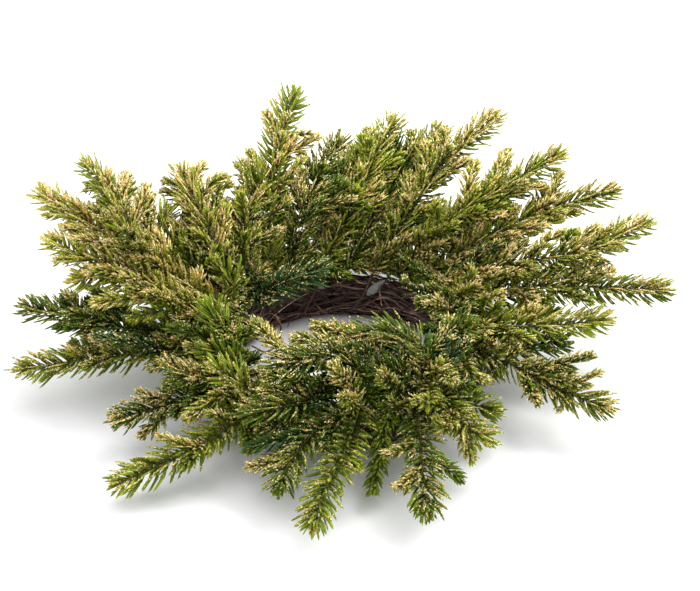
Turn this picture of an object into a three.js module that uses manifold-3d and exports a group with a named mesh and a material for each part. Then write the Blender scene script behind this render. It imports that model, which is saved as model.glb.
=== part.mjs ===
// Pine wreath: a flat ring of dark twisted vine with 26 gold-dusted pine sprays pushed into it, lying on its back.
// Millimetres, +Z up. The wreath rests on the flat underside of the vine ring at z = 0, and the origin is under the middle of its bounding box.
import * as THREE from "three";
import { mergeVertices } from "three/addons/utils/BufferGeometryUtils.js";
import Module from "manifold-3d";

// Driving dimensions
const RING_RADIUS = 113.6; // centre line of the vine ring
const RING_HEIGHT = 18; // height of that centre line above the rest plane
const BUNDLE_COUNT = 4; // vine bundles laid up like a rope
const BUNDLE_OFFSET = 11.7; // centre of a bundle from the centre line of the ring
const BUNDLE_RADIUS = 8.05;
const BUNDLE_TWISTS = 3; // turns of the lay in one lap, a whole number so that each bundle closes on itself
const BUNDLE_SIDES = 8;
const BUNDLE_STEPS = 36;
const STEM_RADIUS = 1.9; // wrapped wire stem of a spray
const STEM_SIDES = 5;
const STEM_STEPS = 5;
const STEM_ALONG_LEADER = 10; // how far a stem runs up its leader before the needles close over it
const GAP = 0.35; // clearance between touching pieces
const TENDRIL_RADIUS = 1.2; // loose vine end
const SHIFT = new THREE.Vector3(-3.55, -9.05, 0); // from the centre of the ring to the middle of the bounding box

// Needle lobes: half width and half thickness of the dense part of a branch, and the distance between two rows of its saw-toothed edge
const LOBES = {
  m: { halfWidth: 13, halfThickness: 6, pitch: 21, leastRows: 3 }, // leader or long branch, with long needles
  s: { halfWidth: 9, halfThickness: 4.5, pitch: 16, leastRows: 2 }, // side branchlet with short needles
  t: { halfWidth: 8.5, halfThickness: 4, pitch: 99, leastRows: 2 }, // short branchlet between the others
  w: { halfWidth: 9.5, halfThickness: 7, pitch: 14, leastRows: 3 }, // branchlet tip that stands up from the ring
};

// Sprays, from the front left clockwise round the ring.
// root: angle on the ring, in degrees, where the stem goes in.
// Each branch is its kind and then x, y, z of the points of its axis. The first branch of a spray is its leader.
const SPRAYS = {
  spray_01: {
    root: 232,
    branches: [
      ["m", -72.9, -112.1, 38.0, -109.0, -151.7, 34.0, -148.9, -181.3, 28.0, -195.6, -201.7, 17.0],
      ["s", -118.3, -158.6, 32.6, -127.6, -176.3, 40.0, -156.8, -167.3, 46.0],
      ["s", -102.2, -144.2, 34.8, -109.7, -148.1, 22.0, -119.5, -148.9, 12.0],
      ["s", -95.9, -137.4, 35.5, -102.2, -143.4, 48.0, -116.8, -150.5, 58.0],
      ["s", -85.5, -125.9, 36.6, -94.6, -120.1, 56.0, -134.3, -147.8, 50.0],
      ["t", -80.9, -120.9, 37.1, -77.8, -148.0, 35.1, -79.4, -175.1, 32.9],
      ["t", -122.3, -161.5, 32.0, -127.0, -179.1, 32.0, -134.2, -195.8, 31.6],
      ["t", -80.5, -121.9, 48.8, -70.9, -126.0, 59.4, -62.6, -129.2, 71.3],
      ["t", -76.6, -116.2, 37.6, -69.6, -133.7, 31.8, -66.7, -152.5, 26.9],
    ],
  },
  spray_02: {
    root: 210,
    branches: [
      ["m", -90.3, -71.9, 46.0, -124.7, -91.4, 42.0, -163.0, -110.7, 36.0, -203.2, -121.9, 30.0],
      ["s", -144.9, -101.6, 38.8, -165.2, -109.9, 46.0, -179.6, -109.4, 54.0],
      ["s", -147.1, -102.7, 38.5, -162.5, -122.3, 26.0, -175.8, -133.4, 20.0],
      ["m", -102.4, -78.8, 44.6, -111.6, -96.6, 56.0, -135.7, -97.8, 62.0, -159.4, -83.1, 66.0],
      ["m", -102.4, -78.8, 44.6, -92.8, -83.4, 62.0, -110.2, -79.3, 74.0, -127.5, -79.0, 80.0],
      ["t", -111.6, -84.0, 43.5, -121.9, -108.3, 46.6, -135.4, -131.1, 48.4],
      ["t", -123.6, -90.8, 42.1, -142.1, -85.9, 39.7, -161.2, -84.1, 37.2],
      ["t", -135.4, -96.8, 40.3, -139.0, -113.7, 40.0, -145.6, -129.6, 39.1],
      ["t", -107.2, -88.0, 50.5, -100.8, -100.6, 59.9, -97.0, -114.0, 69.6],
      ["t", -116.2, -96.9, 57.2, -125.0, -86.4, 59.5, -135.6, -77.7, 62.3],
      ["t", -96.8, -81.5, 54.8, -89.4, -74.0, 62.1, -81.9, -68.4, 70.7],
      ["t", -95.7, -74.9, 45.4, -96.4, -96.2, 42.0, -101.8, -116.9, 39.2],
    ],
  },
  spray_03: {
    root: 192,
    branches: [
      ["m", -115.7, -34.0, 46.0, -172.7, -41.9, 50.0, -244.3, -49.2, 44.0, -295.2, -50.1, 36.0],
      ["s", -223.4, -47.1, 45.7, -225.6, -48.0, 56.0, -245.6, -42.4, 62.0],
      ["s", -155.1, -39.5, 48.8, -186.9, -66.3, 74.0, -220.5, -62.5, 80.0],
      ["s", -129.5, -35.9, 47.0, -120.1, -68.9, 84.0, -153.0, -78.0, 98.0],
      ["s", -130.0, -36.0, 47.0, -111.7, -69.7, 72.0, -138.0, -79.0, 80.0],
      ["m", -129.5, -35.9, 47.0, -97.6, -57.0, 66.0, -110.3, -42.3, 82.0, -124.4, -24.2, 94.0],
      ["t", -142.0, -37.7, 47.8, -155.8, -54.7, 47.6, -172.0, -69.4, 47.7],
      ["t", -155.4, -39.5, 48.8, -174.2, -27.9, 48.1, -194.5, -19.0, 47.8],
      ["t", -199.1, -44.6, 47.8, -213.4, -59.3, 50.9, -229.7, -71.8, 53.0],
      ["t", -212.1, -45.9, 46.7, -229.3, -31.6, 46.3, -248.7, -20.3, 45.6],
      ["t", -120.5, -41.8, 52.3, -100.4, -34.9, 57.1, -79.7, -31.5, 63.4],
      ["t", -108.5, -49.8, 59.5, -105.8, -64.0, 62.8, -101.0, -77.5, 67.0],
      ["t", -99.0, -56.0, 65.1, -85.5, -51.0, 71.5, -71.8, -48.3, 79.0],
      ["t", -119.4, -34.5, 46.3, -122.5, -55.1, 39.5, -131.0, -74.4, 33.6],
    ],
  },
  spray_04: {
    root: 182,
    branches: [
      ["m", -118.3, -18.3, 50.0, -173.1, -30.6, 62.0, -237.7, -14.5, 68.0, -297.6, 10.0, 68.0],
      ["s", -230.8, -16.2, 67.4, -241.2, -8.0, 80.0, -255.5, 1.6, 88.0],
      ["s", -194.3, -25.3, 64.0, -225.0, -25.8, 76.0, -252.0, -23.7, 80.0],
      ["s", -154.4, -26.4, 57.9, -158.6, -28.5, 84.0, -189.9, -51.7, 92.0],
      ["s", -143.5, -24.0, 55.5, -159.6, -14.3, 88.0, -193.8, -27.4, 98.0, -223.6, -39.3, 100.0],
      ["m", -131.7, -21.3, 52.9, -108.4, -19.3, 72.0, -128.0, -14.3, 88.0],
      ["s", -139.9, -23.1, 54.7, -130.0, -46.3, 74.0, -147.3, -49.0, 82.0],
      ["t", -170.2, -29.9, 61.4, -190.5, -14.6, 67.9, -213.3, -3.2, 74.6],
      ["t", -213.1, -20.6, 65.7, -231.0, -30.3, 68.3, -250.1, -37.1, 70.9],
      ["t", -122.4, -20.5, 60.5, -114.3, -28.2, 66.8, -105.5, -34.2, 73.7],
      ["t", -122.6, -19.3, 50.9, -131.0, -36.1, 46.2, -143.2, -50.6, 42.1],
    ],
  },
  spray_05: {
    root: 171,
    branches: [
      ["m", -113.9, 2.9, 54.0, -173.9, -3.4, 92.0, -219.2, 2.9, 102.0, -249.1, -4.3, 102.0],
      ["m", -141.5, 0.0, 71.5, -182.7, 1.3, 104.0, -232.9, 13.2, 118.0, -274.1, 34.2, 126.0],
      ["s", -222.4, 10.7, 115.1, -244.6, 11.3, 116.0, -262.6, 9.3, 114.0],
      ["s", -205.1, 6.6, 110.3, -229.6, 28.6, 126.0, -248.6, 38.4, 132.0],
      ["s", -177.5, 1.1, 99.9, -202.1, 24.6, 122.0, -215.0, 32.8, 132.0],
      ["t", -124.0, 1.9, 60.4, -137.3, -14.4, 67.1, -152.5, -28.1, 75.2],
      ["t", -147.7, -0.6, 75.4, -158.9, -19.7, 91.8, -173.4, -35.9, 108.6],
      ["t", -169.1, -2.9, 89.0, -180.0, -16.7, 99.4, -192.7, -28.4, 110.3],
      ["t", -150.9, 0.3, 78.9, -162.9, -16.3, 90.1, -177.1, -30.0, 102.7],
      ["t", -161.2, 0.6, 87.0, -175.7, 21.7, 97.8, -192.8, 39.3, 110.7],
      ["t", -173.5, 1.0, 96.7, -185.2, -15.2, 108.3, -199.0, -28.5, 121.2],
      ["t", -198.7, 5.1, 108.5, -214.0, -7.5, 112.0, -231.2, -16.9, 116.2],
      ["t", -118.4, 2.4, 56.8, -131.8, -12.4, 54.1, -148.1, -24.2, 51.8],
    ],
  },
  spray_06: {
    root: 161,
    branches: [
      ["m", -111.5, 23.8, 52.0, -162.4, 26.0, 98.0, -212.1, 36.0, 126.0, -253.1, 63.7, 138.0, -287.0, 91.8, 144.0],
      ["s", -231.7, 49.3, 131.7, -255.3, 63.2, 132.0, -275.4, 66.8, 130.0],
      ["m", -160.9, 25.9, 96.6, -187.4, 17.6, 128.0, -201.6, 35.8, 148.0, -221.4, 81.2, 158.0, -243.7, 110.3, 166.0],
      ["s", -199.3, 32.8, 144.7, -201.2, 57.8, 162.0, -198.4, 80.0, 168.0],
      ["s", -203.4, 39.9, 148.9, -218.6, 76.6, 150.0, -235.2, 92.5, 150.0],
      ["s", -172.0, 27.9, 103.4, -181.6, 48.6, 120.0, -177.3, 68.4, 146.0, -175.6, 72.6, 150.0],
      ["m", -121.9, 24.2, 61.4, -97.9, 22.7, 70.0, -111.0, 35.8, 88.0, -120.4, 44.4, 98.0],
      ["s", -134.5, 24.8, 72.8, -154.1, 43.2, 88.0, -177.5, 40.4, 96.0],
      ["t", -129.4, 24.5, 68.2, -141.9, 7.5, 78.4, -156.3, -6.6, 90.5],
      ["t", -152.1, 25.5, 88.7, -162.7, 9.9, 106.5, -175.8, -2.7, 125.0],
      ["t", -178.0, 29.1, 106.8, -194.8, 13.9, 122.6, -214.1, 2.5, 138.7],
      ["t", -191.7, 31.9, 114.5, -199.8, 52.0, 127.2, -211.6, 69.6, 140.5],
      ["t", -202.4, 34.1, 120.5, -220.9, 18.0, 128.9, -241.5, 5.6, 138.8],
      ["t", -216.6, 39.1, 127.3, -218.4, 57.4, 136.1, -223.7, 75.1, 144.5],
      ["t", -168.4, 23.5, 105.6, -175.9, 5.8, 116.1, -185.2, -9.7, 128.4],
      ["t", -176.9, 20.9, 115.6, -192.0, 36.6, 130.9, -208.3, 48.5, 148.2],
      ["t", -193.5, 25.4, 136.6, -183.7, 42.7, 151.2, -178.2, 60.5, 167.3],
      ["t", -206.8, 47.8, 150.7, -199.2, 66.0, 152.8, -194.7, 85.1, 155.4],
      ["t", -110.6, 23.5, 65.4, -101.5, 14.3, 70.5, -91.1, 6.7, 75.6],
      ["t", -114.6, 23.9, 54.8, -129.9, 11.0, 50.0, -147.9, 1.8, 46.0],
    ],
  },
  spray_07: {
    root: 151,
    branches: [
      ["m", -108.6, 38.1, 52.0, -132.5, 47.4, 78.0, -135.3, 59.3, 98.0, -132.3, 78.0, 110.0],
      ["m", -130.1, 46.5, 75.5, -154.5, 55.8, 100.0, -170.1, 72.8, 114.0, -164.7, 103.1, 122.0],
      ["s", -132.5, 47.7, 78.5, -119.3, 40.4, 96.0, -118.9, 56.6, 106.0],
      ["s", -149.4, 53.9, 94.9, -168.5, 44.4, 98.0, -187.4, 52.6, 104.0],
      ["s", -161.1, 63.1, 106.0, -147.2, 80.7, 116.0, -147.0, 93.0, 120.0],
      ["t", -138.3, 49.6, 83.7, -149.8, 39.4, 98.7, -162.6, 32.2, 114.4],
      ["t", -148.4, 53.5, 93.9, -150.0, 66.0, 105.5, -153.9, 77.2, 117.8],
      ["t", -157.4, 59.0, 102.6, -169.4, 58.6, 106.8, -181.1, 60.2, 111.8],
      ["t", -113.0, 39.8, 56.8, -126.4, 29.7, 54.2, -141.9, 23.0, 52.0],
    ],
  },
  spray_08: {
    root: 141,
    branches: [
      ["m", -100.1, 56.6, 54.0, -120.0, 68.8, 98.0, -137.5, 95.7, 126.0, -157.8, 148.9, 142.0],
      ["s", -142.2, 108.0, 129.7, -159.6, 119.1, 136.0, -172.9, 121.4, 138.0],
      ["s", -141.2, 105.3, 128.9, -139.7, 124.0, 142.0, -131.3, 143.5, 148.0],
      ["s", -125.7, 77.6, 107.1, -120.4, 89.1, 120.0, -117.7, 114.5, 132.0, -102.6, 119.4, 138.0],
      ["s", -133.8, 90.0, 120.0, -129.1, 103.2, 138.0, -108.6, 128.1, 142.0],
      ["s", -136.9, 94.8, 125.0, -158.3, 110.0, 128.0, -174.3, 120.0, 128.0],
      ["m", -107.3, 61.1, 70.1, -125.6, 143.2, 66.0, -152.5, 218.7, 62.0],
      ["t", -110.4, 63.0, 76.9, -129.7, 53.1, 94.3, -148.1, 46.5, 114.0],
      ["t", -117.0, 67.0, 91.5, -112.1, 81.0, 109.5, -110.2, 93.7, 128.9],
      ["t", -122.7, 72.9, 102.3, -144.0, 73.1, 110.0, -164.0, 76.6, 120.0],
      ["t", -109.9, 72.8, 69.5, -93.6, 94.9, 66.0, -81.4, 119.6, 62.8],
      ["t", -112.7, 85.0, 68.9, -134.1, 95.3, 70.9, -153.2, 109.4, 72.3],
      ["t", -115.6, 98.0, 68.2, -104.8, 120.1, 69.6, -97.2, 143.5, 70.4],
      ["t", -119.0, 113.4, 67.5, -137.5, 125.9, 69.1, -153.9, 141.1, 70.3],
      ["t", -122.1, 127.6, 66.8, -109.3, 148.2, 67.2, -100.0, 170.6, 67.3],
      ["t", -101.4, 57.4, 56.9, -120.4, 50.4, 55.6, -140.5, 47.7, 54.5],
    ],
  },
  spray_09: {
    root: 130,
    branches: [
      ["m", -85.2, 64.7, 58.0, -93.5, 76.9, 88.0, -91.2, 104.0, 114.0, -81.5, 130.2, 128.0, -98.1, 163.1, 138.0],
      ["m", -88.7, 69.8, 70.6, -74.4, 35.3, 70.0, -42.8, 40.3, 80.0, -10.3, 50.3, 86.0],
      ["s", -88.7, 69.8, 70.6, -78.0, 29.1, 64.0, -64.3, 11.7, 68.0],
      ["s", -93.4, 78.1, 89.2, -75.2, 74.8, 100.0, -54.5, 80.0, 110.0],
      ["s", -91.9, 95.3, 105.7, -83.1, 91.9, 112.0, -73.6, 92.7, 118.0],
      ["s", -88.7, 69.8, 70.6, -103.3, 57.6, 72.0, -113.5, 61.2, 84.0],
      ["s", -91.2, 103.4, 113.4, -99.0, 113.1, 122.0, -99.6, 130.2, 128.0],
      ["s", -88.7, 69.8, 70.6, -95.2, 0.4, 62.0, -87.6, -27.6, 58.0],
      ["m", -88.7, 69.8, 70.6, -102.4, 145.9, 60.0, -124.5, 250.0, 44.0],
      ["s", -88.7, 69.8, 70.6, -94.3, 22.2, 66.0, -102.1, -32.4, 78.0, -104.8, -75.5, 84.0],
      ["t", -92.1, 93.3, 103.7, -104.7, 102.8, 113.4, -114.8, 113.8, 124.3],
      ["t", -84.1, 58.7, 70.4, -63.3, 48.4, 70.9, -44.3, 35.1, 71.3],
      ["t", -78.1, 44.3, 70.1, -85.6, 25.6, 69.1, -90.0, 5.9, 68.2],
      ["t", -90.8, 81.5, 69.0, -110.4, 94.0, 69.1, -127.6, 109.7, 68.4],
      ["t", -93.8, 98.0, 66.7, -80.8, 116.2, 62.7, -71.0, 136.3, 58.7],
      ["t", -96.1, 110.6, 64.9, -116.6, 128.4, 69.7, -134.5, 149.2, 72.7],
      ["t", -98.7, 125.4, 62.9, -81.5, 147.0, 58.7, -68.4, 171.3, 54.4],
      ["t", -101.2, 138.9, 61.0, -123.6, 151.2, 64.2, -143.5, 167.6, 66.2],
      ["t", -107.2, 168.4, 56.5, -121.5, 179.1, 58.4, -134.1, 191.8, 59.3],
      ["t", -86.8, 67.0, 63.7, -103.8, 63.5, 63.7, -121.2, 64.0, 63.6],
    ],
  },
  spray_10: {
    root: 119,
    branches: [
      ["m", -67.6, 97.4, 52.0, -72.9, 113.4, 98.0, -65.1, 158.5, 136.0, -57.6, 212.1, 156.0, -45.7, 260.5, 168.0],
      ["s", -61.6, 183.0, 145.1, -42.2, 185.1, 154.0, -27.7, 187.6, 156.0],
      ["s", -67.9, 142.2, 122.3, -53.9, 134.6, 130.0, -35.1, 163.7, 142.0],
      ["s", -72.2, 117.5, 101.4, -59.5, 119.0, 108.0, -48.0, 125.0, 120.0],
      ["m", -70.4, 105.9, 76.5, -82.6, 143.2, 66.0, -112.6, 221.1, 48.0],
      ["t", -68.9, 101.3, 63.3, -59.1, 115.7, 78.5, -51.7, 129.1, 95.8],
      ["t", -70.7, 106.7, 78.8, -87.2, 101.2, 98.6, -101.5, 98.6, 120.6],
      ["t", -69.8, 131.2, 113.0, -86.8, 148.8, 122.7, -100.1, 168.1, 134.7],
      ["t", -64.2, 164.9, 138.4, -41.4, 178.0, 143.2, -21.5, 194.7, 149.3],
      ["t", -74.0, 117.0, 73.4, -95.6, 127.9, 70.9, -115.1, 142.1, 67.5],
      ["t", -78.5, 130.8, 69.5, -69.6, 150.9, 66.0, -63.9, 171.9, 61.8],
      ["t", -82.6, 143.4, 66.0, -100.6, 154.7, 67.3, -116.8, 168.5, 67.3],
      ["t", -87.3, 155.4, 63.2, -81.2, 174.7, 60.1, -77.9, 194.5, 56.7],
    ],
  },
  spray_11: {
    root: 108,
    branches: [
      ["m", -54.5, 105.7, 46.0, -40.7, 127.4, 98.0, -20.0, 179.4, 122.0, 0.4, 229.6, 132.0],
      ["m", -39.7, 129.9, 99.2, -8.1, 146.7, 104.0, 7.4, 174.8, 120.0, 10.4, 214.9, 126.0],
      ["s", -50.3, 112.2, 61.6, -38.7, 114.3, 80.0, -6.2, 140.8, 94.0],
      ["s", -51.1, 111.0, 58.6, -31.4, 122.6, 62.0, 2.5, 147.2, 66.0],
      ["s", -33.8, 144.8, 106.0, -41.2, 156.8, 114.0, -39.5, 174.8, 120.0],
      ["t", -51.6, 110.2, 56.8, -63.8, 120.9, 73.7, -72.6, 131.8, 92.6],
      ["t", -44.4, 121.7, 84.3, -55.6, 132.8, 103.4, -63.5, 144.0, 124.1],
      ["t", -31.1, 151.6, 109.2, -11.4, 158.7, 113.2, 6.7, 168.7, 118.5],
      ["t", -26.0, 164.4, 115.1, -35.4, 180.6, 123.0, -41.6, 198.1, 131.4],
      ["t", -29.2, 135.5, 100.8, -23.4, 156.0, 107.8, -14.0, 175.3, 114.2],
      ["t", -15.6, 142.8, 102.9, 5.5, 134.1, 104.5, 27.8, 129.3, 106.5],
      ["t", -53.5, 107.3, 49.8, -70.7, 110.3, 46.8, -86.8, 117.2, 44.2],
    ],
  },
  spray_12: {
    root: 96,
    branches: [
      ["m", -23.6, 111.5, 46.0, 7.4, 144.9, 94.0, 29.0, 184.8, 128.0, 54.5, 246.4, 146.0],
      ["s", 30.4, 188.2, 129.0, 27.2, 212.2, 134.0, 25.4, 233.2, 138.0],
      ["s", -7.4, 128.9, 71.1, 19.1, 136.9, 74.0, 41.6, 156.3, 90.0],
      ["m", 3.4, 140.5, 87.8, 23.3, 181.0, 80.0, 30.0, 250.6, 60.0, 39.0, 297.3, 40.0],
      ["m", -17.1, 118.6, 56.2, -10.3, 153.9, 60.0, -5.0, 255.2, 40.0],
      ["t", -4.6, 131.9, 75.4, -8.6, 150.6, 86.6, -9.4, 168.5, 99.6],
      ["t", 3.3, 140.5, 87.7, 23.5, 137.9, 99.1, 42.7, 138.5, 112.5],
      ["t", 8.9, 147.7, 96.4, -0.3, 168.2, 103.2, -5.8, 189.1, 112.1],
      ["t", 14.5, 158.1, 105.2, 34.9, 161.9, 112.7, 53.7, 168.8, 122.0],
      ["t", 19.6, 167.6, 113.3, 12.8, 184.6, 124.8, 9.1, 202.1, 137.2],
      ["t", 25.0, 177.5, 121.8, 44.0, 180.1, 128.3, 61.7, 185.5, 136.6],
      ["t", 8.6, 151.1, 85.7, 34.3, 158.9, 88.8, 58.4, 170.9, 90.2],
      ["t", 13.8, 161.8, 83.7, 8.8, 183.0, 86.0, 6.9, 204.7, 87.0],
      ["t", 24.0, 188.9, 77.8, 6.2, 207.3, 75.9, -8.0, 228.5, 72.6],
      ["t", 25.3, 201.7, 74.1, 42.0, 215.1, 74.2, 56.3, 231.1, 73.0],
      ["t", 26.6, 215.8, 70.0, 11.7, 233.5, 67.6, 0.0, 253.3, 64.1],
      ["t", 28.0, 230.1, 65.9, 41.1, 243.1, 61.9, 52.1, 257.7, 57.5],
      ["t", -14.8, 130.3, 57.4, 3.3, 139.5, 64.9, 19.5, 152.3, 71.7],
      ["t", -12.4, 143.0, 58.8, -25.0, 166.5, 66.1, -34.1, 191.8, 72.7],
      ["t", -10.0, 159.2, 59.0, 7.8, 171.2, 54.7, 22.9, 186.4, 50.2],
      ["t", -9.4, 172.3, 56.4, -25.0, 188.6, 57.3, -37.7, 207.3, 57.1],
    ],
  },
  spray_13: {
    root: 84,
    branches: [
      ["m", 3.5, 113.4, 46.0, 34.7, 155.1, 94.0, 68.6, 199.6, 126.0, 103.5, 240.0, 138.0],
      ["m", 47.4, 171.8, 106.0, 50.8, 202.6, 130.0, 44.1, 217.1, 136.0],
      ["s", 59.4, 187.5, 117.3, 70.8, 212.2, 134.0, 68.2, 228.7, 138.0],
      ["s", 20.3, 135.8, 71.8, 48.0, 126.9, 84.0, 65.7, 147.7, 98.0],
      ["s", 37.5, 158.7, 96.6, 58.3, 172.8, 110.0, 66.4, 186.8, 116.0],
      ["s", 9.7, 121.7, 55.5, -8.0, 97.8, 54.0, -25.2, 89.8, 52.0],
      ["t", 21.6, 137.6, 73.9, 11.7, 153.9, 86.9, 5.7, 170.7, 101.5],
      ["t", 28.6, 147.0, 84.7, 49.4, 149.9, 94.8, 68.6, 155.5, 106.6],
      ["t", 34.6, 154.9, 93.8, 29.4, 176.4, 104.2, 27.9, 197.7, 116.1],
      ["t", 59.2, 187.3, 117.2, 77.8, 189.0, 124.4, 95.5, 193.6, 132.6],
      ["t", 48.5, 181.2, 113.4, 57.6, 187.4, 117.7, 65.3, 194.6, 123.0],
      ["t", 5.1, 115.5, 48.4, -11.0, 127.7, 45.3, -24.0, 143.2, 42.8],
    ],
  },
  spray_14: {
    root: 71,
    branches: [
      ["m", 31.7, 113.4, 46.0, 65.3, 133.4, 98.0, 104.5, 171.9, 140.0, 156.3, 219.9, 162.0],
      ["s", 93.3, 161.0, 128.0, 113.4, 152.2, 136.0, 125.0, 157.7, 144.0],
      ["s", 78.0, 145.9, 111.6, 84.7, 149.2, 118.0, 101.0, 148.2, 124.0],
      ["s", 64.0, 132.6, 95.9, 85.8, 119.0, 108.0, 98.5, 128.1, 114.0],
      ["s", 47.8, 123.0, 71.0, 73.2, 124.6, 72.0, 95.3, 147.3, 76.0],
      ["t", 37.9, 117.1, 55.6, 41.7, 140.2, 70.3, 48.1, 160.9, 87.4],
      ["t", 66.7, 134.8, 99.5, 65.0, 153.0, 111.3, 66.5, 170.5, 124.1],
      ["t", 84.5, 152.3, 118.5, 81.6, 170.1, 133.4, 82.2, 187.7, 148.8],
      ["t", 100.8, 168.3, 136.0, 99.7, 186.0, 143.9, 101.3, 203.0, 153.1],
      ["t", 60.9, 135.1, 77.1, 84.7, 134.2, 76.2, 108.3, 137.6, 74.4],
      ["t", 69.3, 144.8, 74.8, 67.7, 167.5, 73.6, 69.7, 190.2, 71.6],
      ["t", 78.3, 155.1, 72.2, 97.5, 157.6, 69.9, 116.1, 163.0, 67.1],
      ["t", 86.5, 165.7, 69.6, 77.6, 184.4, 66.1, 71.7, 204.1, 62.0],
    ],
  },
  spray_15: {
    root: 58,
    branches: [
      ["m", 55.8, 109.6, 46.0, 98.0, 107.5, 98.0, 155.5, 130.2, 128.0, 215.5, 168.6, 146.0],
      ["s", 133.0, 121.3, 116.2, 151.6, 148.3, 138.0, 160.3, 169.0, 148.0],
      ["s", 115.5, 114.4, 107.1, 122.2, 134.9, 132.0, 128.9, 157.4, 142.0],
      ["s", 129.5, 119.9, 114.4, 167.4, 121.8, 126.0, 194.7, 130.2, 128.0],
      ["m", 108.5, 111.6, 103.5, 146.4, 128.1, 114.0, 178.8, 153.4, 118.0],
      ["m", 75.6, 108.6, 70.4, 94.3, 121.0, 74.0, 124.8, 148.5, 72.0, 147.7, 194.9, 60.0],
      ["t", 63.4, 109.2, 55.3, 75.4, 125.0, 69.0, 88.7, 137.7, 84.5],
      ["t", 71.7, 108.8, 65.6, 83.7, 90.8, 79.9, 97.2, 75.9, 96.1],
      ["t", 89.7, 107.9, 87.8, 97.6, 89.5, 101.9, 107.7, 74.0, 118.1],
      ["t", 111.2, 112.7, 104.9, 132.8, 100.6, 110.3, 155.8, 92.5, 117.3],
      ["t", 145.7, 126.4, 122.9, 151.7, 145.2, 135.2, 161.0, 162.5, 147.7],
      ["t", 119.1, 116.3, 106.4, 124.0, 135.9, 109.3, 132.3, 154.3, 113.0],
      ["t", 133.1, 122.3, 110.3, 146.0, 114.2, 117.4, 160.4, 108.9, 124.3],
      ["t", 85.5, 115.1, 72.3, 90.6, 135.4, 77.7, 98.9, 154.6, 83.0],
      ["t", 107.4, 132.8, 73.1, 108.6, 149.5, 73.2, 112.4, 165.7, 73.0],
      ["t", 58.7, 109.4, 49.6, 48.5, 122.9, 46.0, 42.0, 138.6, 42.8],
    ],
  },
  spray_16: {
    root: 42,
    branches: [
      ["m", 78.6, 96.6, 48.0, 140.5, 96.8, 92.0, 208.0, 119.7, 112.0, 266.9, 131.7, 124.0],
      ["s", 190.7, 113.8, 106.9, 204.0, 125.9, 126.0, 210.8, 151.6, 132.0],
      ["s", 167.5, 106.0, 100.0, 193.5, 112.4, 104.0, 219.5, 124.1, 102.0],
      ["s", 148.3, 99.4, 94.3, 157.8, 111.4, 110.0, 165.1, 122.0, 114.0],
      ["s", 130.2, 96.7, 84.7, 150.9, 107.5, 86.0, 188.7, 122.5, 82.0],
      ["s", 90.0, 96.6, 56.1, 82.6, 58.5, 66.0, 67.8, 70.7, 72.0, 55.2, 96.9, 70.0],
      ["s", 104.4, 96.7, 66.4, 117.4, 102.5, 80.0, 123.3, 127.2, 86.0],
      ["t", 99.1, 96.7, 62.6, 111.2, 81.3, 74.6, 125.3, 68.7, 87.6],
      ["t", 124.5, 96.7, 80.7, 135.7, 79.0, 89.9, 149.3, 64.3, 100.8],
      ["t", 152.5, 100.8, 95.6, 173.1, 90.4, 102.5, 195.1, 83.5, 109.7],
      ["t", 179.7, 110.1, 103.6, 195.5, 101.7, 111.0, 212.5, 96.1, 118.3],
      ["t", 84.0, 96.6, 51.8, 80.4, 115.1, 47.2, 81.0, 134.1, 43.2],
    ],
  },
  spray_17: {
    root: 28,
    branches: [
      ["m", 92.8, 71.4, 54.0, 157.0, 57.5, 84.0, 221.5, 55.6, 98.0, 292.8, 95.6, 110.0],
      ["s", 172.8, 57.0, 87.4, 189.1, 62.0, 104.0, 211.4, 74.2, 110.0],
      ["s", 190.1, 56.5, 91.2, 203.7, 60.2, 90.0, 226.2, 67.1, 86.0],
      ["s", 112.5, 67.1, 63.2, 129.0, 62.3, 92.0, 163.1, 72.6, 98.0],
      ["s", 151.7, 58.6, 81.5, 161.9, 52.1, 72.0, 194.6, 69.7, 66.0],
      ["t", 117.4, 66.1, 65.5, 128.0, 48.6, 78.3, 141.7, 33.2, 91.1],
      ["t", 130.7, 63.2, 71.7, 146.3, 75.7, 84.0, 164.0, 84.9, 96.3],
      ["t", 143.2, 60.5, 77.5, 152.5, 40.0, 84.1, 165.2, 21.8, 91.8],
      ["t", 211.6, 55.9, 95.9, 225.3, 72.9, 103.0, 242.0, 86.9, 110.0],
      ["t", 227.3, 58.8, 99.0, 244.1, 52.9, 104.4, 261.9, 50.1, 109.6],
      ["t", 97.8, 70.3, 56.3, 97.0, 88.6, 52.7, 100.5, 106.6, 49.6],
    ],
  },
  spray_18: {
    root: 12,
    branches: [
      ["m", 99.2, 41.4, 50.0, 165.3, 35.6, 72.0, 238.1, 25.5, 78.0, 304.7, 14.9, 80.0],
      ["s", 210.9, 29.3, 75.8, 226.4, 26.9, 90.0, 242.2, 23.9, 96.0],
      ["s", 183.8, 33.0, 73.5, 203.5, 26.5, 72.0, 221.1, 26.3, 70.0],
      ["s", 139.2, 37.9, 63.3, 131.0, -4.3, 82.0, 147.9, -3.5, 90.0],
      ["s", 112.5, 40.2, 54.4, 110.3, 14.5, 76.0, 125.7, 5.5, 92.0],
      ["s", 112.5, 40.2, 54.4, 81.9, 36.6, 66.0, 64.5, 20.1, 78.0, 55.4, 31.9, 86.0],
      ["m", 112.5, 40.2, 54.4, 97.2, 4.7, 68.0, 104.0, -39.4, 76.0, 105.5, -79.0, 80.0],
      ["s", 115.2, 40.0, 55.3, 118.6, 34.8, 80.0, 119.1, 50.8, 90.0],
      ["t", 166.7, 35.4, 72.1, 179.5, 18.2, 73.4, 195.0, 3.4, 75.1],
      ["t", 179.8, 33.6, 73.2, 198.4, 49.5, 81.0, 219.7, 61.9, 88.0],
      ["t", 195.2, 31.4, 74.5, 210.5, 10.3, 76.8, 229.1, -7.9, 79.2],
      ["t", 208.5, 29.6, 75.6, 225.8, 46.5, 80.3, 246.0, 59.8, 84.8],
      ["t", 108.0, 29.8, 58.4, 119.1, 13.5, 68.5, 126.5, -4.8, 78.8],
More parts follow.
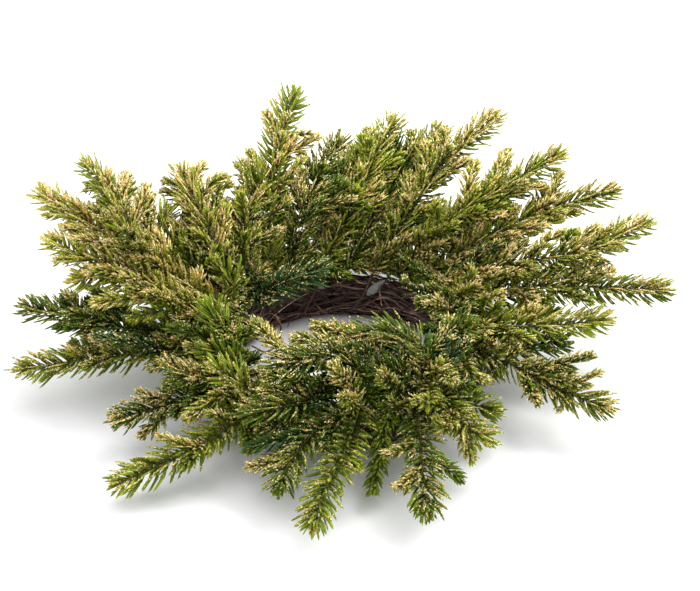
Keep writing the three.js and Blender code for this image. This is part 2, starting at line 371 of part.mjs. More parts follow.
      ["t", 103.1, 18.3, 62.8, 83.9, 12.7, 69.6, 66.1, 3.7, 76.9],
      ["t", 97.4, 5.3, 67.8, 107.9, -9.5, 76.8, 115.7, -26.0, 85.6],
      ["t", 104.7, 40.9, 51.8, 109.4, 61.9, 50.4, 118.8, 81.3, 49.1],
    ],
  },
  spray_19: {
    root: 352,
    branches: [
      ["m", 101.6, 8.8, 46.0, 153.7, -7.3, 56.0, 203.4, -10.2, 60.0, 249.5, -4.8, 62.0],
      ["s", 144.4, -4.4, 54.2, 153.6, -30.8, 60.0, 174.4, -40.7, 62.0],
      ["s", 123.0, 2.2, 50.1, 128.8, -20.1, 64.0, 128.6, -49.8, 72.0],
      ["m", 114.8, 4.7, 48.5, 135.3, -19.8, 38.0, 176.9, -12.8, 40.0, 211.6, -12.5, 42.0],
      ["s", 114.8, 4.7, 48.5, 93.5, 4.9, 70.0, 85.2, -11.1, 84.0],
      ["s", 114.8, 4.7, 48.5, 114.0, 7.4, 62.0, 132.5, 11.5, 66.0],
      ["t", 137.5, -2.3, 52.9, 158.6, 6.6, 60.1, 180.9, 12.2, 67.0],
      ["t", 166.2, -8.0, 57.0, 183.8, 4.7, 58.7, 203.0, 14.7, 60.5],
      ["t", 122.1, -4.0, 44.8, 118.3, -24.5, 43.1, 118.1, -45.2, 39.7],
      ["t", 131.7, -15.6, 39.8, 153.0, -16.8, 38.9, 173.6, -21.4, 36.6],
      ["t", 105.6, 7.6, 46.8, 116.5, 23.0, 44.2, 130.6, 35.5, 42.0],
    ],
  },
  spray_20: {
    root: 336,
    branches: [
      ["m", 94.8, -22.4, 44.0, 146.4, -52.3, 46.0, 192.7, -88.4, 40.0, 239.3, -115.3, 36.0],
      ["s", 156.5, -60.2, 44.7, 198.4, -74.0, 58.0, 224.2, -68.7, 64.0],
      ["s", 174.1, -73.9, 42.4, 208.7, -96.8, 54.0, 230.0, -90.0, 60.0],
      ["s", 153.8, -58.0, 45.0, 174.8, -72.9, 36.0, 170.0, -83.5, 26.0],
      ["s", 180.9, -79.2, 41.5, 196.5, -92.7, 28.0, 190.9, -92.0, 20.0],
      ["m", 106.9, -29.4, 44.5, 94.9, -50.7, 62.0, 107.1, -49.5, 76.0, 119.6, -42.0, 86.0],
      ["s", 109.8, -31.1, 44.6, 112.8, -86.9, 58.0, 130.2, -93.9, 50.0],
      ["t", 105.2, -28.4, 44.4, 126.5, -21.6, 50.7, 149.0, -18.7, 56.2],
      ["t", 165.0, -66.8, 43.6, 167.0, -88.1, 40.5, 172.5, -108.8, 37.4],
      ["t", 102.1, -37.9, 51.5, 90.8, -39.3, 64.3, 80.1, -43.0, 76.2],
      ["t", 98.7, -24.7, 44.1, 113.8, -11.0, 45.2, 131.9, -1.4, 44.7],
    ],
  },
  spray_21: {
    root: 316,
    branches: [
      ["m", 78.2, -78.3, 46.0, 92.4, -119.2, 46.0, 111.5, -152.7, 42.0, 131.3, -166.2, 38.0],
      ["m", 86.9, -103.4, 46.0, 112.1, -110.4, 40.0, 141.2, -111.0, 32.0],
      ["s", 102.5, -137.0, 43.9, 107.9, -165.2, 30.0, 112.7, -174.4, 22.0],
      ["s", 88.7, -108.5, 46.0, 77.5, -139.9, 58.0, 59.2, -145.5, 68.0],
      ["s", 90.4, -113.5, 46.0, 101.0, -115.5, 56.0, 111.5, -108.7, 64.0],
      ["t", 82.2, -89.7, 46.0, 102.7, -97.4, 50.4, 121.5, -108.7, 54.0],
      ["t", 98.2, -106.5, 43.3, 108.1, -101.3, 41.3, 118.7, -97.6, 39.1],
      ["t", 79.8, -83.0, 46.0, 96.7, -76.2, 44.9, 114.8, -73.6, 43.9],
    ],
  },
  spray_22: {
    root: 296,
    branches: [
      ["m", 58.2, -100.5, 46.0, 66.9, -160.1, 42.0, 68.7, -213.4, 36.0, 70.6, -258.3, 28.0],
      ["s", 67.1, -166.8, 41.3, 49.4, -184.9, 42.0, 33.4, -189.2, 42.0],
      ["s", 68.2, -198.5, 37.7, 52.8, -221.7, 36.0, 41.9, -227.2, 36.0],
      ["s", 67.8, -187.4, 38.9, 89.1, -202.2, 36.0, 102.9, -212.2, 30.0],
      ["s", 60.2, -114.4, 45.1, 38.2, -145.3, 42.0, 32.9, -174.2, 26.0, 25.0, -208.7, 15.0],
      ["w", 60.2, -114.4, 45.1, 47.1, -121.3, 62.0, 38.1, -129.8, 80.0, 31.9, -141.9, 92.0],
      ["s", 60.5, -116.3, 44.9, 50.7, -118.9, 50.0, 40.0, -137.4, 48.0, 33.0, -149.8, 42.0],
      ["s", 60.2, -114.4, 45.1, 54.3, -105.6, 64.0, 52.6, -98.6, 76.0, 54.2, -94.9, 86.0],
      ["m", 60.2, -114.4, 45.1, 45.6, -109.1, 58.0, 33.5, -105.8, 60.0, 17.8, -112.1, 60.0],
      ["t", 61.8, -125.3, 44.3, 78.3, -141.1, 46.8, 92.5, -159.1, 48.5],
      ["t", 59.1, -107.0, 45.6, 74.9, -109.7, 39.7, 90.0, -115.9, 34.8],
    ],
  },
  spray_23: {
    root: 270,
    branches: [
      ["m", 16.1, -119.2, 46.0, 3.2, -182.0, 42.0, -13.9, -235.3, 38.0, -23.8, -279.2, 30.0],
      ["s", 2.5, -184.1, 41.8, 9.1, -193.6, 38.0, 19.1, -199.5, 34.0],
      ["m", 13.3, -132.9, 45.1, -19.7, -161.3, 48.0, -42.8, -193.6, 38.0, -53.6, -226.1, 28.0],
      ["s", -14.0, -156.4, 47.5, -55.6, -178.9, 48.0, -82.3, -173.6, 36.0],
      ["s", -35.8, -183.8, 41.0, -61.4, -191.0, 34.0, -81.7, -189.8, 28.0],
      ["w", 13.3, -132.9, 45.1, 7.4, -151.5, 70.0, 1.6, -173.6, 90.0],
      ["w", 13.3, -132.9, 45.1, 9.1, -124.2, 66.0, -2.8, -132.7, 86.0, -8.7, -132.5, 98.0],
      ["s", 12.7, -135.4, 45.0, -4.5, -155.3, 50.0, -16.3, -164.5, 44.0, -24.7, -173.5, 38.0],
      ["m", 13.3, -132.9, 45.1, 7.4, -121.8, 54.0, -6.5, -109.2, 57.0, -23.9, -104.3, 60.0],
      ["s", 13.3, -132.9, 45.1, 17.8, -115.7, 52.0, 29.9, -121.9, 52.0, 40.2, -128.0, 52.0],
      ["t", 4.2, -140.7, 45.9, -20.7, -139.7, 47.7, -45.5, -142.6, 49.6],
      ["t", -5.7, -149.2, 46.8, -9.0, -170.7, 48.3, -15.5, -191.5, 49.9],
      ["t", 15.2, -123.5, 45.7, 28.7, -131.1, 42.2, 40.3, -141.7, 39.2],
    ],
  },
  spray_24: {
    root: 248,
    branches: [
      ["m", -10.0, -109.8, 48.0, -30.2, -139.7, 62.0, -55.2, -154.7, 66.0, -85.9, -154.9, 60.0],
      ["s", -20.4, -125.1, 55.2, -48.7, -142.3, 74.0, -72.0, -151.2, 80.0],
      ["s", -17.3, -120.6, 53.1, -35.2, -133.0, 78.0, -50.3, -138.9, 84.0, -67.0, -145.1, 84.0],
      ["s", -17.3, -120.6, 53.1, -16.6, -130.1, 72.0, -23.2, -135.9, 84.0],
      ["s", -31.1, -140.2, 62.1, -54.0, -152.4, 48.0, -72.8, -152.7, 42.0],
      ["s", -17.3, -120.6, 53.1, -13.4, -115.5, 56.0, -27.3, -108.8, 62.0, -43.0, -105.5, 66.0],
      ["s", -17.3, -120.6, 53.1, -20.1, -127.6, 60.0, -33.9, -124.2, 66.0, -49.2, -127.1, 70.0],
      ["t", -23.3, -129.5, 57.2, -20.8, -145.6, 64.3, -20.8, -161.8, 71.5],
      ["t", -13.7, -115.2, 50.5, -6.1, -128.1, 44.7, -1.2, -142.7, 39.8],
    ],
  },
  spray_25: {
    root: 284,
    branches: [
      ["m", 37.2, -100.5, 46.0, 17.8, -102.3, 66.0, -1.3, -98.3, 80.0, -21.9, -107.6, 88.0, -43.9, -123.3, 88.0, -67.5, -132.7, 86.0],
      ["s", 9.4, -100.5, 72.2, 3.1, -94.9, 84.0, -20.5, -85.0, 90.0, -45.5, -91.3, 94.0],
      ["s", 26.5, -101.5, 57.1, 30.1, -85.7, 76.0, 5.6, -70.4, 86.0, -27.0, -60.2, 90.0],
      ["s", -24.9, -109.8, 88.0, -50.8, -94.9, 84.0, -64.8, -67.2, 84.0, -79.3, -37.2, 82.0],
      ["s", 27.5, -101.4, 56.0, 31.8, -92.4, 72.0, 17.8, -94.9, 84.0, 5.7, -96.2, 92.0],
      ["s", 23.8, -101.8, 59.8, 23.1, -95.4, 76.0, 12.7, -75.3, 86.0, 3.9, -65.1, 92.0],
      ["m", 27.5, -101.4, 56.0, 28.3, -109.4, 54.0, 14.4, -102.8, 58.0, -1.3, -96.1, 64.0],
      ["s", 9.4, -100.5, 72.2, -3.0, -108.3, 72.0, -18.5, -108.1, 76.0, -35.7, -114.3, 78.0],
      ["s", 23.8, -101.8, 59.8, 9.1, -106.0, 58.0, 0.5, -112.3, 56.0, -9.9, -118.6, 56.0],
      ["t", 25.0, -107.8, 55.0, 21.0, -97.9, 59.3, 15.5, -88.8, 63.0],
      ["t", 31.9, -101.0, 51.4, 46.3, -108.4, 45.3, 59.2, -118.7, 40.3],
    ],
  },
  spray_26: {
    root: 305,
    branches: [
      ["m", 68.8, -95.7, 47.0, 77.0, -98.9, 70.0, 69.1, -90.0, 86.0, 46.7, -76.7, 92.0, 7.4, -70.1, 92.0],
      ["s", 76.2, -98.6, 67.8, 81.3, -117.4, 78.0, 86.6, -109.2, 88.0],
      ["s", 74.7, -98.0, 63.6, 86.2, -106.8, 70.0, 96.7, -137.5, 80.0],
      ["s", 73.6, -95.0, 77.0, 53.0, -79.3, 74.0, 38.0, -82.2, 80.0, 19.6, -82.0, 84.0],
      ["s", 71.4, -92.5, 81.5, 84.1, -85.1, 86.0, 93.0, -76.5, 95.0, 94.4, -61.3, 100.0],
      ["s", 73.5, -97.5, 60.1, 76.0, -130.6, 62.0, 70.5, -160.4, 76.0, 59.8, -175.1, 88.0],
      ["m", 73.5, -97.5, 60.1, 68.5, -89.1, 74.0, 49.5, -75.6, 82.0, 26.7, -68.6, 88.0],
      ["m", 73.5, -97.5, 60.1, 61.5, -99.4, 62.0, 40.4, -102.1, 70.0, 19.5, -109.9, 72.0],
      ["t", 72.8, -97.3, 58.2, 93.6, -89.9, 72.5, 112.6, -84.7, 89.8],
      ["t", 70.0, -91.6, 69.9, 75.5, -84.4, 79.3, 79.2, -77.0, 89.4],
      ["t", 61.8, -99.3, 62.0, 52.4, -92.9, 66.6, 42.1, -88.0, 71.1],
      ["t", 48.9, -101.0, 66.8, 42.8, -110.5, 71.3, 35.1, -118.6, 76.1],
      ["t", 70.0, -96.2, 50.2, 87.6, -91.8, 46.9, 105.8, -92.0, 44.0],
    ],
  },
};

// Colours of the materials
const VINE = { color: 0x3a2a22, roughness: 0.85, metalness: 0 };
const STEM = { color: 0x4d3a26, roughness: 0.8, metalness: 0 };
const GLUE = { color: 0xb9bab2, roughness: 0.35, metalness: 0 };
const GREENS = [0x3f5a33, 0x5d7a2e, 0x6f7f3a, 0x2f4f3a, 0x857f42];

const wasm = await Module();
wasm.setup();

// A closed geometry as a solid, with its faces pointing out.
function solid(geometry) {
  const g = geometry.clone();
  g.deleteAttribute("normal");
  g.deleteAttribute("uv");
  const merged = mergeVertices(g, 1e-4);
  const index = merged.index.array;
  const tris = [];
  for (let i = 0; i < index.length; i += 3) {
    const [a, b, c] = [index[i], index[i + 1], index[i + 2]];
    if (a !== b && b !== c && c !== a) tris.push(a, b, c);
  }
  const make = (t) =>
    new wasm.Manifold(
      new wasm.Mesh({
        numProp: 3,
        vertProperties: merged.attributes.position.array,
        triVerts: new Uint32Array(t),
      }),
    );
  const made = make(tris);
  if (made.volume() >= 0) return made;
  for (let i = 0; i < tris.length; i += 3)
    [tris[i + 1], tris[i + 2]] = [tris[i + 2], tris[i + 1]];
  return make(tris);
}

function geometryOf(body) {
  const m = body.getMesh();
  const position = new Float32Array(m.numVert * 3);
  for (let i = 0; i < m.numVert; i++)
    for (let k = 0; k < 3; k++)
      position[3 * i + k] = m.vertProperties[m.numProp * i + k];
  const g = new THREE.BufferGeometry();
  g.setAttribute("position", new THREE.BufferAttribute(position, 3));
  g.setIndex(new THREE.BufferAttribute(new Uint32Array(m.triVerts), 1));
  g.computeVertexNormals();
  return g;
}

// The largest body of a solid that a cut may have split.
function largest(body) {
  const parts = body.decompose();
  return parts.reduce((a, b) => (b.volume() > a.volume() ? b : a));
}

function regularShape(radius, sides) {
  const s = new THREE.Shape();
  for (let i = 0; i < sides; i++) {
    const a = (2 * Math.PI * i) / sides;
    if (i) s.lineTo(radius * Math.cos(a), radius * Math.sin(a));
    else s.moveTo(radius, 0);
  }
  s.closePath();
  return s;
}

function rod(points, radius, sides, steps) {
  const path = new THREE.CatmullRomCurve3(points, false, "centripetal");
  return solid(
    new THREE.ExtrudeGeometry(regularShape(radius, sides), {
      steps,
      bevelEnabled: false,
      extrudePath: path,
      curveSegments: 1,
    }),
  );
}

// A point of the ring: angle round the wreath, and polar place in the section of the ring.
function onRing(degrees, distance, sectionDegrees) {
  const a = THREE.MathUtils.degToRad(degrees);
  const s = THREE.MathUtils.degToRad(sectionDegrees);
  const r = RING_RADIUS + distance * Math.cos(s);
  return new THREE.Vector3(
    r * Math.cos(a),
    r * Math.sin(a),
    RING_HEIGHT + distance * Math.sin(s),
  );
}

// One vine bundle: a torus whose section circles the centre line of the ring as it goes round.
function bundle(index, grow) {
  const g = new THREE.TorusGeometry(
    RING_RADIUS,
    BUNDLE_RADIUS + grow,
    BUNDLE_SIDES,
    BUNDLE_STEPS,
  );
  const p = g.attributes.position;
  const half = Math.PI / BUNDLE_SIDES; // turns the section so that a flat side faces down
  for (let i = 0; i < p.count; i++) {
    const v = new THREE.Vector3().fromBufferAttribute(p, i);
    const a = Math.atan2(v.y, v.x);
    const dr = Math.hypot(v.x, v.y) - RING_RADIUS;
    const r = RING_RADIUS + dr * Math.cos(half) - v.z * Math.sin(half);
    v.z = dr * Math.sin(half) + v.z * Math.cos(half);
    v.x = r * Math.cos(a);
    v.y = r * Math.sin(a);
    const lay = BUNDLE_TWISTS * a + (2 * Math.PI * index) / BUNDLE_COUNT;
    const out = BUNDLE_OFFSET * Math.cos(lay);
    v.x += out * Math.cos(a);
    v.y += out * Math.sin(a);
    v.z += RING_HEIGHT + BUNDLE_OFFSET * Math.sin(lay);
    p.setXYZ(i, v.x, v.y, v.z);
  }
  return solid(g);
}

// Everything below z = 0, which the underside of the ring is cut to.
const belowFloor = solid(
  new THREE.BoxGeometry(500, 500, 40).translate(0, 0, -20),
);

// Envelope of the whole ring, that the needles keep clear of.
const ringEnvelope = solid(
  new THREE.TorusGeometry(
    RING_RADIUS,
    BUNDLE_OFFSET + BUNDLE_RADIUS + GAP,
    12,
    60,
  ).translate(0, 0, RING_HEIGHT),
);

// A flat lobe of needles along a curve: a lathed spindle of four sides whose side edges are drawn forward into teeth, laid along the branch.
function lobe(kind, points, grow) {
  const { halfWidth, halfThickness, pitch, leastRows } = LOBES[kind];
  const curve = new THREE.CatmullRomCurve3(points, false, "centripetal");
  const length = curve.getLength();
  const rows = Math.max(leastRows, Math.round(length / pitch));
  const step = length / rows;
  const profile = [new THREE.Vector2(0, 0)];
  for (let i = 0; i < rows; i++) {
    const t = i / rows;
    const base = 0.55 + 0.45 * Math.min(1, (t * length) / 22);
    const tip = Math.sqrt(Math.max(0, 1 - Math.max(0, t - 0.45) ** 2 / 0.42));
    const tooth = i % 2 ? 1 : 0.74;
    profile.push(new THREE.Vector2(base * tip * tooth, i * step + 1e-3));
  }
  profile.push(new THREE.Vector2(0, length));
  const g = new THREE.LatheGeometry(profile, 4);
  const p = g.attributes.position;
  // frames carried along the curve, starting with the flat side up
  const frames = [];
  const n = 60;
  let normal = null;
  for (let i = 0; i <= n; i++) {
    const tangent = curve.getTangentAt(i / n);
    if (!normal) {
      const up = new THREE.Vector3(0, 0, 1);
      if (Math.abs(tangent.z) > 0.93)
        up.set(points[0].x, points[0].y, 0).normalize();
      normal = up;
    }
    normal = normal
      .clone()
      .addScaledVector(tangent, -normal.dot(tangent))
      .normalize();
    frames.push({
      at: curve.getPointAt(i / n),
      tangent,
      normal,
      side: new THREE.Vector3().crossVectors(tangent, normal),
    });
  }
  for (let i = 0; i < p.count; i++) {
    const x = p.getX(i);
    const y = p.getY(i);
    const z = p.getZ(i);
    const radius = Math.hypot(x, z);
    let along = y / length;
    // the side vertices of a wide row reach forward, as the needles do
    const row = Math.round(y / step);
    const forward = radius > 1e-6 && Math.abs(x) > 0.5 * radius && row % 2 ? 0.5 * step : 0;
    const f = along * n;
    const k = Math.min(n - 1, Math.floor(f));
    const w = f - k;
    const a = frames[k];
    const b = frames[k + 1];
    const at = a.at.clone().lerp(b.at, w);
    const tangent = a.tangent.clone().lerp(b.tangent, w).normalize();
    const nn = a.normal.clone().lerp(b.normal, w).normalize();
    const ss = a.side.clone().lerp(b.side, w).normalize();
    const wide = x ? x * halfWidth + Math.sign(x) * grow * (radius > 1e-6) : 0;
    const thick = z ? z * halfThickness + Math.sign(z) * grow * (radius > 1e-6) : 0;
    at.addScaledVector(ss, Math.abs(x) < 1e-6 ? 0 : wide);
    at.addScaledVector(nn, Math.abs(z) < 1e-6 ? 0 : thick);
    at.addScaledVector(tangent, forward);
    if (along > 0.999) at.addScaledVector(tangent, grow);
    if (along < 0.001) at.addScaledVector(tangent, -grow);
    p.setXYZ(i, at.x, at.y, at.z);
  }
  return solid(g);
}

const vectors = (flat) => {
  const out = [];
  for (let i = 0; i < flat.length; i += 3)
    out.push(new THREE.Vector3(flat[i], flat[i + 1], flat[i + 2]));
  return out;
};

// The first part of a polyline, or the rest of it, by length.
function split(points, length) {
  const first = [points[0]];
  let left = length;
  for (let i = 1; i < points.length; i++) {
    const d = points[i].distanceTo(points[i - 1]);
    if (d > left) {
      const cut = points[i - 1].clone().lerp(points[i], left / d);
      return [first.concat([cut]), [cut].concat(points.slice(i))];
    }
    first.push(points[i]);
    left -= d;
  }
  return [first, [points[points.length - 1]]];
}

const group = new THREE.Group();
function add(name, body, look) {
  const mesh = new THREE.Mesh(
    geometryOf(body),
    new THREE.MeshStandardMaterial(look),
  );
  mesh.name = name;
  mesh.position.copy(SHIFT);
  group.add(mesh);
}

// Stems: from inside the ring out between its vines and a little way up the leader.
// Two of them come up the inner face of the ring first. Points of that part: angle, distance and section angle.
const TAILS = {
  spray_12: [[115.5, 13, 214], [114.5, 22.2, 196], [110.5, 22.2, 165], [105, 22.2, 133], [103, 22.2, 100]],
  spray_14: [[86.5, 13, 214], [85.5, 22.2, 196], [80.5, 22.2, 170], [77, 22.2, 144], [75.5, 22.2, 104]],
};
const stems = Object.entries(SPRAYS).map(([name, { root, branches }]) => {
  const leader = vectors(branches[0].slice(1));
  const [start] = split(leader, STEM_ALONG_LEADER);
  const tail = TAILS[name];
  const low = (tail ?? [[root, 10.5, 70]]).map((place) => onRing(...place));
  const path = [...low, ...start];
  const steps = tail ? 12 : STEM_STEPS;
  return {
    name,
    body: rod(path, STEM_RADIUS, STEM_SIDES, steps),
    room: rod(path, STEM_RADIUS + GAP, STEM_SIDES, steps),
  };
});
const stemRoom = stems.reduce((a, s) => (a ? a.add(s.room) : s.room), null);

// Needles: the lobes of one spray joined into one body, clear of the ring, of every stem and of the sprays before it.
let taken = null;
const report = [];
const needles = [];
for (const [name, { branches }] of Object.entries(SPRAYS)) {
  let body = null;
  let room = null;
  branches.forEach((branch, k) => {
    let points = vectors(branch.slice(1));
    if (!k) points = split(points, STEM_ALONG_LEADER + GAP + 0.2)[1];
    const one = lobe(branch[0], points, 0);
    const wide = lobe(branch[0], points, 2 * GAP);
    body = body ? body.add(one) : one;
    room = room ? room.add(wide) : wide;
  });
  const whole = body.volume();
  body = body.subtract(ringEnvelope).subtract(stemRoom);
  if (taken) body = body.subtract(taken);
  body = largest(body);
  // what the widened lobes missed in the fold of a bent branch
  for (const other of needles)
    if (body.intersect(other.body).volume() > 1e-3)
      body = largest(body.subtract(other.body));
  needles.push({ name: name + "_needles", body });
  report.push([name, body.volume() / whole, body.numTri()]);
  taken = taken ? taken.add(room) : room;
}
needles.forEach(({ name, body }, i) =>
  add(name, body, {
    color: GREENS[i % GREENS.length],
    roughness: 0.6,
    metalness: 0.15,
  }),
);
for (const s of stems) add(s.name + "_stem", s.body, STEM);

// Vine ring
let vines = null;
for (let i = 0; i < BUNDLE_COUNT; i++) {
  const body = largest(bundle(i, 0).subtract(stemRoom).subtract(belowFloor));
  add("vine_bundle_" + (i + 1), body, VINE);
  const room = bundle(i, GAP);
  vines = vines ? vines.add(room) : room;
}

// Dabs of clear glue where two stems cross the top of the ring: drops that have run a little, lying on its slope.
const dabs = [
  { on: [71.5, 20.6, 125], size: [12, 4.6, 3.6], along: [0.78, 0.38, 0.5] },
  { on: [103, 20.6, 122], size: [6, 4.2, 3.2], along: [0.9, -0.15, -0.3] },
];
let placed = taken.add(stemRoom).add(vines);
dabs.forEach(({ on, size, along }, i) => {
  const at = onRing(...on);
  const a = THREE.MathUtils.degToRad(on[0]);
  const s = THREE.MathUtils.degToRad(on[2]);
  const away = new THREE.Vector3(Math.cos(s) * Math.cos(a), Math.cos(s) * Math.sin(a), Math.sin(s));
  const x = new THREE.Vector3(...along).normalize();
  const z = away.addScaledVector(x, -away.dot(x)).normalize();
  const y = new THREE.Vector3().crossVectors(z, x);
  const g = new THREE.SphereGeometry(1, 10, 7).rotateX(Math.PI / 2);
  const p = g.attributes.position;
  for (let k = 0; k < p.count; k++) {
    const narrow = 1 - 0.55 * Math.max(0, p.getX(k)) ** 1.5; // the run end is slimmer
    p.setXYZ(k, p.getX(k) * size[0], p.getY(k) * size[1] * narrow, p.getZ(k) * size[2] * narrow);
  }
  g.applyMatrix4(new THREE.Matrix4().makeBasis(x, y, z)).translate(at.x, at.y, at.z);
  add("glue_dab_" + (i + 1), largest(solid(g).subtract(placed)), GLUE);
});

// Loose vine ends that spring out of the ring and back to it.
const tendrils = [
  [-80.9, 39.4, 38.0, -69.7, 33.8, 26.0, -62.2, 28.2, 14.0, -71.4, 20.5, 10.0, -84.5, 21.5, 16.0],
  [-62.7, 52.4, 30.0, -58.0, 47.0, 20.0, -61.7, 38.0, 10.0, -74.1, 41.1, 8.0, -88.8, 36.3, 20.0],
];
tendrils.forEach((points, i) => {
  const body = rod(vectors(points), TENDRIL_RADIUS, 5, 10);
  add("vine_tendril_" + (i + 1), largest(body.subtract(placed)), VINE);
});

export { report };
export default group;
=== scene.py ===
"""Pine wreath: the looks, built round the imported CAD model. Metres, +Z up, the wreath lies on its vine ring at z = 0."""
import math

import bpy
import numpy as np
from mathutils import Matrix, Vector


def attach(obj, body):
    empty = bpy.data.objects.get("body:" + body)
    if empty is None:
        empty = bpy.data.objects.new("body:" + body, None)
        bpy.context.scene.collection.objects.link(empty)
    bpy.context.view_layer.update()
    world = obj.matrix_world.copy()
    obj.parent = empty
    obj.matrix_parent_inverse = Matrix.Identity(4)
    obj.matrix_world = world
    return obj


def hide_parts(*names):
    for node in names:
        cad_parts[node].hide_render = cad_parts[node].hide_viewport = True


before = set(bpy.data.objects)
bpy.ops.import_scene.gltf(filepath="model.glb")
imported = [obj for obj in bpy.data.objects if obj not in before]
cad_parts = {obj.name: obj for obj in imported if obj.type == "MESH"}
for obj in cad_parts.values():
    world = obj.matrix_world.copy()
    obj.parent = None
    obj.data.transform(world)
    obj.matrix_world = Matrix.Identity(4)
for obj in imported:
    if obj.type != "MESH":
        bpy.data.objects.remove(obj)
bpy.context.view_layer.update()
rng = np.random.default_rng(2412)

# ---------------------------------------------------------------- sizes, millimetres
SHIFT = np.array([-3.55, -9.05, 0])  # from the centre of the ring to the middle of the bounding box
RING_RADIUS, RING_HEIGHT = 113.6, 18.0
BUNDLE_OFFSET, BUNDLE_RADIUS, BUNDLE_TWISTS = 11.7, 8.05, 3
STEM_ALONG_LEADER = 10.0

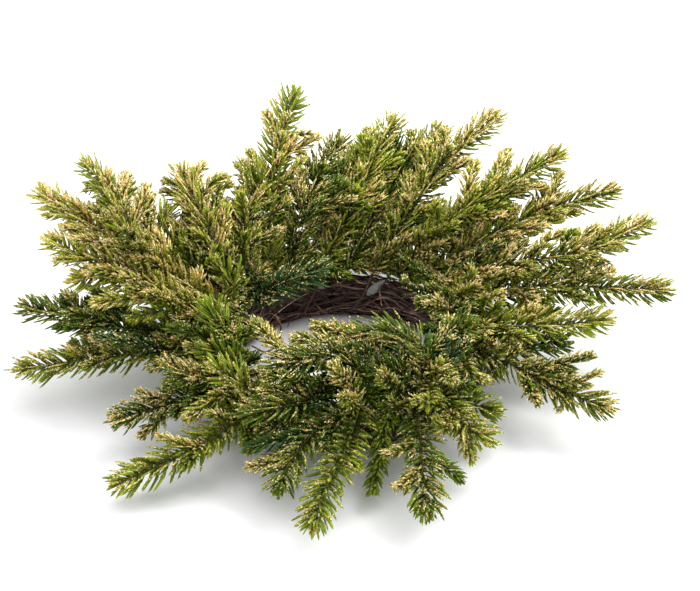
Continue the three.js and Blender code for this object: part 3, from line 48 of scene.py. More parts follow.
# The hue and gold of a branch also paint light and shade: high hues (dark blue-green) with little gold on branches
# lying inside the ring, as in sprays 24 to 26, are painted shade; low hues with much gold on sprays 05 and 06 are
# painted light.
# Sprays: the angle on the ring where the stem goes in, then each branch as
# (kind, hue from yellow-green 0 to blue-green 1, how much gold, x, y, z of the points of its axis).
# The first branch of a spray is its leader. m has long needles, l the longest, s short ones, w stands up from the ring.
SPRAYS = {
    "spray_01": (232, [
        ("m", 0.30, 0.42, -72.9, -112.1, 38.0, -109.0, -151.7, 34.0, -148.9, -181.3, 28.0, -195.6, -201.7, 17.0),
        ("s", 0.12, 0.85, -118.3, -158.6, 32.6, -127.6, -176.3, 40.0, -156.8, -167.3, 46.0),
        ("s", 0.15, 0.80, -102.2, -144.2, 34.8, -109.7, -148.1, 22.0, -119.5, -148.9, 12.0),
        ("s", 0.20, 0.75, -95.9, -137.4, 35.5, -102.2, -143.4, 48.0, -116.8, -150.5, 58.0),
        ("s", 0.35, 0.60, -85.5, -125.9, 36.6, -94.6, -120.1, 56.0, -134.3, -147.8, 50.0),
        ("m", 0.30, 0.60, -82.3, -122.4, 37.0, -78.9, -121.4, 60.0, -98.1, -111.5, 70.0, -117.9, -95.5, 74.0),
        ("s", 0.31, 0.28, -80.9, -120.9, 37.1, -77.8, -148.0, 35.1, -79.4, -175.1, 32.9),
        ("s", 0.29, 0.29, -122.3, -161.5, 32.0, -127.0, -179.1, 32.0, -134.2, -195.8, 31.6),
        ("s", 0.21, 0.16, -80.5, -121.9, 48.8, -70.9, -126.0, 59.4, -62.6, -129.2, 71.3),
        ("s", 0.31, 1.00, -80.0, -121.7, 52.3, -86.0, -115.9, 60.7, -90.5, -110.9, 70.4),
        ("s", 0.52, 0.28, -76.6, -116.2, 37.6, -69.6, -133.7, 31.8, -66.7, -152.5, 26.9),
        ("s", 0.38, 0.10, -80.3, -120.2, 37.2, -78.0, -138.5, 28.6, -79.3, -158.2, 23.8),
        ("s", 0.25, 0.22, -77.5, -117.2, 37.5, -74.8, -129.6, 47.1, -74.2, -143.0, 55.8),
        ("s", 0.21, 0.12, -75.2, -114.6, 37.7, -61.7, -116.7, 45.1, -48.0, -120.7, 51.0),
        ("s", 0.26, 0.30, -75.7, -115.2, 37.7, -93.2, -113.3, 35.7, -110.6, -115.3, 34.1),
        ("s", 0.34, 0.20, -80.2, -120.1, 37.2, -97.6, -122.2, 29.5, -115.4, -127.9, 25.3),
        ("s", 0.43, 0.17, -79.2, -119.0, 37.3, -92.6, -119.4, 45.8, -106.3, -122.1, 53.3),
        ("s", 0.16, 0.07, -75.0, -114.4, 37.8, -80.9, -100.7, 45.2, -88.8, -87.4, 51.1),
        ("s", 0.55, 0.19, -75.0, -114.4, 37.8, -71.1, -103.9, 48.3, -67.0, -92.7, 57.8),
    ]),
    "spray_02": (210, [
        ("m", 0.70, 0.62, -90.3, -71.9, 46.0, -124.7, -91.4, 42.0, -163.0, -110.7, 36.0, -203.2, -121.9, 30.0),
        ("s", 0.55, 0.92, -144.9, -101.6, 38.8, -165.2, -109.9, 46.0, -179.6, -109.4, 54.0),
        ("s", 0.60, 0.90, -147.1, -102.7, 38.5, -162.5, -122.3, 26.0, -175.8, -133.4, 20.0),
        ("m", 0.60, 0.85, -102.4, -78.8, 44.6, -111.6, -96.6, 56.0, -135.7, -97.8, 62.0, -159.4, -83.1, 66.0),
        ("m", 0.45, 0.60, -102.4, -78.8, 44.6, -92.8, -83.4, 62.0, -110.2, -79.3, 74.0, -127.5, -79.0, 80.0),
        ("s", 0.90, 0.38, -103.7, -79.5, 44.4, -108.5, -100.6, 43.6, -116.9, -120.6, 42.4),
        ("s", 0.73, 0.14, -111.6, -84.0, 43.5, -121.9, -108.3, 46.6, -135.4, -131.1, 48.4),
        ("s", 0.60, 0.28, -114.6, -85.7, 43.2, -136.6, -82.5, 44.6, -158.8, -82.4, 45.2),
        ("s", 0.73, 0.45, -123.6, -90.8, 42.1, -142.1, -85.9, 39.7, -161.2, -84.1, 37.2),
        ("s", 0.79, 0.28, -135.4, -96.8, 40.3, -139.0, -113.7, 40.0, -145.6, -129.6, 39.1),
        ("s", 0.58, 0.60, -107.2, -88.0, 50.5, -100.8, -100.6, 59.9, -97.0, -114.0, 69.6),
        ("s", 0.68, 0.99, -108.6, -90.8, 52.2, -120.0, -92.1, 60.2, -130.7, -95.7, 68.4),
        ("s", 0.63, 0.81, -116.2, -96.9, 57.2, -125.0, -86.4, 59.5, -135.6, -77.7, 62.3),
        ("s", 0.87, 0.93, -119.6, -97.0, 58.0, -125.0, -105.3, 61.9, -131.9, -112.4, 65.8),
        ("s", 0.49, 0.32, -96.8, -81.5, 54.8, -89.4, -74.0, 62.1, -81.9, -68.4, 70.7),
        ("s", 0.72, 0.35, -95.1, -82.3, 57.8, -96.3, -89.4, 65.0, -96.1, -95.8, 72.9),
        ("s", 0.80, 0.76, -95.7, -74.9, 45.4, -96.4, -96.2, 42.0, -101.8, -116.9, 39.2),
        ("s", 0.67, 0.11, -98.3, -76.4, 45.1, -102.9, -93.5, 37.8, -111.0, -110.4, 34.1),
        ("s", 0.91, 0.44, -95.4, -74.7, 45.4, -97.2, -85.6, 52.5, -100.9, -96.4, 58.8),
        ("s", 1.00, 0.99, -95.0, -74.5, 45.5, -80.4, -82.2, 52.4, -66.6, -92.1, 58.0),
        ("s", 0.91, 0.94, -95.9, -75.0, 45.4, -109.6, -63.2, 41.0, -125.9, -55.3, 37.1),
        ("s", 0.82, 0.98, -98.6, -76.6, 45.0, -120.1, -70.8, 40.2, -142.7, -68.9, 39.0),
        ("s", 0.88, 0.13, -95.5, -74.8, 45.4, -108.5, -70.0, 53.8, -122.6, -67.2, 61.2),
        ("s", 0.73, 0.43, -94.5, -74.3, 45.5, -93.6, -57.2, 52.8, -95.2, -39.6, 58.7),
        ("s", 0.82, 0.23, -93.0, -73.4, 45.7, -82.1, -68.9, 54.7, -70.6, -64.1, 62.7),
    ]),
    "spray_03": (192, [
        ("m", 0.42, 0.60, -115.7, -34.0, 46.0, -172.7, -41.9, 50.0, -244.3, -49.2, 44.0, -295.2, -50.1, 36.0),
        ("s", 0.50, 0.75, -223.4, -47.1, 45.7, -225.6, -48.0, 56.0, -245.6, -42.4, 62.0),
        ("s", 0.95, 0.30, -155.1, -39.5, 48.8, -186.9, -66.3, 74.0, -220.5, -62.5, 80.0),
        ("s", 0.60, 0.12, -129.5, -35.9, 47.0, -120.1, -68.9, 84.0, -153.0, -78.0, 98.0),
        ("s", 0.40, 0.90, -130.0, -36.0, 47.0, -111.7, -69.7, 72.0, -138.0, -79.0, 80.0),
        ("m", 0.42, 0.40, -129.5, -35.9, 47.0, -97.6, -57.0, 66.0, -110.3, -42.3, 82.0, -124.4, -24.2, 94.0),
        ("s", 0.34, 0.48, -142.0, -37.7, 47.8, -155.8, -54.7, 47.6, -172.0, -69.4, 47.7),
        ("s", 0.28, 0.98, -145.4, -38.1, 48.1, -161.6, -25.7, 48.5, -179.6, -16.0, 49.1),
        ("s", 0.36, 0.90, -147.9, -38.5, 48.3, -157.7, -37.1, 58.0, -169.5, -36.7, 65.4),
        ("s", 0.23, 0.26, -155.4, -39.5, 48.8, -174.2, -27.9, 48.1, -194.5, -19.0, 47.8),
        ("s", 0.05, 0.42, -176.4, -42.3, 49.7, -188.3, -40.8, 58.5, -201.9, -40.2, 64.6),
        ("s", 0.51, 0.43, -199.1, -44.6, 47.8, -213.4, -59.3, 50.9, -229.7, -71.8, 53.0),
        ("s", 0.31, 1.09, -202.6, -45.0, 47.5, -218.5, -29.9, 50.8, -237.1, -17.8, 53.1),
        ("s", 0.28, 1.00, -205.0, -45.2, 47.3, -214.4, -42.5, 58.2, -226.5, -41.0, 66.1),
        ("s", 0.33, 0.43, -212.1, -45.9, 46.7, -229.3, -31.6, 46.3, -248.7, -20.3, 45.6),
        ("s", 0.31, 1.15, -120.5, -41.8, 52.3, -100.4, -34.9, 57.1, -79.7, -31.5, 63.4),
        ("s", 0.56, 1.15, -117.9, -43.6, 53.9, -116.6, -58.9, 62.4, -112.4, -73.5, 71.2),
        ("s", 0.48, 0.98, -108.5, -49.8, 59.5, -105.8, -64.0, 62.8, -101.0, -77.5, 67.0),
        ("s", 0.55, 0.36, -105.9, -51.5, 61.0, -94.7, -48.6, 69.5, -83.0, -47.8, 77.8),
        ("s", 0.50, 1.04, -104.0, -52.7, 62.1, -100.0, -52.1, 73.0, -94.0, -53.6, 82.9),
        ("s", 0.36, 0.19, -99.0, -56.0, 65.1, -85.5, -51.0, 71.5, -71.8, -48.3, 79.0),
        ("s", 0.40, 0.22, -98.3, -56.1, 67.0, -97.8, -65.8, 73.3, -95.5, -75.0, 80.1),
        ("s", 0.43, 0.24, -119.4, -34.5, 46.3, -122.5, -55.1, 39.5, -131.0, -74.4, 33.6),
        ("s", 0.41, 0.17, -124.6, -35.2, 46.6, -135.5, -52.0, 40.1, -149.7, -67.1, 37.2),
        ("s", 0.32, 0.50, -123.6, -35.1, 46.6, -129.7, -46.7, 51.9, -137.6, -57.5, 56.7),
        ("s", 0.40, 0.27, -121.1, -34.8, 46.4, -109.9, -46.2, 55.5, -99.9, -59.7, 62.9),
        ("s", 0.32, 1.15, -121.6, -34.8, 46.4, -132.6, -18.1, 45.8, -147.3, -4.6, 45.3),
        ("s", 0.38, 0.47, -126.1, -35.5, 46.7, -144.3, -23.7, 36.8, -165.7, -14.9, 31.4),
        ("s", 0.43, 0.32, -124.6, -35.2, 46.6, -135.2, -26.8, 55.5, -147.6, -20.0, 63.4),
        ("s", 0.22, 0.45, -120.7, -34.7, 46.4, -117.0, -21.1, 54.0, -114.9, -6.4, 60.1),
        ("s", 0.30, 1.11, -120.8, -34.7, 46.4, -112.1, -28.7, 56.0, -102.7, -22.3, 64.8),
    ]),
    "spray_04": (182, [
        ("m", 0.66, 0.36, -118.3, -18.3, 50.0, -173.1, -30.6, 62.0, -237.7, -14.5, 68.0, -297.6, 10.0, 68.0),
        ("s", 0.45, 0.80, -230.8, -16.2, 67.4, -241.2, -8.0, 80.0, -255.5, 1.6, 88.0),
        ("s", 0.60, 0.30, -194.3, -25.3, 64.0, -225.0, -25.8, 76.0, -252.0, -23.7, 80.0),
        ("s", 0.35, 0.25, -154.4, -26.4, 57.9, -158.6, -28.5, 84.0, -189.9, -51.7, 92.0),
        ("s", 0.20, 0.70, -143.5, -24.0, 55.5, -159.6, -14.3, 88.0, -193.8, -27.4, 98.0, -223.6, -39.3, 100.0),
        ("s", 0.75, 0.10, -199.8, -23.9, 64.5, -217.1, 8.9, 74.0, -235.7, 33.8, 72.0),
        ("m", 0.46, 0.50, -131.7, -21.3, 52.9, -108.4, -19.3, 72.0, -128.0, -14.3, 88.0),
        ("s", 0.70, 0.30, -139.9, -23.1, 54.7, -130.0, -46.3, 74.0, -147.3, -49.0, 82.0),
        ("s", 0.63, 0.91, -148.2, -25.0, 56.6, -155.2, -25.7, 70.5, -165.6, -27.4, 82.2),
        ("s", 0.74, 1.02, -159.4, -27.5, 59.0, -174.8, -17.1, 61.2, -191.6, -9.4, 63.9),
        ("s", 0.96, 0.17, -170.2, -29.9, 61.4, -190.5, -14.6, 67.9, -213.3, -3.2, 74.6),
        ("s", 0.78, 0.19, -173.5, -30.4, 62.0, -183.8, -50.0, 68.6, -197.5, -67.3, 75.1),
        ("s", 0.91, 0.18, -175.9, -29.8, 62.3, -182.7, -29.8, 73.7, -192.3, -28.6, 82.9),
        ("s", 0.79, 0.23, -188.3, -26.8, 63.4, -196.8, -8.9, 68.8, -208.5, 7.2, 73.7),
        ("s", 0.71, 0.20, -206.6, -22.2, 65.1, -214.0, -19.6, 77.1, -224.3, -16.4, 86.5),
        ("s", 0.67, 0.15, -213.1, -20.6, 65.7, -231.0, -30.3, 68.3, -250.1, -37.1, 70.9),
        ("s", 0.82, 0.16, -216.5, -19.8, 66.0, -224.7, -4.9, 71.9, -235.5, 8.5, 77.2),
        ("s", 0.69, 0.14, -232.5, -15.8, 67.5, -245.7, -24.5, 67.1, -260.2, -30.9, 67.0),
        ("s", 0.76, 0.18, -234.9, -15.2, 67.7, -244.8, -13.8, 79.1, -256.9, -11.5, 88.0),
        ("s", 0.43, 0.33, -122.4, -20.5, 60.5, -114.3, -28.2, 66.8, -105.5, -34.2, 73.7),
        ("s", 0.23, 0.97, -119.7, -20.3, 62.7, -115.2, -11.1, 68.1, -109.3, -3.3, 74.2),
        ("s", 0.94, 0.21, -122.6, -19.3, 50.9, -131.0, -36.1, 46.2, -143.2, -50.6, 42.1),
        ("s", 0.56, 0.79, -130.5, -21.0, 52.7, -143.1, -34.5, 45.4, -158.8, -46.1, 41.7),
        ("s", 0.62, 0.87, -126.8, -20.2, 51.9, -133.9, -29.4, 59.5, -142.8, -37.8, 66.4),
        ("s", 0.81, 0.15, -122.6, -19.3, 50.9, -113.5, -33.5, 59.3, -106.1, -49.5, 66.0),
        ("s", 0.78, 0.10, -122.8, -19.3, 51.0, -131.6, -3.1, 45.5, -144.1, 10.7, 40.7),
        ("s", 0.65, 0.83, -126.8, -20.2, 51.9, -142.9, -5.1, 43.1, -162.6, 7.4, 38.6),
        ("s", 0.59, 0.85, -125.3, -19.9, 51.5, -134.8, -9.3, 57.1, -145.9, 0.0, 62.0),
        ("s", 0.61, 1.02, -121.7, -19.1, 50.7, -113.7, -4.0, 59.3, -107.5, 12.7, 66.2),
        ("s", 0.91, 0.12, -123.1, -19.4, 51.0, -112.5, -14.9, 60.7, -101.3, -10.1, 69.4),
    ]),
    "spray_05": (171, [
        ("m", 0.08, 0.95, -113.9, 2.9, 54.0, -173.9, -3.4, 92.0, -219.2, 2.9, 102.0, -249.1, -4.3, 102.0),
        ("m", 0.05, 1.00, -141.5, 0.0, 71.5, -182.7, 1.3, 104.0, -232.9, 13.2, 118.0, -274.1, 34.2, 126.0),
        ("s", 0.20, 0.85, -222.4, 10.7, 115.1, -244.6, 11.3, 116.0, -262.6, 9.3, 114.0),
        ("s", 0.05, 1.00, -205.1, 6.6, 110.3, -229.6, 28.6, 126.0, -248.6, 38.4, 132.0),
        ("s", 0.05, 1.00, -177.5, 1.1, 99.9, -202.1, 24.6, 122.0, -215.0, 32.8, 132.0),
        ("s", 0.20, 0.70, -164.0, -2.3, 85.8, -190.6, 12.7, 112.0, -203.1, 15.1, 118.0),
        ("s", 0.00, 0.93, -124.0, 1.9, 60.4, -137.3, -14.4, 67.1, -152.5, -28.1, 75.2),
        ("s", 0.23, 0.96, -127.0, 1.5, 62.3, -139.0, 16.2, 73.1, -153.3, 27.9, 84.7),
        ("s", 0.24, 0.61, -139.0, 0.3, 69.9, -149.5, -13.8, 81.9, -162.0, -25.7, 94.3),
        ("s", 0.10, 1.10, -141.1, 0.1, 71.3, -141.5, -1.8, 82.5, -145.0, -3.5, 93.2),
        ("s", 0.10, 0.89, -147.7, -0.6, 75.4, -158.9, -19.7, 91.8, -173.4, -35.9, 108.6),
        ("s", 0.12, 0.78, -161.6, -2.1, 84.2, -174.1, -17.4, 91.6, -188.4, -30.4, 100.2),
        ("s", 0.28, 0.42, -163.7, -2.3, 85.5, -166.6, 1.8, 96.8, -172.3, 4.4, 107.5),
        ("s", 0.23, 0.39, -169.1, -2.9, 89.0, -180.0, -16.7, 99.4, -192.7, -28.4, 110.3),
        ("s", 0.16, 0.54, -150.9, 0.3, 78.9, -162.9, -16.3, 90.1, -177.1, -30.0, 102.7),
        ("s", 0.15, 0.82, -153.6, 0.4, 81.1, -164.1, 17.1, 90.8, -176.7, 31.1, 102.0),
        ("s", 0.12, 0.53, -161.2, 0.6, 87.0, -175.7, 21.7, 97.8, -192.8, 39.3, 110.7),
        ("s", 0.12, 1.06, -163.9, 0.7, 89.2, -177.5, -15.1, 99.5, -192.8, -28.0, 111.3),
        ("s", 0.00, 1.11, -165.9, 0.8, 90.7, -167.2, -2.3, 101.6, -171.1, -4.4, 112.0),
        ("s", 0.03, 1.08, -173.5, 1.0, 96.7, -185.2, -15.2, 108.3, -199.0, -28.5, 121.2),
        ("s", 0.02, 0.94, -189.0, 2.8, 105.7, -206.9, -6.7, 112.8, -226.2, -13.4, 119.8),
        ("s", 0.06, 1.12, -191.3, 3.3, 106.4, -197.6, 3.0, 119.8, -207.1, 3.9, 131.1),
        ("s", 0.03, 1.17, -198.7, 5.1, 108.5, -214.0, -7.5, 112.0, -231.2, -16.9, 116.2),
        ("s", 0.04, 1.20, -118.4, 2.4, 56.8, -131.8, -12.4, 54.1, -148.1, -24.2, 51.8),
        ("s", 0.00, 1.20, -123.1, 1.9, 59.8, -139.9, -10.2, 54.9, -159.0, -19.5, 53.5),
        ("s", 0.27, 1.20, -118.8, 2.4, 57.1, -129.7, -7.2, 66.1, -142.5, -15.2, 74.2),
        ("s", 0.23, 1.07, -117.5, 2.5, 56.2, -111.0, -11.9, 65.7, -106.5, -28.1, 73.4),
        ("s", 0.09, 0.93, -119.6, 2.3, 57.6, -122.9, 19.2, 52.8, -130.5, 34.9, 48.7),
        ("s", 0.16, 0.38, -122.1, 2.1, 59.2, -133.3, 17.6, 51.0, -148.1, 31.5, 46.7),
        ("s", 0.16, 1.08, -120.2, 2.3, 58.0, -127.6, 14.7, 66.4, -137.1, 26.2, 73.9),
        ("s", 0.12, 0.34, -118.9, 2.4, 57.2, -111.1, 14.2, 65.8, -104.2, 27.5, 72.7),
        ("s", 0.00, 1.08, -116.9, 2.6, 55.9, -106.1, 1.3, 65.6, -94.7, -0.1, 74.5),
    ]),
    "spray_06": (161, [
        ("m", 0.00, 1.15, -111.5, 23.8, 52.0, -162.4, 26.0, 98.0, -212.1, 36.0, 126.0, -253.1, 63.7, 138.0, -287.0, 91.8, 144.0),
        ("s", 0.12, 0.90, -231.7, 49.3, 131.7, -255.3, 63.2, 132.0, -275.4, 66.8, 130.0),
        ("m", 0.25, 0.80, -160.9, 25.9, 96.6, -187.4, 17.6, 128.0, -201.6, 35.8, 148.0, -221.4, 81.2, 158.0, -243.7, 110.3, 166.0),
        ("s", 0.35, 0.85, -199.3, 32.8, 144.7, -201.2, 57.8, 162.0, -198.4, 80.0, 168.0),
        ("s", 0.95, 0.10, -203.4, 39.9, 148.9, -218.6, 76.6, 150.0, -235.2, 92.5, 150.0),
        ("s", 0.35, 0.80, -215.9, 68.8, 155.3, -232.6, 84.3, 148.0, -241.7, 87.9, 144.0),
        ("s", 0.60, 0.70, -172.0, 27.9, 103.4, -181.6, 48.6, 120.0, -177.3, 68.4, 146.0, -175.6, 72.6, 150.0),
        ("m", 0.42, 0.40, -121.9, 24.2, 61.4, -97.9, 22.7, 70.0, -111.0, 35.8, 88.0, -120.4, 44.4, 98.0),
        ("s", 0.20, 0.70, -134.5, 24.8, 72.8, -154.1, 43.2, 88.0, -177.5, 40.4, 96.0),
        ("s", 0.02, 1.20, -123.0, 24.3, 62.4, -133.6, 12.2, 73.5, -145.6, 2.6, 85.5),
        ("s", 0.00, 1.20, -129.4, 24.5, 68.2, -141.9, 7.5, 78.4, -156.3, -6.6, 90.5),
        ("s", 0.00, 1.17, -133.8, 24.7, 72.2, -131.7, 29.6, 83.6, -133.2, 33.4, 95.4),
        ("s", 0.11, 0.80, -142.9, 25.1, 80.4, -154.6, 8.7, 88.6, -168.2, -4.9, 98.9),
        ("s", 0.00, 1.11, -152.1, 25.5, 88.7, -162.7, 9.9, 106.5, -175.8, -2.7, 125.0),
        ("s", 0.02, 1.11, -154.7, 25.6, 91.1, -163.3, 40.3, 107.6, -174.4, 52.4, 124.8),
        ("s", 0.00, 1.20, -156.6, 25.7, 92.7, -156.2, 26.6, 107.4, -159.6, 27.3, 121.7),
        ("s", 0.10, 0.63, -167.4, 27.0, 100.9, -178.9, 13.8, 111.9, -192.5, 3.5, 123.5),
        ("s", 0.00, 1.20, -178.0, 29.1, 106.8, -194.8, 13.9, 122.6, -214.1, 2.5, 138.7),
        ("s", 0.01, 1.13, -183.1, 30.2, 109.7, -185.8, 30.1, 122.3, -191.6, 30.8, 133.9),
        ("s", 0.00, 1.16, -191.7, 31.9, 114.5, -199.8, 52.0, 127.2, -211.6, 69.6, 140.5),
        ("s", 0.00, 1.20, -194.7, 32.5, 116.2, -208.7, 20.0, 123.2, -224.3, 10.4, 131.4),
        ("s", 0.00, 1.09, -202.4, 34.1, 120.5, -220.9, 18.0, 128.9, -241.5, 5.6, 138.8),
        ("s", 0.00, 1.20, -205.4, 34.7, 122.2, -216.2, 51.5, 130.5, -229.2, 66.1, 139.7),
        ("s", 0.00, 1.17, -207.5, 35.1, 123.4, -210.5, 29.6, 138.0, -217.4, 26.3, 151.8),
        ("s", 0.10, 0.45, -216.6, 39.1, 127.3, -218.4, 57.4, 136.1, -223.7, 75.1, 144.5),
        ("s", 0.00, 1.08, -219.5, 41.0, 128.1, -237.6, 36.2, 131.6, -256.3, 34.6, 135.4),
        ("s", 0.07, 1.09, -230.9, 48.7, 131.5, -234.3, 62.3, 134.3, -239.7, 75.2, 137.4),
        ("s", 0.02, 1.17, -232.9, 50.1, 132.1, -240.4, 50.7, 144.5, -250.0, 53.7, 155.0),
        ("s", 0.19, 1.09, -168.4, 23.5, 105.6, -175.9, 5.8, 116.1, -185.2, -9.7, 128.4),
        ("s", 0.45, 0.54, -170.7, 22.9, 108.2, -186.4, 32.5, 120.1, -202.3, 39.4, 133.5),
        ("s", 0.34, 0.41, -176.9, 20.9, 115.6, -192.0, 36.6, 130.9, -208.3, 48.5, 148.2),
        ("s", 0.36, 0.64, -179.1, 20.2, 118.2, -179.2, 2.9, 131.2, -182.5, -12.6, 146.0),
        ("s", 0.32, 0.81, -180.7, 19.7, 120.1, -176.5, 16.1, 130.3, -175.7, 12.5, 141.4),
        ("s", 0.57, 0.49, -185.6, 18.2, 125.9, -189.2, 3.2, 142.2, -195.4, -9.9, 159.4),
        ("s", 0.04, 1.20, -187.7, 18.1, 128.5, -199.5, 29.3, 141.2, -212.2, 37.6, 155.1),
        ("s", 0.27, 1.18, -193.5, 25.4, 136.6, -183.7, 42.7, 151.2, -178.2, 60.5, 167.3),
        ("s", 0.43, 0.68, -195.1, 27.5, 138.9, -214.1, 30.1, 148.0, -231.8, 35.0, 158.5),
        ("s", 0.33, 0.88, -196.3, 29.0, 140.5, -196.1, 28.8, 153.7, -198.0, 31.3, 166.5),
        ("s", 0.21, 0.37, -206.8, 47.8, 150.7, -199.2, 66.0, 152.8, -194.7, 85.1, 155.4),
        ("s", 0.27, 1.10, -209.2, 53.2, 151.8, -213.1, 61.4, 164.9, -218.1, 72.1, 175.5),
        ("s", 0.46, 0.43, -110.6, 23.5, 65.4, -101.5, 14.3, 70.5, -91.1, 6.7, 75.6),
        ("s", 0.58, 0.43, -107.3, 23.3, 66.6, -98.7, 31.1, 73.1, -88.7, 37.4, 79.5),
        ("s", 0.00, 1.20, -114.6, 23.9, 54.8, -129.9, 11.0, 50.0, -147.9, 1.8, 46.0),
        ("s", 0.01, 1.20, -117.6, 24.0, 57.5, -136.2, 15.0, 52.7, -156.6, 9.2, 51.2),
        ("s", 0.05, 1.18, -116.2, 24.0, 56.2, -126.0, 18.0, 63.4, -137.0, 13.5, 69.7),
        ("s", 0.00, 1.11, -115.7, 24.0, 55.8, -114.3, 10.5, 64.4, -114.4, -3.9, 71.3),
        ("s", 0.06, 1.20, -114.3, 23.9, 54.5, -116.7, 40.9, 50.3, -123.0, 56.9, 46.7),
        ("s", 0.05, 1.15, -118.0, 24.1, 57.8, -125.7, 39.9, 49.3, -137.1, 55.1, 44.6),
        ("s", 0.10, 0.65, -116.8, 24.0, 56.8, -121.1, 35.5, 63.5, -127.4, 46.5, 69.5),
        ("s", 0.11, 0.73, -114.8, 23.9, 54.9, -104.6, 34.3, 62.9, -95.2, 46.3, 69.3),
        ("s", 0.10, 0.44, -115.7, 24.0, 55.8, -106.6, 19.2, 63.3, -97.0, 14.3, 69.9),
    ]),
    "spray_07": (151, [
        ("m", 0.60, 0.30, -108.6, 38.1, 52.0, -132.5, 47.4, 78.0, -135.3, 59.3, 98.0, -132.3, 78.0, 110.0),
        ("m", 0.20, 0.50, -130.1, 46.5, 75.5, -154.5, 55.8, 100.0, -170.1, 72.8, 114.0, -164.7, 103.1, 122.0),
        ("s", 0.15, 0.55, -132.5, 47.7, 78.5, -119.3, 40.4, 96.0, -118.9, 56.6, 106.0),
        ("s", 0.15, 0.70, -149.4, 53.9, 94.9, -168.5, 44.4, 98.0, -187.4, 52.6, 104.0),
        ("s", 0.75, 0.55, -161.1, 63.1, 106.0, -147.2, 80.7, 116.0, -147.0, 93.0, 120.0),
        ("s", 0.15, 0.50, -117.7, 41.7, 62.0, -147.0, -4.3, 82.0, -160.1, 5.5, 92.0),
        ("s", 0.63, 0.53, -118.7, 42.0, 63.0, -122.5, 52.7, 70.0, -127.6, 62.2, 77.8),
        ("s", 0.81, 0.04, -128.1, 45.7, 73.2, -134.3, 38.9, 80.1, -141.3, 34.0, 87.9),
        ("s", 0.74, 0.54, -129.7, 46.3, 75.0, -128.1, 44.6, 90.1, -130.3, 44.6, 105.3),
        ("s", 0.55, 0.12, -138.3, 49.6, 83.7, -149.8, 39.4, 98.7, -162.6, 32.2, 114.4),
        ("s", 0.72, 0.14, -140.7, 50.5, 86.1, -144.2, 64.7, 97.7, -149.9, 77.5, 110.2),
        ("s", 0.37, 0.58, -148.4, 53.5, 93.9, -150.0, 66.0, 105.5, -153.9, 77.2, 117.8),
        ("s", 0.37, 0.15, -152.5, 55.1, 98.0, -148.8, 58.6, 107.9, -148.7, 62.5, 118.4),
        ("s", 0.32, 0.50, -157.4, 59.0, 102.6, -169.4, 58.6, 106.8, -181.1, 60.2, 111.8),
        ("s", 0.59, 0.13, -113.0, 39.8, 56.8, -126.4, 29.7, 54.2, -141.9, 23.0, 52.0),
        ("s", 0.83, 0.06, -116.6, 41.2, 60.8, -134.9, 36.0, 55.4, -154.5, 34.0, 53.4),
        ("s", 0.87, 0.04, -112.1, 39.5, 55.9, -126.5, 33.9, 62.5, -141.8, 30.4, 68.3),
        ("s", 0.69, 0.13, -111.1, 39.1, 54.8, -109.7, 26.1, 62.7, -110.4, 12.2, 69.1),
        ("s", 0.79, 0.11, -112.5, 39.6, 56.3, -109.5, 59.3, 55.4, -111.3, 79.1, 54.6),
        ("s", 0.72, 0.51, -114.0, 40.2, 57.9, -119.1, 58.0, 53.0, -127.5, 75.2, 51.3),
        ("s", 0.91, 0.52, -113.9, 40.2, 57.8, -115.9, 50.5, 65.6, -119.7, 60.8, 72.6),
        ("s", 0.85, 0.53, -111.6, 39.3, 55.3, -98.6, 45.4, 63.3, -86.1, 54.0, 69.8),
        ("s", 0.76, 0.09, -111.7, 39.3, 55.4, -100.9, 37.8, 64.0, -89.3, 36.2, 71.7),
    ]),
    "spray_08": (141, [
        ("m", 0.10, 1.10, -100.1, 56.6, 54.0, -120.0, 68.8, 98.0, -137.5, 95.7, 126.0, -157.8, 148.9, 142.0),
        ("s", 0.30, 0.80, -142.2, 108.0, 129.7, -159.6, 119.1, 136.0, -172.9, 121.4, 138.0),
        ("s", 0.30, 0.90, -141.2, 105.3, 128.9, -139.7, 124.0, 142.0, -131.3, 143.5, 148.0),
        ("s", 0.25, 0.50, -125.7, 77.6, 107.1, -120.4, 89.1, 120.0, -117.7, 114.5, 132.0, -102.6, 119.4, 138.0),
        ("s", 0.20, 0.70, -133.8, 90.0, 120.0, -129.1, 103.2, 138.0, -108.6, 128.1, 142.0),
        ("s", 0.65, 0.70, -112.2, 64.0, 80.8, -103.5, 68.7, 84.0, -109.0, 80.0, 110.0),
        ("s", 0.40, 0.75, -136.9, 94.8, 125.0, -158.3, 110.0, 128.0, -174.3, 120.0, 128.0),
        ("m", 0.50, 0.30, -107.3, 61.1, 70.1, -125.6, 143.2, 66.0, -152.5, 218.7, 62.0),
        ("s", 0.00, 0.62, -106.3, 60.4, 67.7, -115.6, 49.0, 82.2, -125.2, 40.8, 98.5),
        ("s", 0.25, 0.50, -110.4, 63.0, 76.9, -129.7, 53.1, 94.3, -148.1, 46.5, 114.0),
        ("s", 0.00, 0.33, -112.8, 64.4, 82.2, -108.8, 62.1, 92.6, -107.3, 61.2, 103.9),
        ("s", 0.00, 0.97, -117.0, 67.0, 91.5, -112.1, 81.0, 109.5, -110.2, 93.7, 128.9),
        ("s", 0.00, 0.86, -118.4, 67.9, 94.6, -128.9, 58.5, 108.4, -139.3, 51.9, 123.8),
        ("s", 0.00, 1.20, -122.7, 72.9, 102.3, -144.0, 73.1, 110.0, -164.0, 76.6, 120.0),
        ("s", 0.00, 0.34, -125.1, 76.7, 106.2, -125.1, 77.7, 118.8, -126.8, 81.1, 130.8),
        ("s", 0.00, 0.96, -129.6, 83.6, 113.4, -143.3, 82.9, 125.4, -156.3, 85.0, 138.1),
        ("s", 0.45, 0.33, -109.9, 72.8, 69.5, -93.6, 94.9, 66.0, -81.4, 119.6, 62.8),
        ("s", 0.53, 0.17, -110.7, 76.2, 69.3, -130.1, 86.5, 73.7, -147.6, 100.2, 77.2),
        ("s", 0.34, 0.34, -112.7, 85.0, 68.9, -134.1, 95.3, 70.9, -153.2, 109.4, 72.3),
        ("s", 0.48, 0.17, -113.4, 88.4, 68.7, -98.5, 107.3, 68.8, -87.3, 128.6, 68.5),
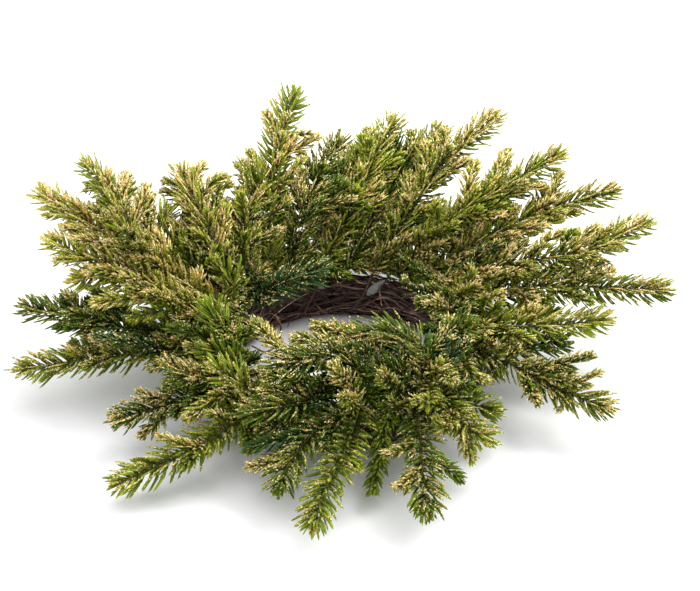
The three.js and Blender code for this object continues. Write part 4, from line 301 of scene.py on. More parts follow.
        ("s", 0.35, 0.28, -114.0, 90.8, 68.6, -122.0, 100.1, 78.0, -129.1, 112.1, 84.7),
        ("s", 0.22, 0.28, -115.6, 98.0, 68.2, -104.8, 120.1, 69.6, -97.2, 143.5, 70.4),
        ("s", 0.52, 1.10, -116.3, 101.4, 68.1, -130.9, 112.2, 72.0, -143.7, 125.3, 75.1),
        ("s", 0.51, 0.34, -119.0, 113.4, 67.5, -137.5, 125.9, 69.1, -153.9, 141.1, 70.3),
        ("s", 0.41, 0.15, -119.7, 116.8, 67.3, -110.8, 134.8, 70.1, -104.6, 154.0, 72.1),
        ("s", 0.45, 0.35, -120.3, 119.2, 67.2, -122.9, 129.2, 76.1, -125.9, 140.9, 82.4),
        ("s", 0.33, 0.25, -122.1, 127.6, 66.8, -109.3, 148.2, 67.2, -100.0, 170.6, 67.3),
        ("s", 0.60, 1.20, -122.9, 131.0, 66.6, -137.4, 142.1, 67.1, -150.1, 155.3, 67.3),
        ("s", 0.33, 0.24, -125.0, 140.6, 66.1, -143.8, 150.0, 66.1, -160.5, 162.5, 65.9),
        ("s", 0.37, 0.31, -125.9, 144.0, 66.0, -117.4, 161.1, 70.6, -111.4, 179.4, 74.3),
        ("s", 0.46, 1.09, -126.7, 146.4, 65.8, -131.9, 153.4, 77.5, -137.6, 163.5, 86.2),
        ("s", 0.13, 1.14, -101.4, 57.4, 56.9, -120.4, 50.4, 55.6, -140.5, 47.7, 54.5),
        ("s", 0.00, 1.00, -104.6, 59.4, 64.0, -125.2, 57.2, 57.6, -146.7, 58.8, 55.0),
        ("s", 0.17, 1.10, -103.0, 58.4, 60.5, -115.1, 56.0, 68.7, -127.9, 55.5, 76.1),
        ("s", 0.00, 1.16, -102.8, 58.2, 59.9, -100.4, 78.0, 53.7, -102.5, 98.1, 48.5),
        ("s", 0.07, 0.74, -103.9, 59.0, 62.5, -106.0, 78.9, 55.8, -111.9, 99.1, 52.8),
        ("s", 0.05, 1.08, -102.8, 58.3, 60.1, -103.0, 70.7, 68.1, -105.2, 83.4, 75.2),
    ]),
    "spray_09": (130, [
        ("m", 0.38, 0.60, -85.2, 64.7, 58.0, -93.5, 76.9, 88.0, -91.2, 104.0, 114.0, -81.5, 130.2, 128.0, -98.1, 163.1, 138.0),
        ("m", 1.00, 0.30, -88.7, 69.8, 70.6, -74.4, 35.3, 70.0, -42.8, 40.3, 80.0, -10.3, 50.3, 86.0),
        ("s", 1.00, 0.40, -88.7, 69.8, 70.6, -78.0, 29.1, 64.0, -64.3, 11.7, 68.0),
        ("s", 0.60, 0.85, -93.4, 78.1, 89.2, -75.2, 74.8, 100.0, -54.5, 80.0, 110.0),
        ("s", 1.00, 0.25, -91.9, 95.3, 105.7, -83.1, 91.9, 112.0, -73.6, 92.7, 118.0),
        ("s", 0.95, 0.15, -92.9, 76.0, 85.7, -109.0, 69.9, 92.0, -125.1, 79.2, 104.0),
        ("s", 0.95, 0.25, -88.7, 69.8, 70.6, -103.3, 57.6, 72.0, -113.5, 61.2, 84.0),
        ("s", 0.30, 0.60, -91.2, 103.4, 113.4, -99.0, 113.1, 122.0, -99.6, 130.2, 128.0),
        ("s", 0.60, 0.50, -88.7, 69.8, 70.6, -95.2, 0.4, 62.0, -87.6, -27.6, 58.0),
        ("m", 0.60, 0.30, -88.7, 69.8, 70.6, -102.4, 145.9, 60.0, -124.5, 250.0, 44.0),
        ("s", 0.55, 0.35, -88.7, 69.8, 70.6, -94.3, 22.2, 66.0, -102.1, -32.4, 78.0, -104.8, -75.5, 84.0),
        ("s", 0.10, 0.55, -92.5, 75.5, 84.5, -85.8, 89.4, 96.4, -81.3, 102.5, 110.2),
        ("s", 0.36, 0.25, -93.1, 76.4, 86.7, -91.2, 74.5, 98.0, -90.5, 74.9, 109.6),
        ("s", 0.12, 0.59, -92.8, 84.9, 95.6, -104.2, 95.6, 104.8, -113.2, 107.3, 115.2),
        ("s", 0.12, 1.20, -92.1, 93.3, 103.7, -104.7, 102.8, 113.4, -114.8, 113.8, 124.3),
        ("s", 0.06, 0.44, -91.7, 97.6, 107.8, -94.1, 98.7, 122.7, -95.6, 103.2, 137.0),
        ("s", 0.88, 0.33, -84.1, 58.7, 70.4, -63.3, 48.4, 70.9, -44.3, 35.1, 71.3),
        ("s", 0.74, 0.31, -82.7, 55.5, 70.3, -87.7, 37.7, 73.3, -90.1, 19.4, 75.6),
        ("s", 0.81, 0.30, -78.1, 44.3, 70.1, -85.6, 25.6, 69.1, -90.0, 5.9, 68.2),
        ("s", 0.82, 0.31, -76.7, 41.0, 70.1, -63.2, 35.3, 69.6, -50.8, 27.5, 69.2),
        ("s", 0.88, 0.29, -75.8, 38.7, 70.1, -74.9, 31.9, 79.8, -72.6, 22.9, 87.3),
        ("s", 0.40, 0.21, -90.8, 81.5, 69.0, -110.4, 94.0, 69.1, -127.6, 109.7, 68.4),
        ("s", 0.64, 0.28, -91.4, 84.9, 68.5, -80.0, 102.6, 67.6, -71.4, 121.9, 66.2),
        ("s", 0.29, 0.34, -93.8, 98.0, 66.7, -80.8, 116.2, 62.7, -71.0, 136.3, 58.7),
        ("s", 0.62, 0.24, -94.4, 101.4, 66.2, -114.1, 112.7, 66.3, -131.4, 127.4, 65.7),
        ("s", 0.34, 1.20, -94.8, 103.9, 65.9, -99.8, 112.0, 74.0, -104.2, 122.4, 79.5),
        ("s", 0.38, 0.28, -96.1, 110.6, 64.9, -116.6, 128.4, 69.7, -134.5, 149.2, 72.7),
        ("s", 0.40, 0.23, -96.7, 114.0, 64.4, -87.2, 130.6, 60.9, -80.2, 148.4, 57.5),
        ("s", 0.51, 0.18, -98.7, 125.4, 62.9, -81.5, 147.0, 58.7, -68.4, 171.3, 54.4),
        ("s", 0.32, 1.14, -99.3, 128.8, 62.4, -118.2, 142.8, 59.1, -134.7, 159.6, 55.6),
        ("s", 0.39, 0.25, -99.8, 131.2, 62.0, -99.6, 141.6, 68.5, -100.2, 153.2, 72.7),
        ("s", 0.31, 1.09, -101.2, 138.9, 61.0, -123.6, 151.2, 64.2, -143.5, 167.6, 66.2),
        ("s", 0.37, 0.30, -101.8, 142.3, 60.5, -92.2, 158.4, 58.3, -85.1, 175.7, 55.9),
        ("s", 0.50, 1.06, -104.2, 154.2, 58.7, -92.6, 173.2, 57.8, -84.1, 193.7, 56.2),
        ("s", 0.27, 0.28, -104.9, 157.6, 58.2, -119.3, 168.1, 57.7, -131.9, 180.7, 56.6),
        ("s", 0.37, 1.17, -105.4, 160.0, 57.8, -110.6, 169.2, 64.5, -115.2, 180.1, 68.9),
        ("s", 0.38, 0.27, -107.2, 168.4, 56.5, -121.5, 179.1, 58.4, -134.1, 191.8, 59.3),
        ("s", 0.48, 0.19, -107.9, 171.8, 56.0, -98.6, 185.8, 58.3, -91.7, 201.2, 59.6),
        ("s", 0.21, 1.19, -86.8, 67.0, 63.7, -103.8, 63.5, 63.7, -121.2, 64.0, 63.6),
        ("s", 0.32, 0.38, -87.3, 67.7, 65.5, -107.7, 69.5, 58.0, -128.5, 75.2, 54.5),
        ("s", 0.56, 0.23, -87.7, 68.3, 66.8, -102.1, 68.2, 75.0, -116.9, 70.4, 82.2),
        ("s", 0.19, 1.04, -85.5, 65.1, 59.0, -103.2, 52.4, 50.1, -122.8, 42.7, 41.4),
        ("s", 0.28, 0.37, -86.5, 66.5, 62.6, -102.3, 75.9, 47.4, -120.2, 88.9, 38.4),
        ("s", 0.25, 0.93, -86.5, 66.5, 62.6, -76.7, 85.2, 61.6, -71.6, 105.7, 60.6),
        ("s", 0.05, 0.54, -87.6, 68.1, 66.5, -85.6, 90.3, 60.2, -87.7, 113.3, 57.9),
        ("s", 0.28, 0.33, -87.5, 68.0, 66.3, -85.3, 80.3, 73.3, -85.0, 93.2, 79.5),
        ("s", 0.16, 0.58, -85.9, 65.6, 60.4, -70.4, 80.6, 53.9, -57.5, 97.9, 46.7),
        ("s", 0.26, 1.05, -87.4, 67.9, 66.0, -94.3, 86.1, 53.5, -103.9, 105.9, 46.8),
    ]),
    "spray_10": (119, [
        ("m", 0.32, 0.75, -67.6, 97.4, 52.0, -72.9, 113.4, 98.0, -65.1, 158.5, 136.0, -57.6, 212.1, 156.0, -45.7, 260.5, 168.0),
        ("s", 0.05, 0.98, -61.6, 183.0, 145.1, -42.2, 185.1, 154.0, -27.7, 187.6, 156.0),
        ("s", 0.10, 0.80, -67.9, 142.2, 122.3, -53.9, 134.6, 130.0, -35.1, 163.7, 142.0),
        ("s", 0.15, 0.80, -72.2, 117.5, 101.4, -59.5, 119.0, 108.0, -48.0, 125.0, 120.0),
        ("m", 0.50, 0.40, -70.4, 105.9, 76.5, -82.6, 143.2, 66.0, -112.6, 221.1, 48.0),
        ("s", 0.50, 0.40, -72.3, 111.6, 92.8, -64.0, 170.1, 60.0, -52.1, 236.4, 42.0),
        ("s", 0.23, 1.14, -68.9, 101.3, 63.3, -59.1, 115.7, 78.5, -51.7, 129.1, 95.8),
        ("s", 0.33, 0.48, -69.3, 102.5, 66.5, -85.2, 101.5, 77.9, -99.1, 102.3, 91.8),
        ("s", 0.43, 1.03, -70.7, 106.7, 78.8, -87.2, 101.2, 98.6, -101.5, 98.6, 120.6),
        ("s", 0.14, 1.03, -71.3, 108.7, 84.4, -76.6, 119.1, 90.7, -80.8, 128.1, 99.5),
        ("s", 0.36, 0.46, -72.5, 112.3, 94.7, -86.4, 108.0, 111.1, -98.3, 106.1, 129.3),
        ("s", 0.27, 0.56, -71.3, 122.8, 105.9, -86.6, 133.4, 118.7, -98.7, 146.3, 132.9),
        ("s", 0.19, 1.04, -71.0, 124.7, 107.5, -73.9, 124.4, 119.4, -75.6, 127.4, 131.2),
        ("s", 0.29, 0.62, -69.8, 131.2, 113.0, -86.8, 148.8, 122.7, -100.1, 168.1, 134.7),
        ("s", 0.34, 1.08, -69.4, 133.9, 115.2, -54.9, 141.7, 125.6, -42.5, 151.5, 136.8),
        ("s", 0.11, 0.57, -67.3, 145.7, 125.2, -80.9, 159.6, 134.1, -91.5, 174.8, 144.7),
        ("s", 0.23, 1.05, -67.0, 147.6, 126.8, -62.0, 148.8, 139.7, -57.8, 153.2, 152.2),
        ("s", 0.35, 1.08, -65.4, 156.4, 134.2, -52.7, 162.1, 147.8, -41.7, 170.2, 161.7),
        ("s", 0.18, 1.03, -64.2, 164.9, 138.4, -41.4, 178.0, 143.2, -21.5, 194.7, 149.3),
        ("s", 0.21, 1.18, -63.4, 170.5, 140.5, -60.4, 174.4, 152.5, -57.7, 181.3, 163.0),
        ("s", 0.18, 1.18, -60.2, 193.0, 148.9, -69.9, 205.7, 156.3, -77.3, 219.9, 163.8),
        ("s", 0.39, 1.10, -59.9, 195.3, 149.7, -55.7, 197.8, 161.0, -51.9, 203.6, 171.1),
        ("s", 0.36, 0.25, -74.0, 117.0, 73.4, -95.6, 127.9, 70.9, -115.1, 142.1, 67.5),
        ("s", 0.33, 0.18, -75.1, 120.2, 72.5, -66.9, 137.9, 68.3, -61.5, 156.6, 63.7),
        ("s", 0.46, 0.32, -78.5, 130.8, 69.5, -69.6, 150.9, 66.0, -63.9, 171.9, 61.8),
        ("s", 0.54, 0.21, -79.6, 134.1, 68.6, -99.0, 144.2, 66.0, -116.5, 157.3, 62.5),
        ("s", 0.52, 0.22, -80.3, 136.3, 67.9, -87.3, 147.2, 74.1, -93.8, 159.5, 77.4),
        ("s", 0.41, 1.04, -82.6, 143.4, 66.0, -100.6, 154.7, 67.3, -116.8, 168.5, 67.3),
        ("s", 0.44, 0.92, -83.9, 146.6, 65.2, -74.0, 163.9, 66.7, -67.4, 182.8, 66.8),
        ("s", 0.14, 0.91, -87.3, 155.4, 63.2, -81.2, 174.7, 60.1, -77.9, 194.5, 56.7),
        ("s", 0.37, 0.37, -88.5, 158.6, 62.4, -101.5, 163.2, 62.9, -113.5, 169.9, 62.5),
        ("s", 0.32, 0.24, -89.4, 160.9, 61.9, -89.6, 174.1, 70.4, -91.6, 188.7, 75.6),
        ("s", 0.34, 1.09, -68.1, 98.8, 56.1, -88.1, 95.6, 55.1, -108.3, 97.5, 54.3),
        ("s", 0.06, 1.02, -69.0, 101.5, 63.8, -86.2, 106.5, 57.0, -103.1, 114.9, 53.7),
        ("s", 0.31, 1.00, -68.3, 99.4, 57.7, -83.6, 102.3, 66.4, -98.7, 107.7, 74.2),
        ("s", 0.13, 0.48, -67.7, 97.8, 53.1, -87.7, 91.2, 47.3, -108.5, 87.6, 41.6),
        ("s", 0.25, 0.96, -68.3, 99.4, 57.8, -80.5, 110.4, 45.7, -93.7, 124.4, 38.7),
        ("s", 0.27, 1.02, -68.3, 99.5, 58.1, -56.8, 115.1, 56.0, -49.2, 132.9, 54.2),
        ("s", 0.00, 1.17, -68.6, 100.6, 61.1, -62.4, 122.3, 54.2, -60.1, 145.7, 51.3),
        ("s", 0.09, 0.56, -68.5, 100.2, 60.1, -63.4, 113.4, 69.9, -60.4, 127.9, 78.7),
        ("s", 0.29, 1.14, -67.8, 97.9, 53.5, -51.7, 109.7, 45.4, -37.6, 123.9, 37.6),
        ("s", 0.24, 1.18, -68.1, 99.1, 56.8, -71.1, 116.5, 46.4, -76.1, 135.7, 41.2),
    ]),
    "spray_11": (108, [
        ("m", 0.60, 0.50, -54.5, 105.7, 46.0, -40.7, 127.4, 98.0, -20.0, 179.4, 122.0, 0.4, 229.6, 132.0),
        ("m", 0.55, 0.50, -39.7, 129.9, 99.2, -8.1, 146.7, 104.0, 7.4, 174.8, 120.0, 10.4, 214.9, 126.0),
        ("s", 0.75, 0.75, -50.3, 112.2, 61.6, -38.7, 114.3, 80.0, -6.2, 140.8, 94.0),
        ("s", 0.60, 0.85, -51.1, 111.0, 58.6, -31.4, 122.6, 62.0, 2.5, 147.2, 66.0),
        ("s", 0.25, 0.70, -33.8, 144.8, 106.0, -41.2, 156.8, 114.0, -39.5, 174.8, 120.0),
        ("s", 0.50, 0.50, -10.2, 145.6, 103.7, 12.2, 146.7, 104.0, 28.9, 169.4, 114.0),
        ("s", 0.56, 0.99, -51.6, 110.2, 56.8, -63.8, 120.9, 73.7, -72.6, 131.8, 92.6),
        ("s", 0.64, 0.17, -47.3, 117.1, 73.2, -58.8, 128.4, 90.2, -67.0, 139.8, 109.1),
        ("s", 0.54, 0.36, -46.7, 118.0, 75.5, -49.0, 113.6, 85.9, -49.9, 111.6, 97.2),
        ("s", 0.55, 0.29, -44.4, 121.7, 84.3, -55.6, 132.8, 103.4, -63.5, 144.0, 124.1),
        ("s", 0.58, 0.35, -43.5, 123.0, 87.4, -30.9, 118.5, 104.1, -19.5, 116.7, 122.1),
        ("s", 0.72, 0.75, -39.3, 131.1, 99.7, -48.6, 149.2, 111.1, -54.5, 167.9, 123.8),
        ("s", 0.63, 0.92, -38.4, 133.2, 100.7, -41.1, 139.5, 113.9, -41.4, 148.4, 125.7),
        ("s", 0.64, 0.24, -34.7, 142.6, 105.0, -15.5, 149.1, 113.8, 2.0, 158.9, 123.0),
        ("s", 0.43, 0.22, -31.1, 151.6, 109.2, -11.4, 158.7, 113.2, 6.7, 168.7, 118.5),
        ("s", 0.57, 0.10, -29.0, 156.7, 111.5, -24.1, 157.7, 124.8, -18.7, 162.6, 136.9),
        ("s", 0.49, 0.25, -26.0, 164.4, 115.1, -35.4, 180.6, 123.0, -41.6, 198.1, 131.4),
        ("s", 0.63, 0.09, -24.8, 167.4, 116.4, -9.4, 170.8, 123.8, 4.9, 177.2, 131.6),
        ("s", 0.40, 0.84, -29.2, 135.5, 100.8, -23.4, 156.0, 107.8, -14.0, 175.3, 114.2),
        ("s", 0.64, 0.84, -26.2, 137.1, 101.2, -5.6, 131.5, 108.3, 15.7, 129.4, 114.8),
        ("s", 0.53, 0.27, -15.6, 142.8, 102.9, 5.5, 134.1, 104.5, 27.8, 129.3, 106.5),
        ("s", 0.49, 0.11, -10.3, 145.6, 103.7, -3.3, 144.0, 114.9, 6.2, 145.1, 124.4),
        ("s", 0.64, 0.30, -53.5, 107.3, 49.8, -70.7, 110.3, 46.8, -86.8, 117.2, 44.2),
        ("s", 0.83, 0.23, -52.3, 109.2, 54.3, -72.6, 119.6, 48.9, -91.3, 133.7, 47.3),
        ("s", 0.59, 0.80, -52.8, 108.4, 52.5, -65.9, 113.7, 58.9, -78.3, 120.9, 64.5),
        ("s", 0.59, 0.34, -54.2, 106.2, 47.0, -77.6, 101.6, 39.7, -101.4, 100.6, 32.5),
        ("s", 0.77, 0.91, -52.4, 109.0, 53.7, -64.1, 124.3, 39.8, -76.0, 143.3, 31.9),
        ("s", 0.49, 0.08, -53.2, 107.8, 50.8, -40.0, 120.8, 49.5, -30.2, 136.5, 48.3),
        ("s", 0.43, 0.84, -52.4, 109.1, 54.0, -42.4, 128.6, 45.1, -35.8, 150.9, 40.5),
        ("s", 0.48, 1.00, -52.4, 108.9, 53.6, -45.9, 119.4, 62.0, -40.8, 131.2, 69.5),
        ("s", 0.55, 0.24, -54.2, 106.2, 47.0, -31.0, 115.9, 43.2, -9.6, 129.2, 37.6),
        ("s", 0.52, 0.81, -52.6, 108.6, 53.0, -52.2, 126.1, 41.2, -53.6, 146.1, 34.8),
    ]),
    "spray_12": (96, [
        ("m", 0.15, 0.55, -23.6, 111.5, 46.0, 7.4, 144.9, 94.0, 29.0, 184.8, 128.0, 54.5, 246.4, 146.0),
        ("s", 0.20, 0.60, 30.4, 188.2, 129.0, 27.2, 212.2, 134.0, 25.4, 233.2, 138.0),
        ("s", 0.80, 0.60, -7.4, 128.9, 71.1, 19.1, 136.9, 74.0, 41.6, 156.3, 90.0),
        ("m", 0.50, 0.40, 3.4, 140.5, 87.8, 23.3, 181.0, 80.0, 30.0, 250.6, 60.0, 39.0, 297.3, 40.0),
        ("m", 0.60, 0.40, -17.1, 118.6, 56.2, -10.3, 153.9, 60.0, -5.0, 255.2, 40.0),
        ("s", 0.50, 0.10, -17.1, 118.6, 56.2, -8.0, 97.4, 52.0, 9.3, 89.4, 50.0),
        ("s", 0.22, 0.28, -8.8, 127.5, 69.0, -14.1, 142.7, 78.0, -16.5, 157.7, 88.7),
        ("s", 0.30, 0.93, -7.6, 128.7, 70.8, -8.4, 125.2, 84.7, -6.8, 125.0, 99.0),
        ("s", 0.16, 0.12, -4.6, 131.9, 75.4, -8.6, 150.6, 86.6, -9.4, 168.5, 99.6),
        ("s", 0.19, 0.87, 3.3, 140.5, 87.7, 23.5, 137.9, 99.1, 42.7, 138.5, 112.5),
        ("s", 0.00, 0.20, 6.1, 143.5, 92.0, 9.7, 141.4, 107.4, 14.8, 142.6, 122.5),
        ("s", 0.18, 0.30, 8.9, 147.7, 96.4, -0.3, 168.2, 103.2, -5.8, 189.1, 112.1),
        ("s", 0.03, 1.00, 10.3, 150.2, 98.5, 26.2, 150.7, 108.3, 41.1, 154.2, 119.0),
        ("s", 0.15, 0.98, 14.5, 158.1, 105.2, 34.9, 161.9, 112.7, 53.7, 168.8, 122.0),
        ("s", 0.00, 0.96, 15.9, 160.5, 107.3, 6.2, 177.0, 118.4, 0.1, 194.3, 130.8),
        ("s", 0.10, 0.95, 16.8, 162.3, 108.8, 17.1, 163.9, 120.3, 18.8, 167.8, 131.1),
        ("s", 0.19, 0.39, 19.6, 167.6, 113.3, 12.8, 184.6, 124.8, 9.1, 202.1, 137.2),
        ("s", 0.21, 0.35, 21.0, 170.0, 115.4, 40.6, 171.1, 123.8, 59.0, 175.5, 133.8),
        ("s", 0.00, 0.09, 25.0, 177.5, 121.8, 44.0, 180.1, 128.3, 61.7, 185.5, 136.6),
        ("s", 0.11, 0.12, 26.4, 180.0, 123.9, 20.9, 193.3, 135.0, 18.0, 207.0, 146.5),
        ("s", 0.15, 0.29, 27.3, 181.8, 125.4, 25.4, 182.6, 138.7, 25.7, 186.6, 151.7),
        ("s", 0.46, 0.20, 8.6, 151.1, 85.7, 34.3, 158.9, 88.8, 58.4, 170.9, 90.2),
        ("s", 0.62, 0.22, 10.1, 154.2, 85.1, 3.8, 175.9, 84.3, 0.8, 198.2, 82.7),
        ("s", 0.59, 0.24, 13.8, 161.8, 83.7, 8.8, 183.0, 86.0, 6.9, 204.7, 87.0),
        ("s", 0.71, 0.21, 15.4, 164.9, 83.1, 32.9, 171.5, 85.3, 49.3, 180.8, 86.3),
        ("s", 0.61, 0.83, 16.4, 167.2, 82.7, 22.6, 176.6, 90.0, 29.0, 187.4, 94.6),
        ("s", 0.40, 0.17, 20.0, 174.5, 81.3, 43.1, 184.3, 82.9, 64.5, 197.5, 83.3),
        ("s", 0.42, 0.15, 21.6, 177.6, 80.7, 13.0, 198.2, 78.6, 8.2, 220.0, 76.1),
        ("s", 0.41, 0.09, 24.0, 188.9, 77.8, 6.2, 207.3, 75.9, -8.0, 228.5, 72.6),
        ("s", 0.45, 0.24, 24.3, 192.2, 76.8, 40.6, 207.5, 71.6, 54.4, 224.9, 65.9),
        ("s", 0.62, 0.18, 24.6, 194.6, 76.1, 23.2, 206.3, 86.9, 22.6, 220.7, 93.8),
        ("s", 0.64, 0.15, 25.3, 201.7, 74.1, 42.0, 215.1, 74.2, 56.3, 231.1, 73.0),
        ("s", 0.58, 1.00, 25.6, 205.0, 73.1, 12.1, 219.2, 74.7, 1.2, 235.6, 74.7),
        ("s", 0.55, 0.27, 26.6, 215.8, 70.0, 11.7, 233.5, 67.6, 0.0, 253.3, 64.1),
        ("s", 0.59, 0.81, 27.0, 219.2, 69.0, 40.4, 228.4, 66.0, 51.9, 239.8, 62.3),
        ("s", 0.47, 0.98, 27.2, 221.6, 68.3, 25.7, 231.5, 73.9, 24.9, 242.6, 76.9),
        ("s", 0.66, 0.30, 28.0, 230.1, 65.9, 41.1, 243.1, 61.9, 52.1, 257.7, 57.5),
        ("s", 0.44, 0.89, 28.3, 233.5, 64.9, 18.5, 243.8, 63.3, 10.7, 255.6, 61.0),
        ("s", 0.67, 0.11, -14.8, 130.3, 57.4, 3.3, 139.5, 64.9, 19.5, 152.3, 71.7),
        ("s", 0.52, 0.84, -14.2, 133.7, 57.8, -26.7, 152.0, 60.1, -36.0, 172.2, 62.6),
        ("s", 0.51, 0.16, -12.4, 143.0, 58.8, -25.0, 166.5, 66.1, -34.1, 191.8, 72.7),
        ("s", 0.65, 0.18, -11.7, 146.4, 59.2, 4.5, 156.2, 64.0, 18.9, 168.7, 68.4),
        ("s", 0.57, 1.00, -11.3, 148.9, 59.5, -9.0, 155.0, 72.3, -6.4, 164.6, 82.7),
        ("s", 0.54, 0.09, -10.0, 159.2, 59.0, 7.8, 171.2, 54.7, 22.9, 186.4, 50.2),
        ("s", 0.38, 1.00, -9.9, 162.6, 58.3, -22.4, 179.8, 55.9, -32.4, 198.6, 53.0),
        ("s", 0.51, 0.07, -9.4, 172.3, 56.4, -25.0, 188.6, 57.3, -37.7, 207.3, 57.1),
        ("s", 0.59, 0.78, -9.2, 175.7, 55.7, 5.4, 187.7, 56.6, 17.8, 202.0, 56.5),
        ("s", 0.81, 0.08, -9.0, 178.2, 55.2, -11.0, 186.4, 62.3, -12.4, 196.3, 66.9),
        ("s", 0.10, 0.27, -20.7, 114.6, 50.5, -37.4, 118.8, 47.3, -52.6, 127.1, 44.5),
        ("s", 0.22, 0.21, -17.6, 118.0, 55.3, -32.6, 130.1, 50.0, -45.6, 145.2, 48.1),
        ("s", 0.07, 0.18, -20.6, 114.8, 50.7, -29.4, 120.7, 58.8, -37.5, 128.3, 66.0),
        ("s", 0.37, 0.16, -22.5, 112.6, 47.6, -42.6, 111.7, 44.5, -62.6, 113.9, 39.6),
        ("s", 0.03, 0.30, -20.7, 114.7, 50.6, -28.9, 132.2, 35.4, -36.8, 153.8, 26.5),
        ("s", 0.26, 0.76, -20.7, 114.7, 50.6, -4.6, 123.5, 44.5, 8.9, 136.3, 39.2),
        ("s", 0.11, 0.26, -18.4, 117.1, 54.1, -7.2, 130.9, 47.7, 1.6, 147.2, 44.8),
        ("s", 0.10, 0.26, -19.0, 116.5, 53.2, -9.1, 126.6, 63.8, -0.6, 138.8, 73.2),
        ("s", 0.30, 0.96, -22.5, 112.7, 47.7, -2.5, 116.3, 46.0, 16.8, 122.9, 42.6),
        ("s", 0.13, 0.36, -20.0, 115.4, 51.7, -15.3, 135.2, 38.9, -12.0, 158.0, 32.1),
    ]),
    "spray_13": (84, [
        ("m", 0.45, 0.55, 3.5, 113.4, 46.0, 34.7, 155.1, 94.0, 68.6, 199.6, 126.0, 103.5, 240.0, 138.0),
        ("m", 0.85, 0.20, 47.4, 171.8, 106.0, 50.8, 202.6, 130.0, 44.1, 217.1, 136.0),
        ("s", 0.40, 0.50, 59.4, 187.5, 117.3, 70.8, 212.2, 134.0, 68.2, 228.7, 138.0),
        ("s", 0.50, 0.35, 20.3, 135.8, 71.8, 48.0, 126.9, 84.0, 65.7, 147.7, 98.0),
        ("s", 0.60, 0.50, 37.5, 158.7, 96.6, 58.3, 172.8, 110.0, 66.4, 186.8, 116.0),
        ("s", 0.60, 0.30, 11.9, 124.6, 58.9, 28.9, 138.8, 64.0, 49.0, 165.6, 58.0),
        ("s", 0.55, 0.20, 9.7, 121.7, 55.5, -8.0, 97.8, 54.0, -25.2, 89.8, 52.0),
        ("s", 0.13, 0.82, 17.7, 132.3, 67.8, 13.6, 147.4, 77.7, 12.1, 162.2, 88.7),
        ("s", 0.49, 0.35, 18.8, 133.8, 69.5, 15.2, 134.4, 81.2, 14.3, 137.4, 93.1),
        ("s", 0.53, 0.98, 21.6, 137.6, 73.9, 11.7, 153.9, 86.9, 5.7, 170.7, 101.5),
        ("s", 0.56, 1.02, 28.6, 147.0, 84.7, 49.4, 149.9, 94.8, 68.6, 155.5, 106.6),
        ("s", 0.69, 1.02, 30.2, 149.0, 87.0, 23.7, 168.1, 96.4, 20.6, 187.0, 107.7),
        ("s", 0.59, 0.20, 31.3, 150.5, 88.7, 34.1, 147.9, 103.9, 38.5, 149.1, 118.9),
        ("s", 0.40, 1.00, 34.6, 154.9, 93.8, 29.4, 176.4, 104.2, 27.9, 197.7, 116.1),
        ("s", 0.63, 0.26, 46.4, 170.4, 105.0, 46.5, 175.4, 118.1, 49.0, 182.2, 130.0),
        ("s", 0.64, 0.19, 52.6, 178.6, 110.9, 70.1, 176.1, 121.8, 87.2, 177.4, 133.3),
        ("s", 0.48, 1.02, 59.2, 187.3, 117.2, 77.8, 189.0, 124.4, 95.5, 193.6, 132.6),
        ("s", 0.40, 0.94, 62.4, 191.5, 120.2, 67.3, 191.2, 132.1, 73.2, 194.0, 143.2),
        ("s", 0.96, 0.07, 48.5, 181.2, 113.4, 57.6, 187.4, 117.7, 65.3, 194.6, 123.0),
        ("s", 0.96, 0.12, 48.8, 184.0, 115.5, 42.3, 191.2, 121.3, 37.2, 199.1, 127.5),
        ("s", 0.43, 0.91, 5.1, 115.5, 48.4, -11.0, 127.7, 45.3, -24.0, 143.2, 42.8),
        ("s", 0.57, 0.29, 8.8, 120.5, 54.1, -3.0, 135.1, 49.7, -12.3, 151.9, 48.4),
        ("s", 0.53, 0.37, 7.6, 118.9, 52.3, -3.2, 130.0, 60.6, -12.5, 143.0, 68.1),
        ("s", 0.59, 0.99, 4.4, 114.6, 47.4, -20.4, 119.2, 42.4, -44.3, 127.5, 36.5),
        ("s", 0.57, 0.78, 5.8, 116.5, 49.5, 1.5, 134.8, 38.4, -1.6, 155.7, 32.7),
        ("s", 0.51, 1.01, 5.4, 116.0, 49.0, 23.5, 122.8, 43.6, 39.5, 133.9, 38.9),
        ("s", 0.51, 0.41, 8.6, 120.3, 53.9, 21.9, 131.0, 46.9, 33.6, 144.7, 43.4),
        ("s", 0.64, 0.22, 7.8, 119.1, 52.5, 18.9, 126.5, 61.3, 29.1, 136.0, 69.1),
        ("s", 0.55, 0.86, 4.2, 114.3, 47.0, 24.2, 114.5, 45.0, 44.0, 117.7, 41.3),
        ("s", 0.53, 0.19, 7.2, 118.3, 51.6, 15.3, 135.5, 38.7, 22.8, 156.0, 31.7),
    ]),
    "spray_14": (71, [
        ("m", 0.35, 0.80, 31.7, 113.4, 46.0, 65.3, 133.4, 98.0, 104.5, 171.9, 140.0, 156.3, 219.9, 162.0),
        ("s", 0.10, 0.95, 93.3, 161.0, 128.0, 113.4, 152.2, 136.0, 125.0, 157.7, 144.0),
        ("s", 0.30, 0.50, 78.0, 145.9, 111.6, 84.7, 149.2, 118.0, 101.0, 148.2, 124.0),
        ("s", 0.10, 0.85, 64.0, 132.6, 95.9, 85.8, 119.0, 108.0, 98.5, 128.1, 114.0),
        ("s", 0.55, 0.30, 47.8, 123.0, 71.0, 73.2, 124.6, 72.0, 95.3, 147.3, 76.0),
        ("m", 0.50, 0.30, 53.2, 126.2, 79.3, 86.3, 164.3, 70.0, 99.8, 241.9, 46.0),
        ("s", 0.27, 0.59, 37.9, 117.1, 55.6, 41.7, 140.2, 70.3, 48.1, 160.9, 87.4),
        ("s", 0.33, 0.94, 39.7, 118.2, 58.4, 51.9, 106.7, 74.2, 64.8, 98.8, 91.5),
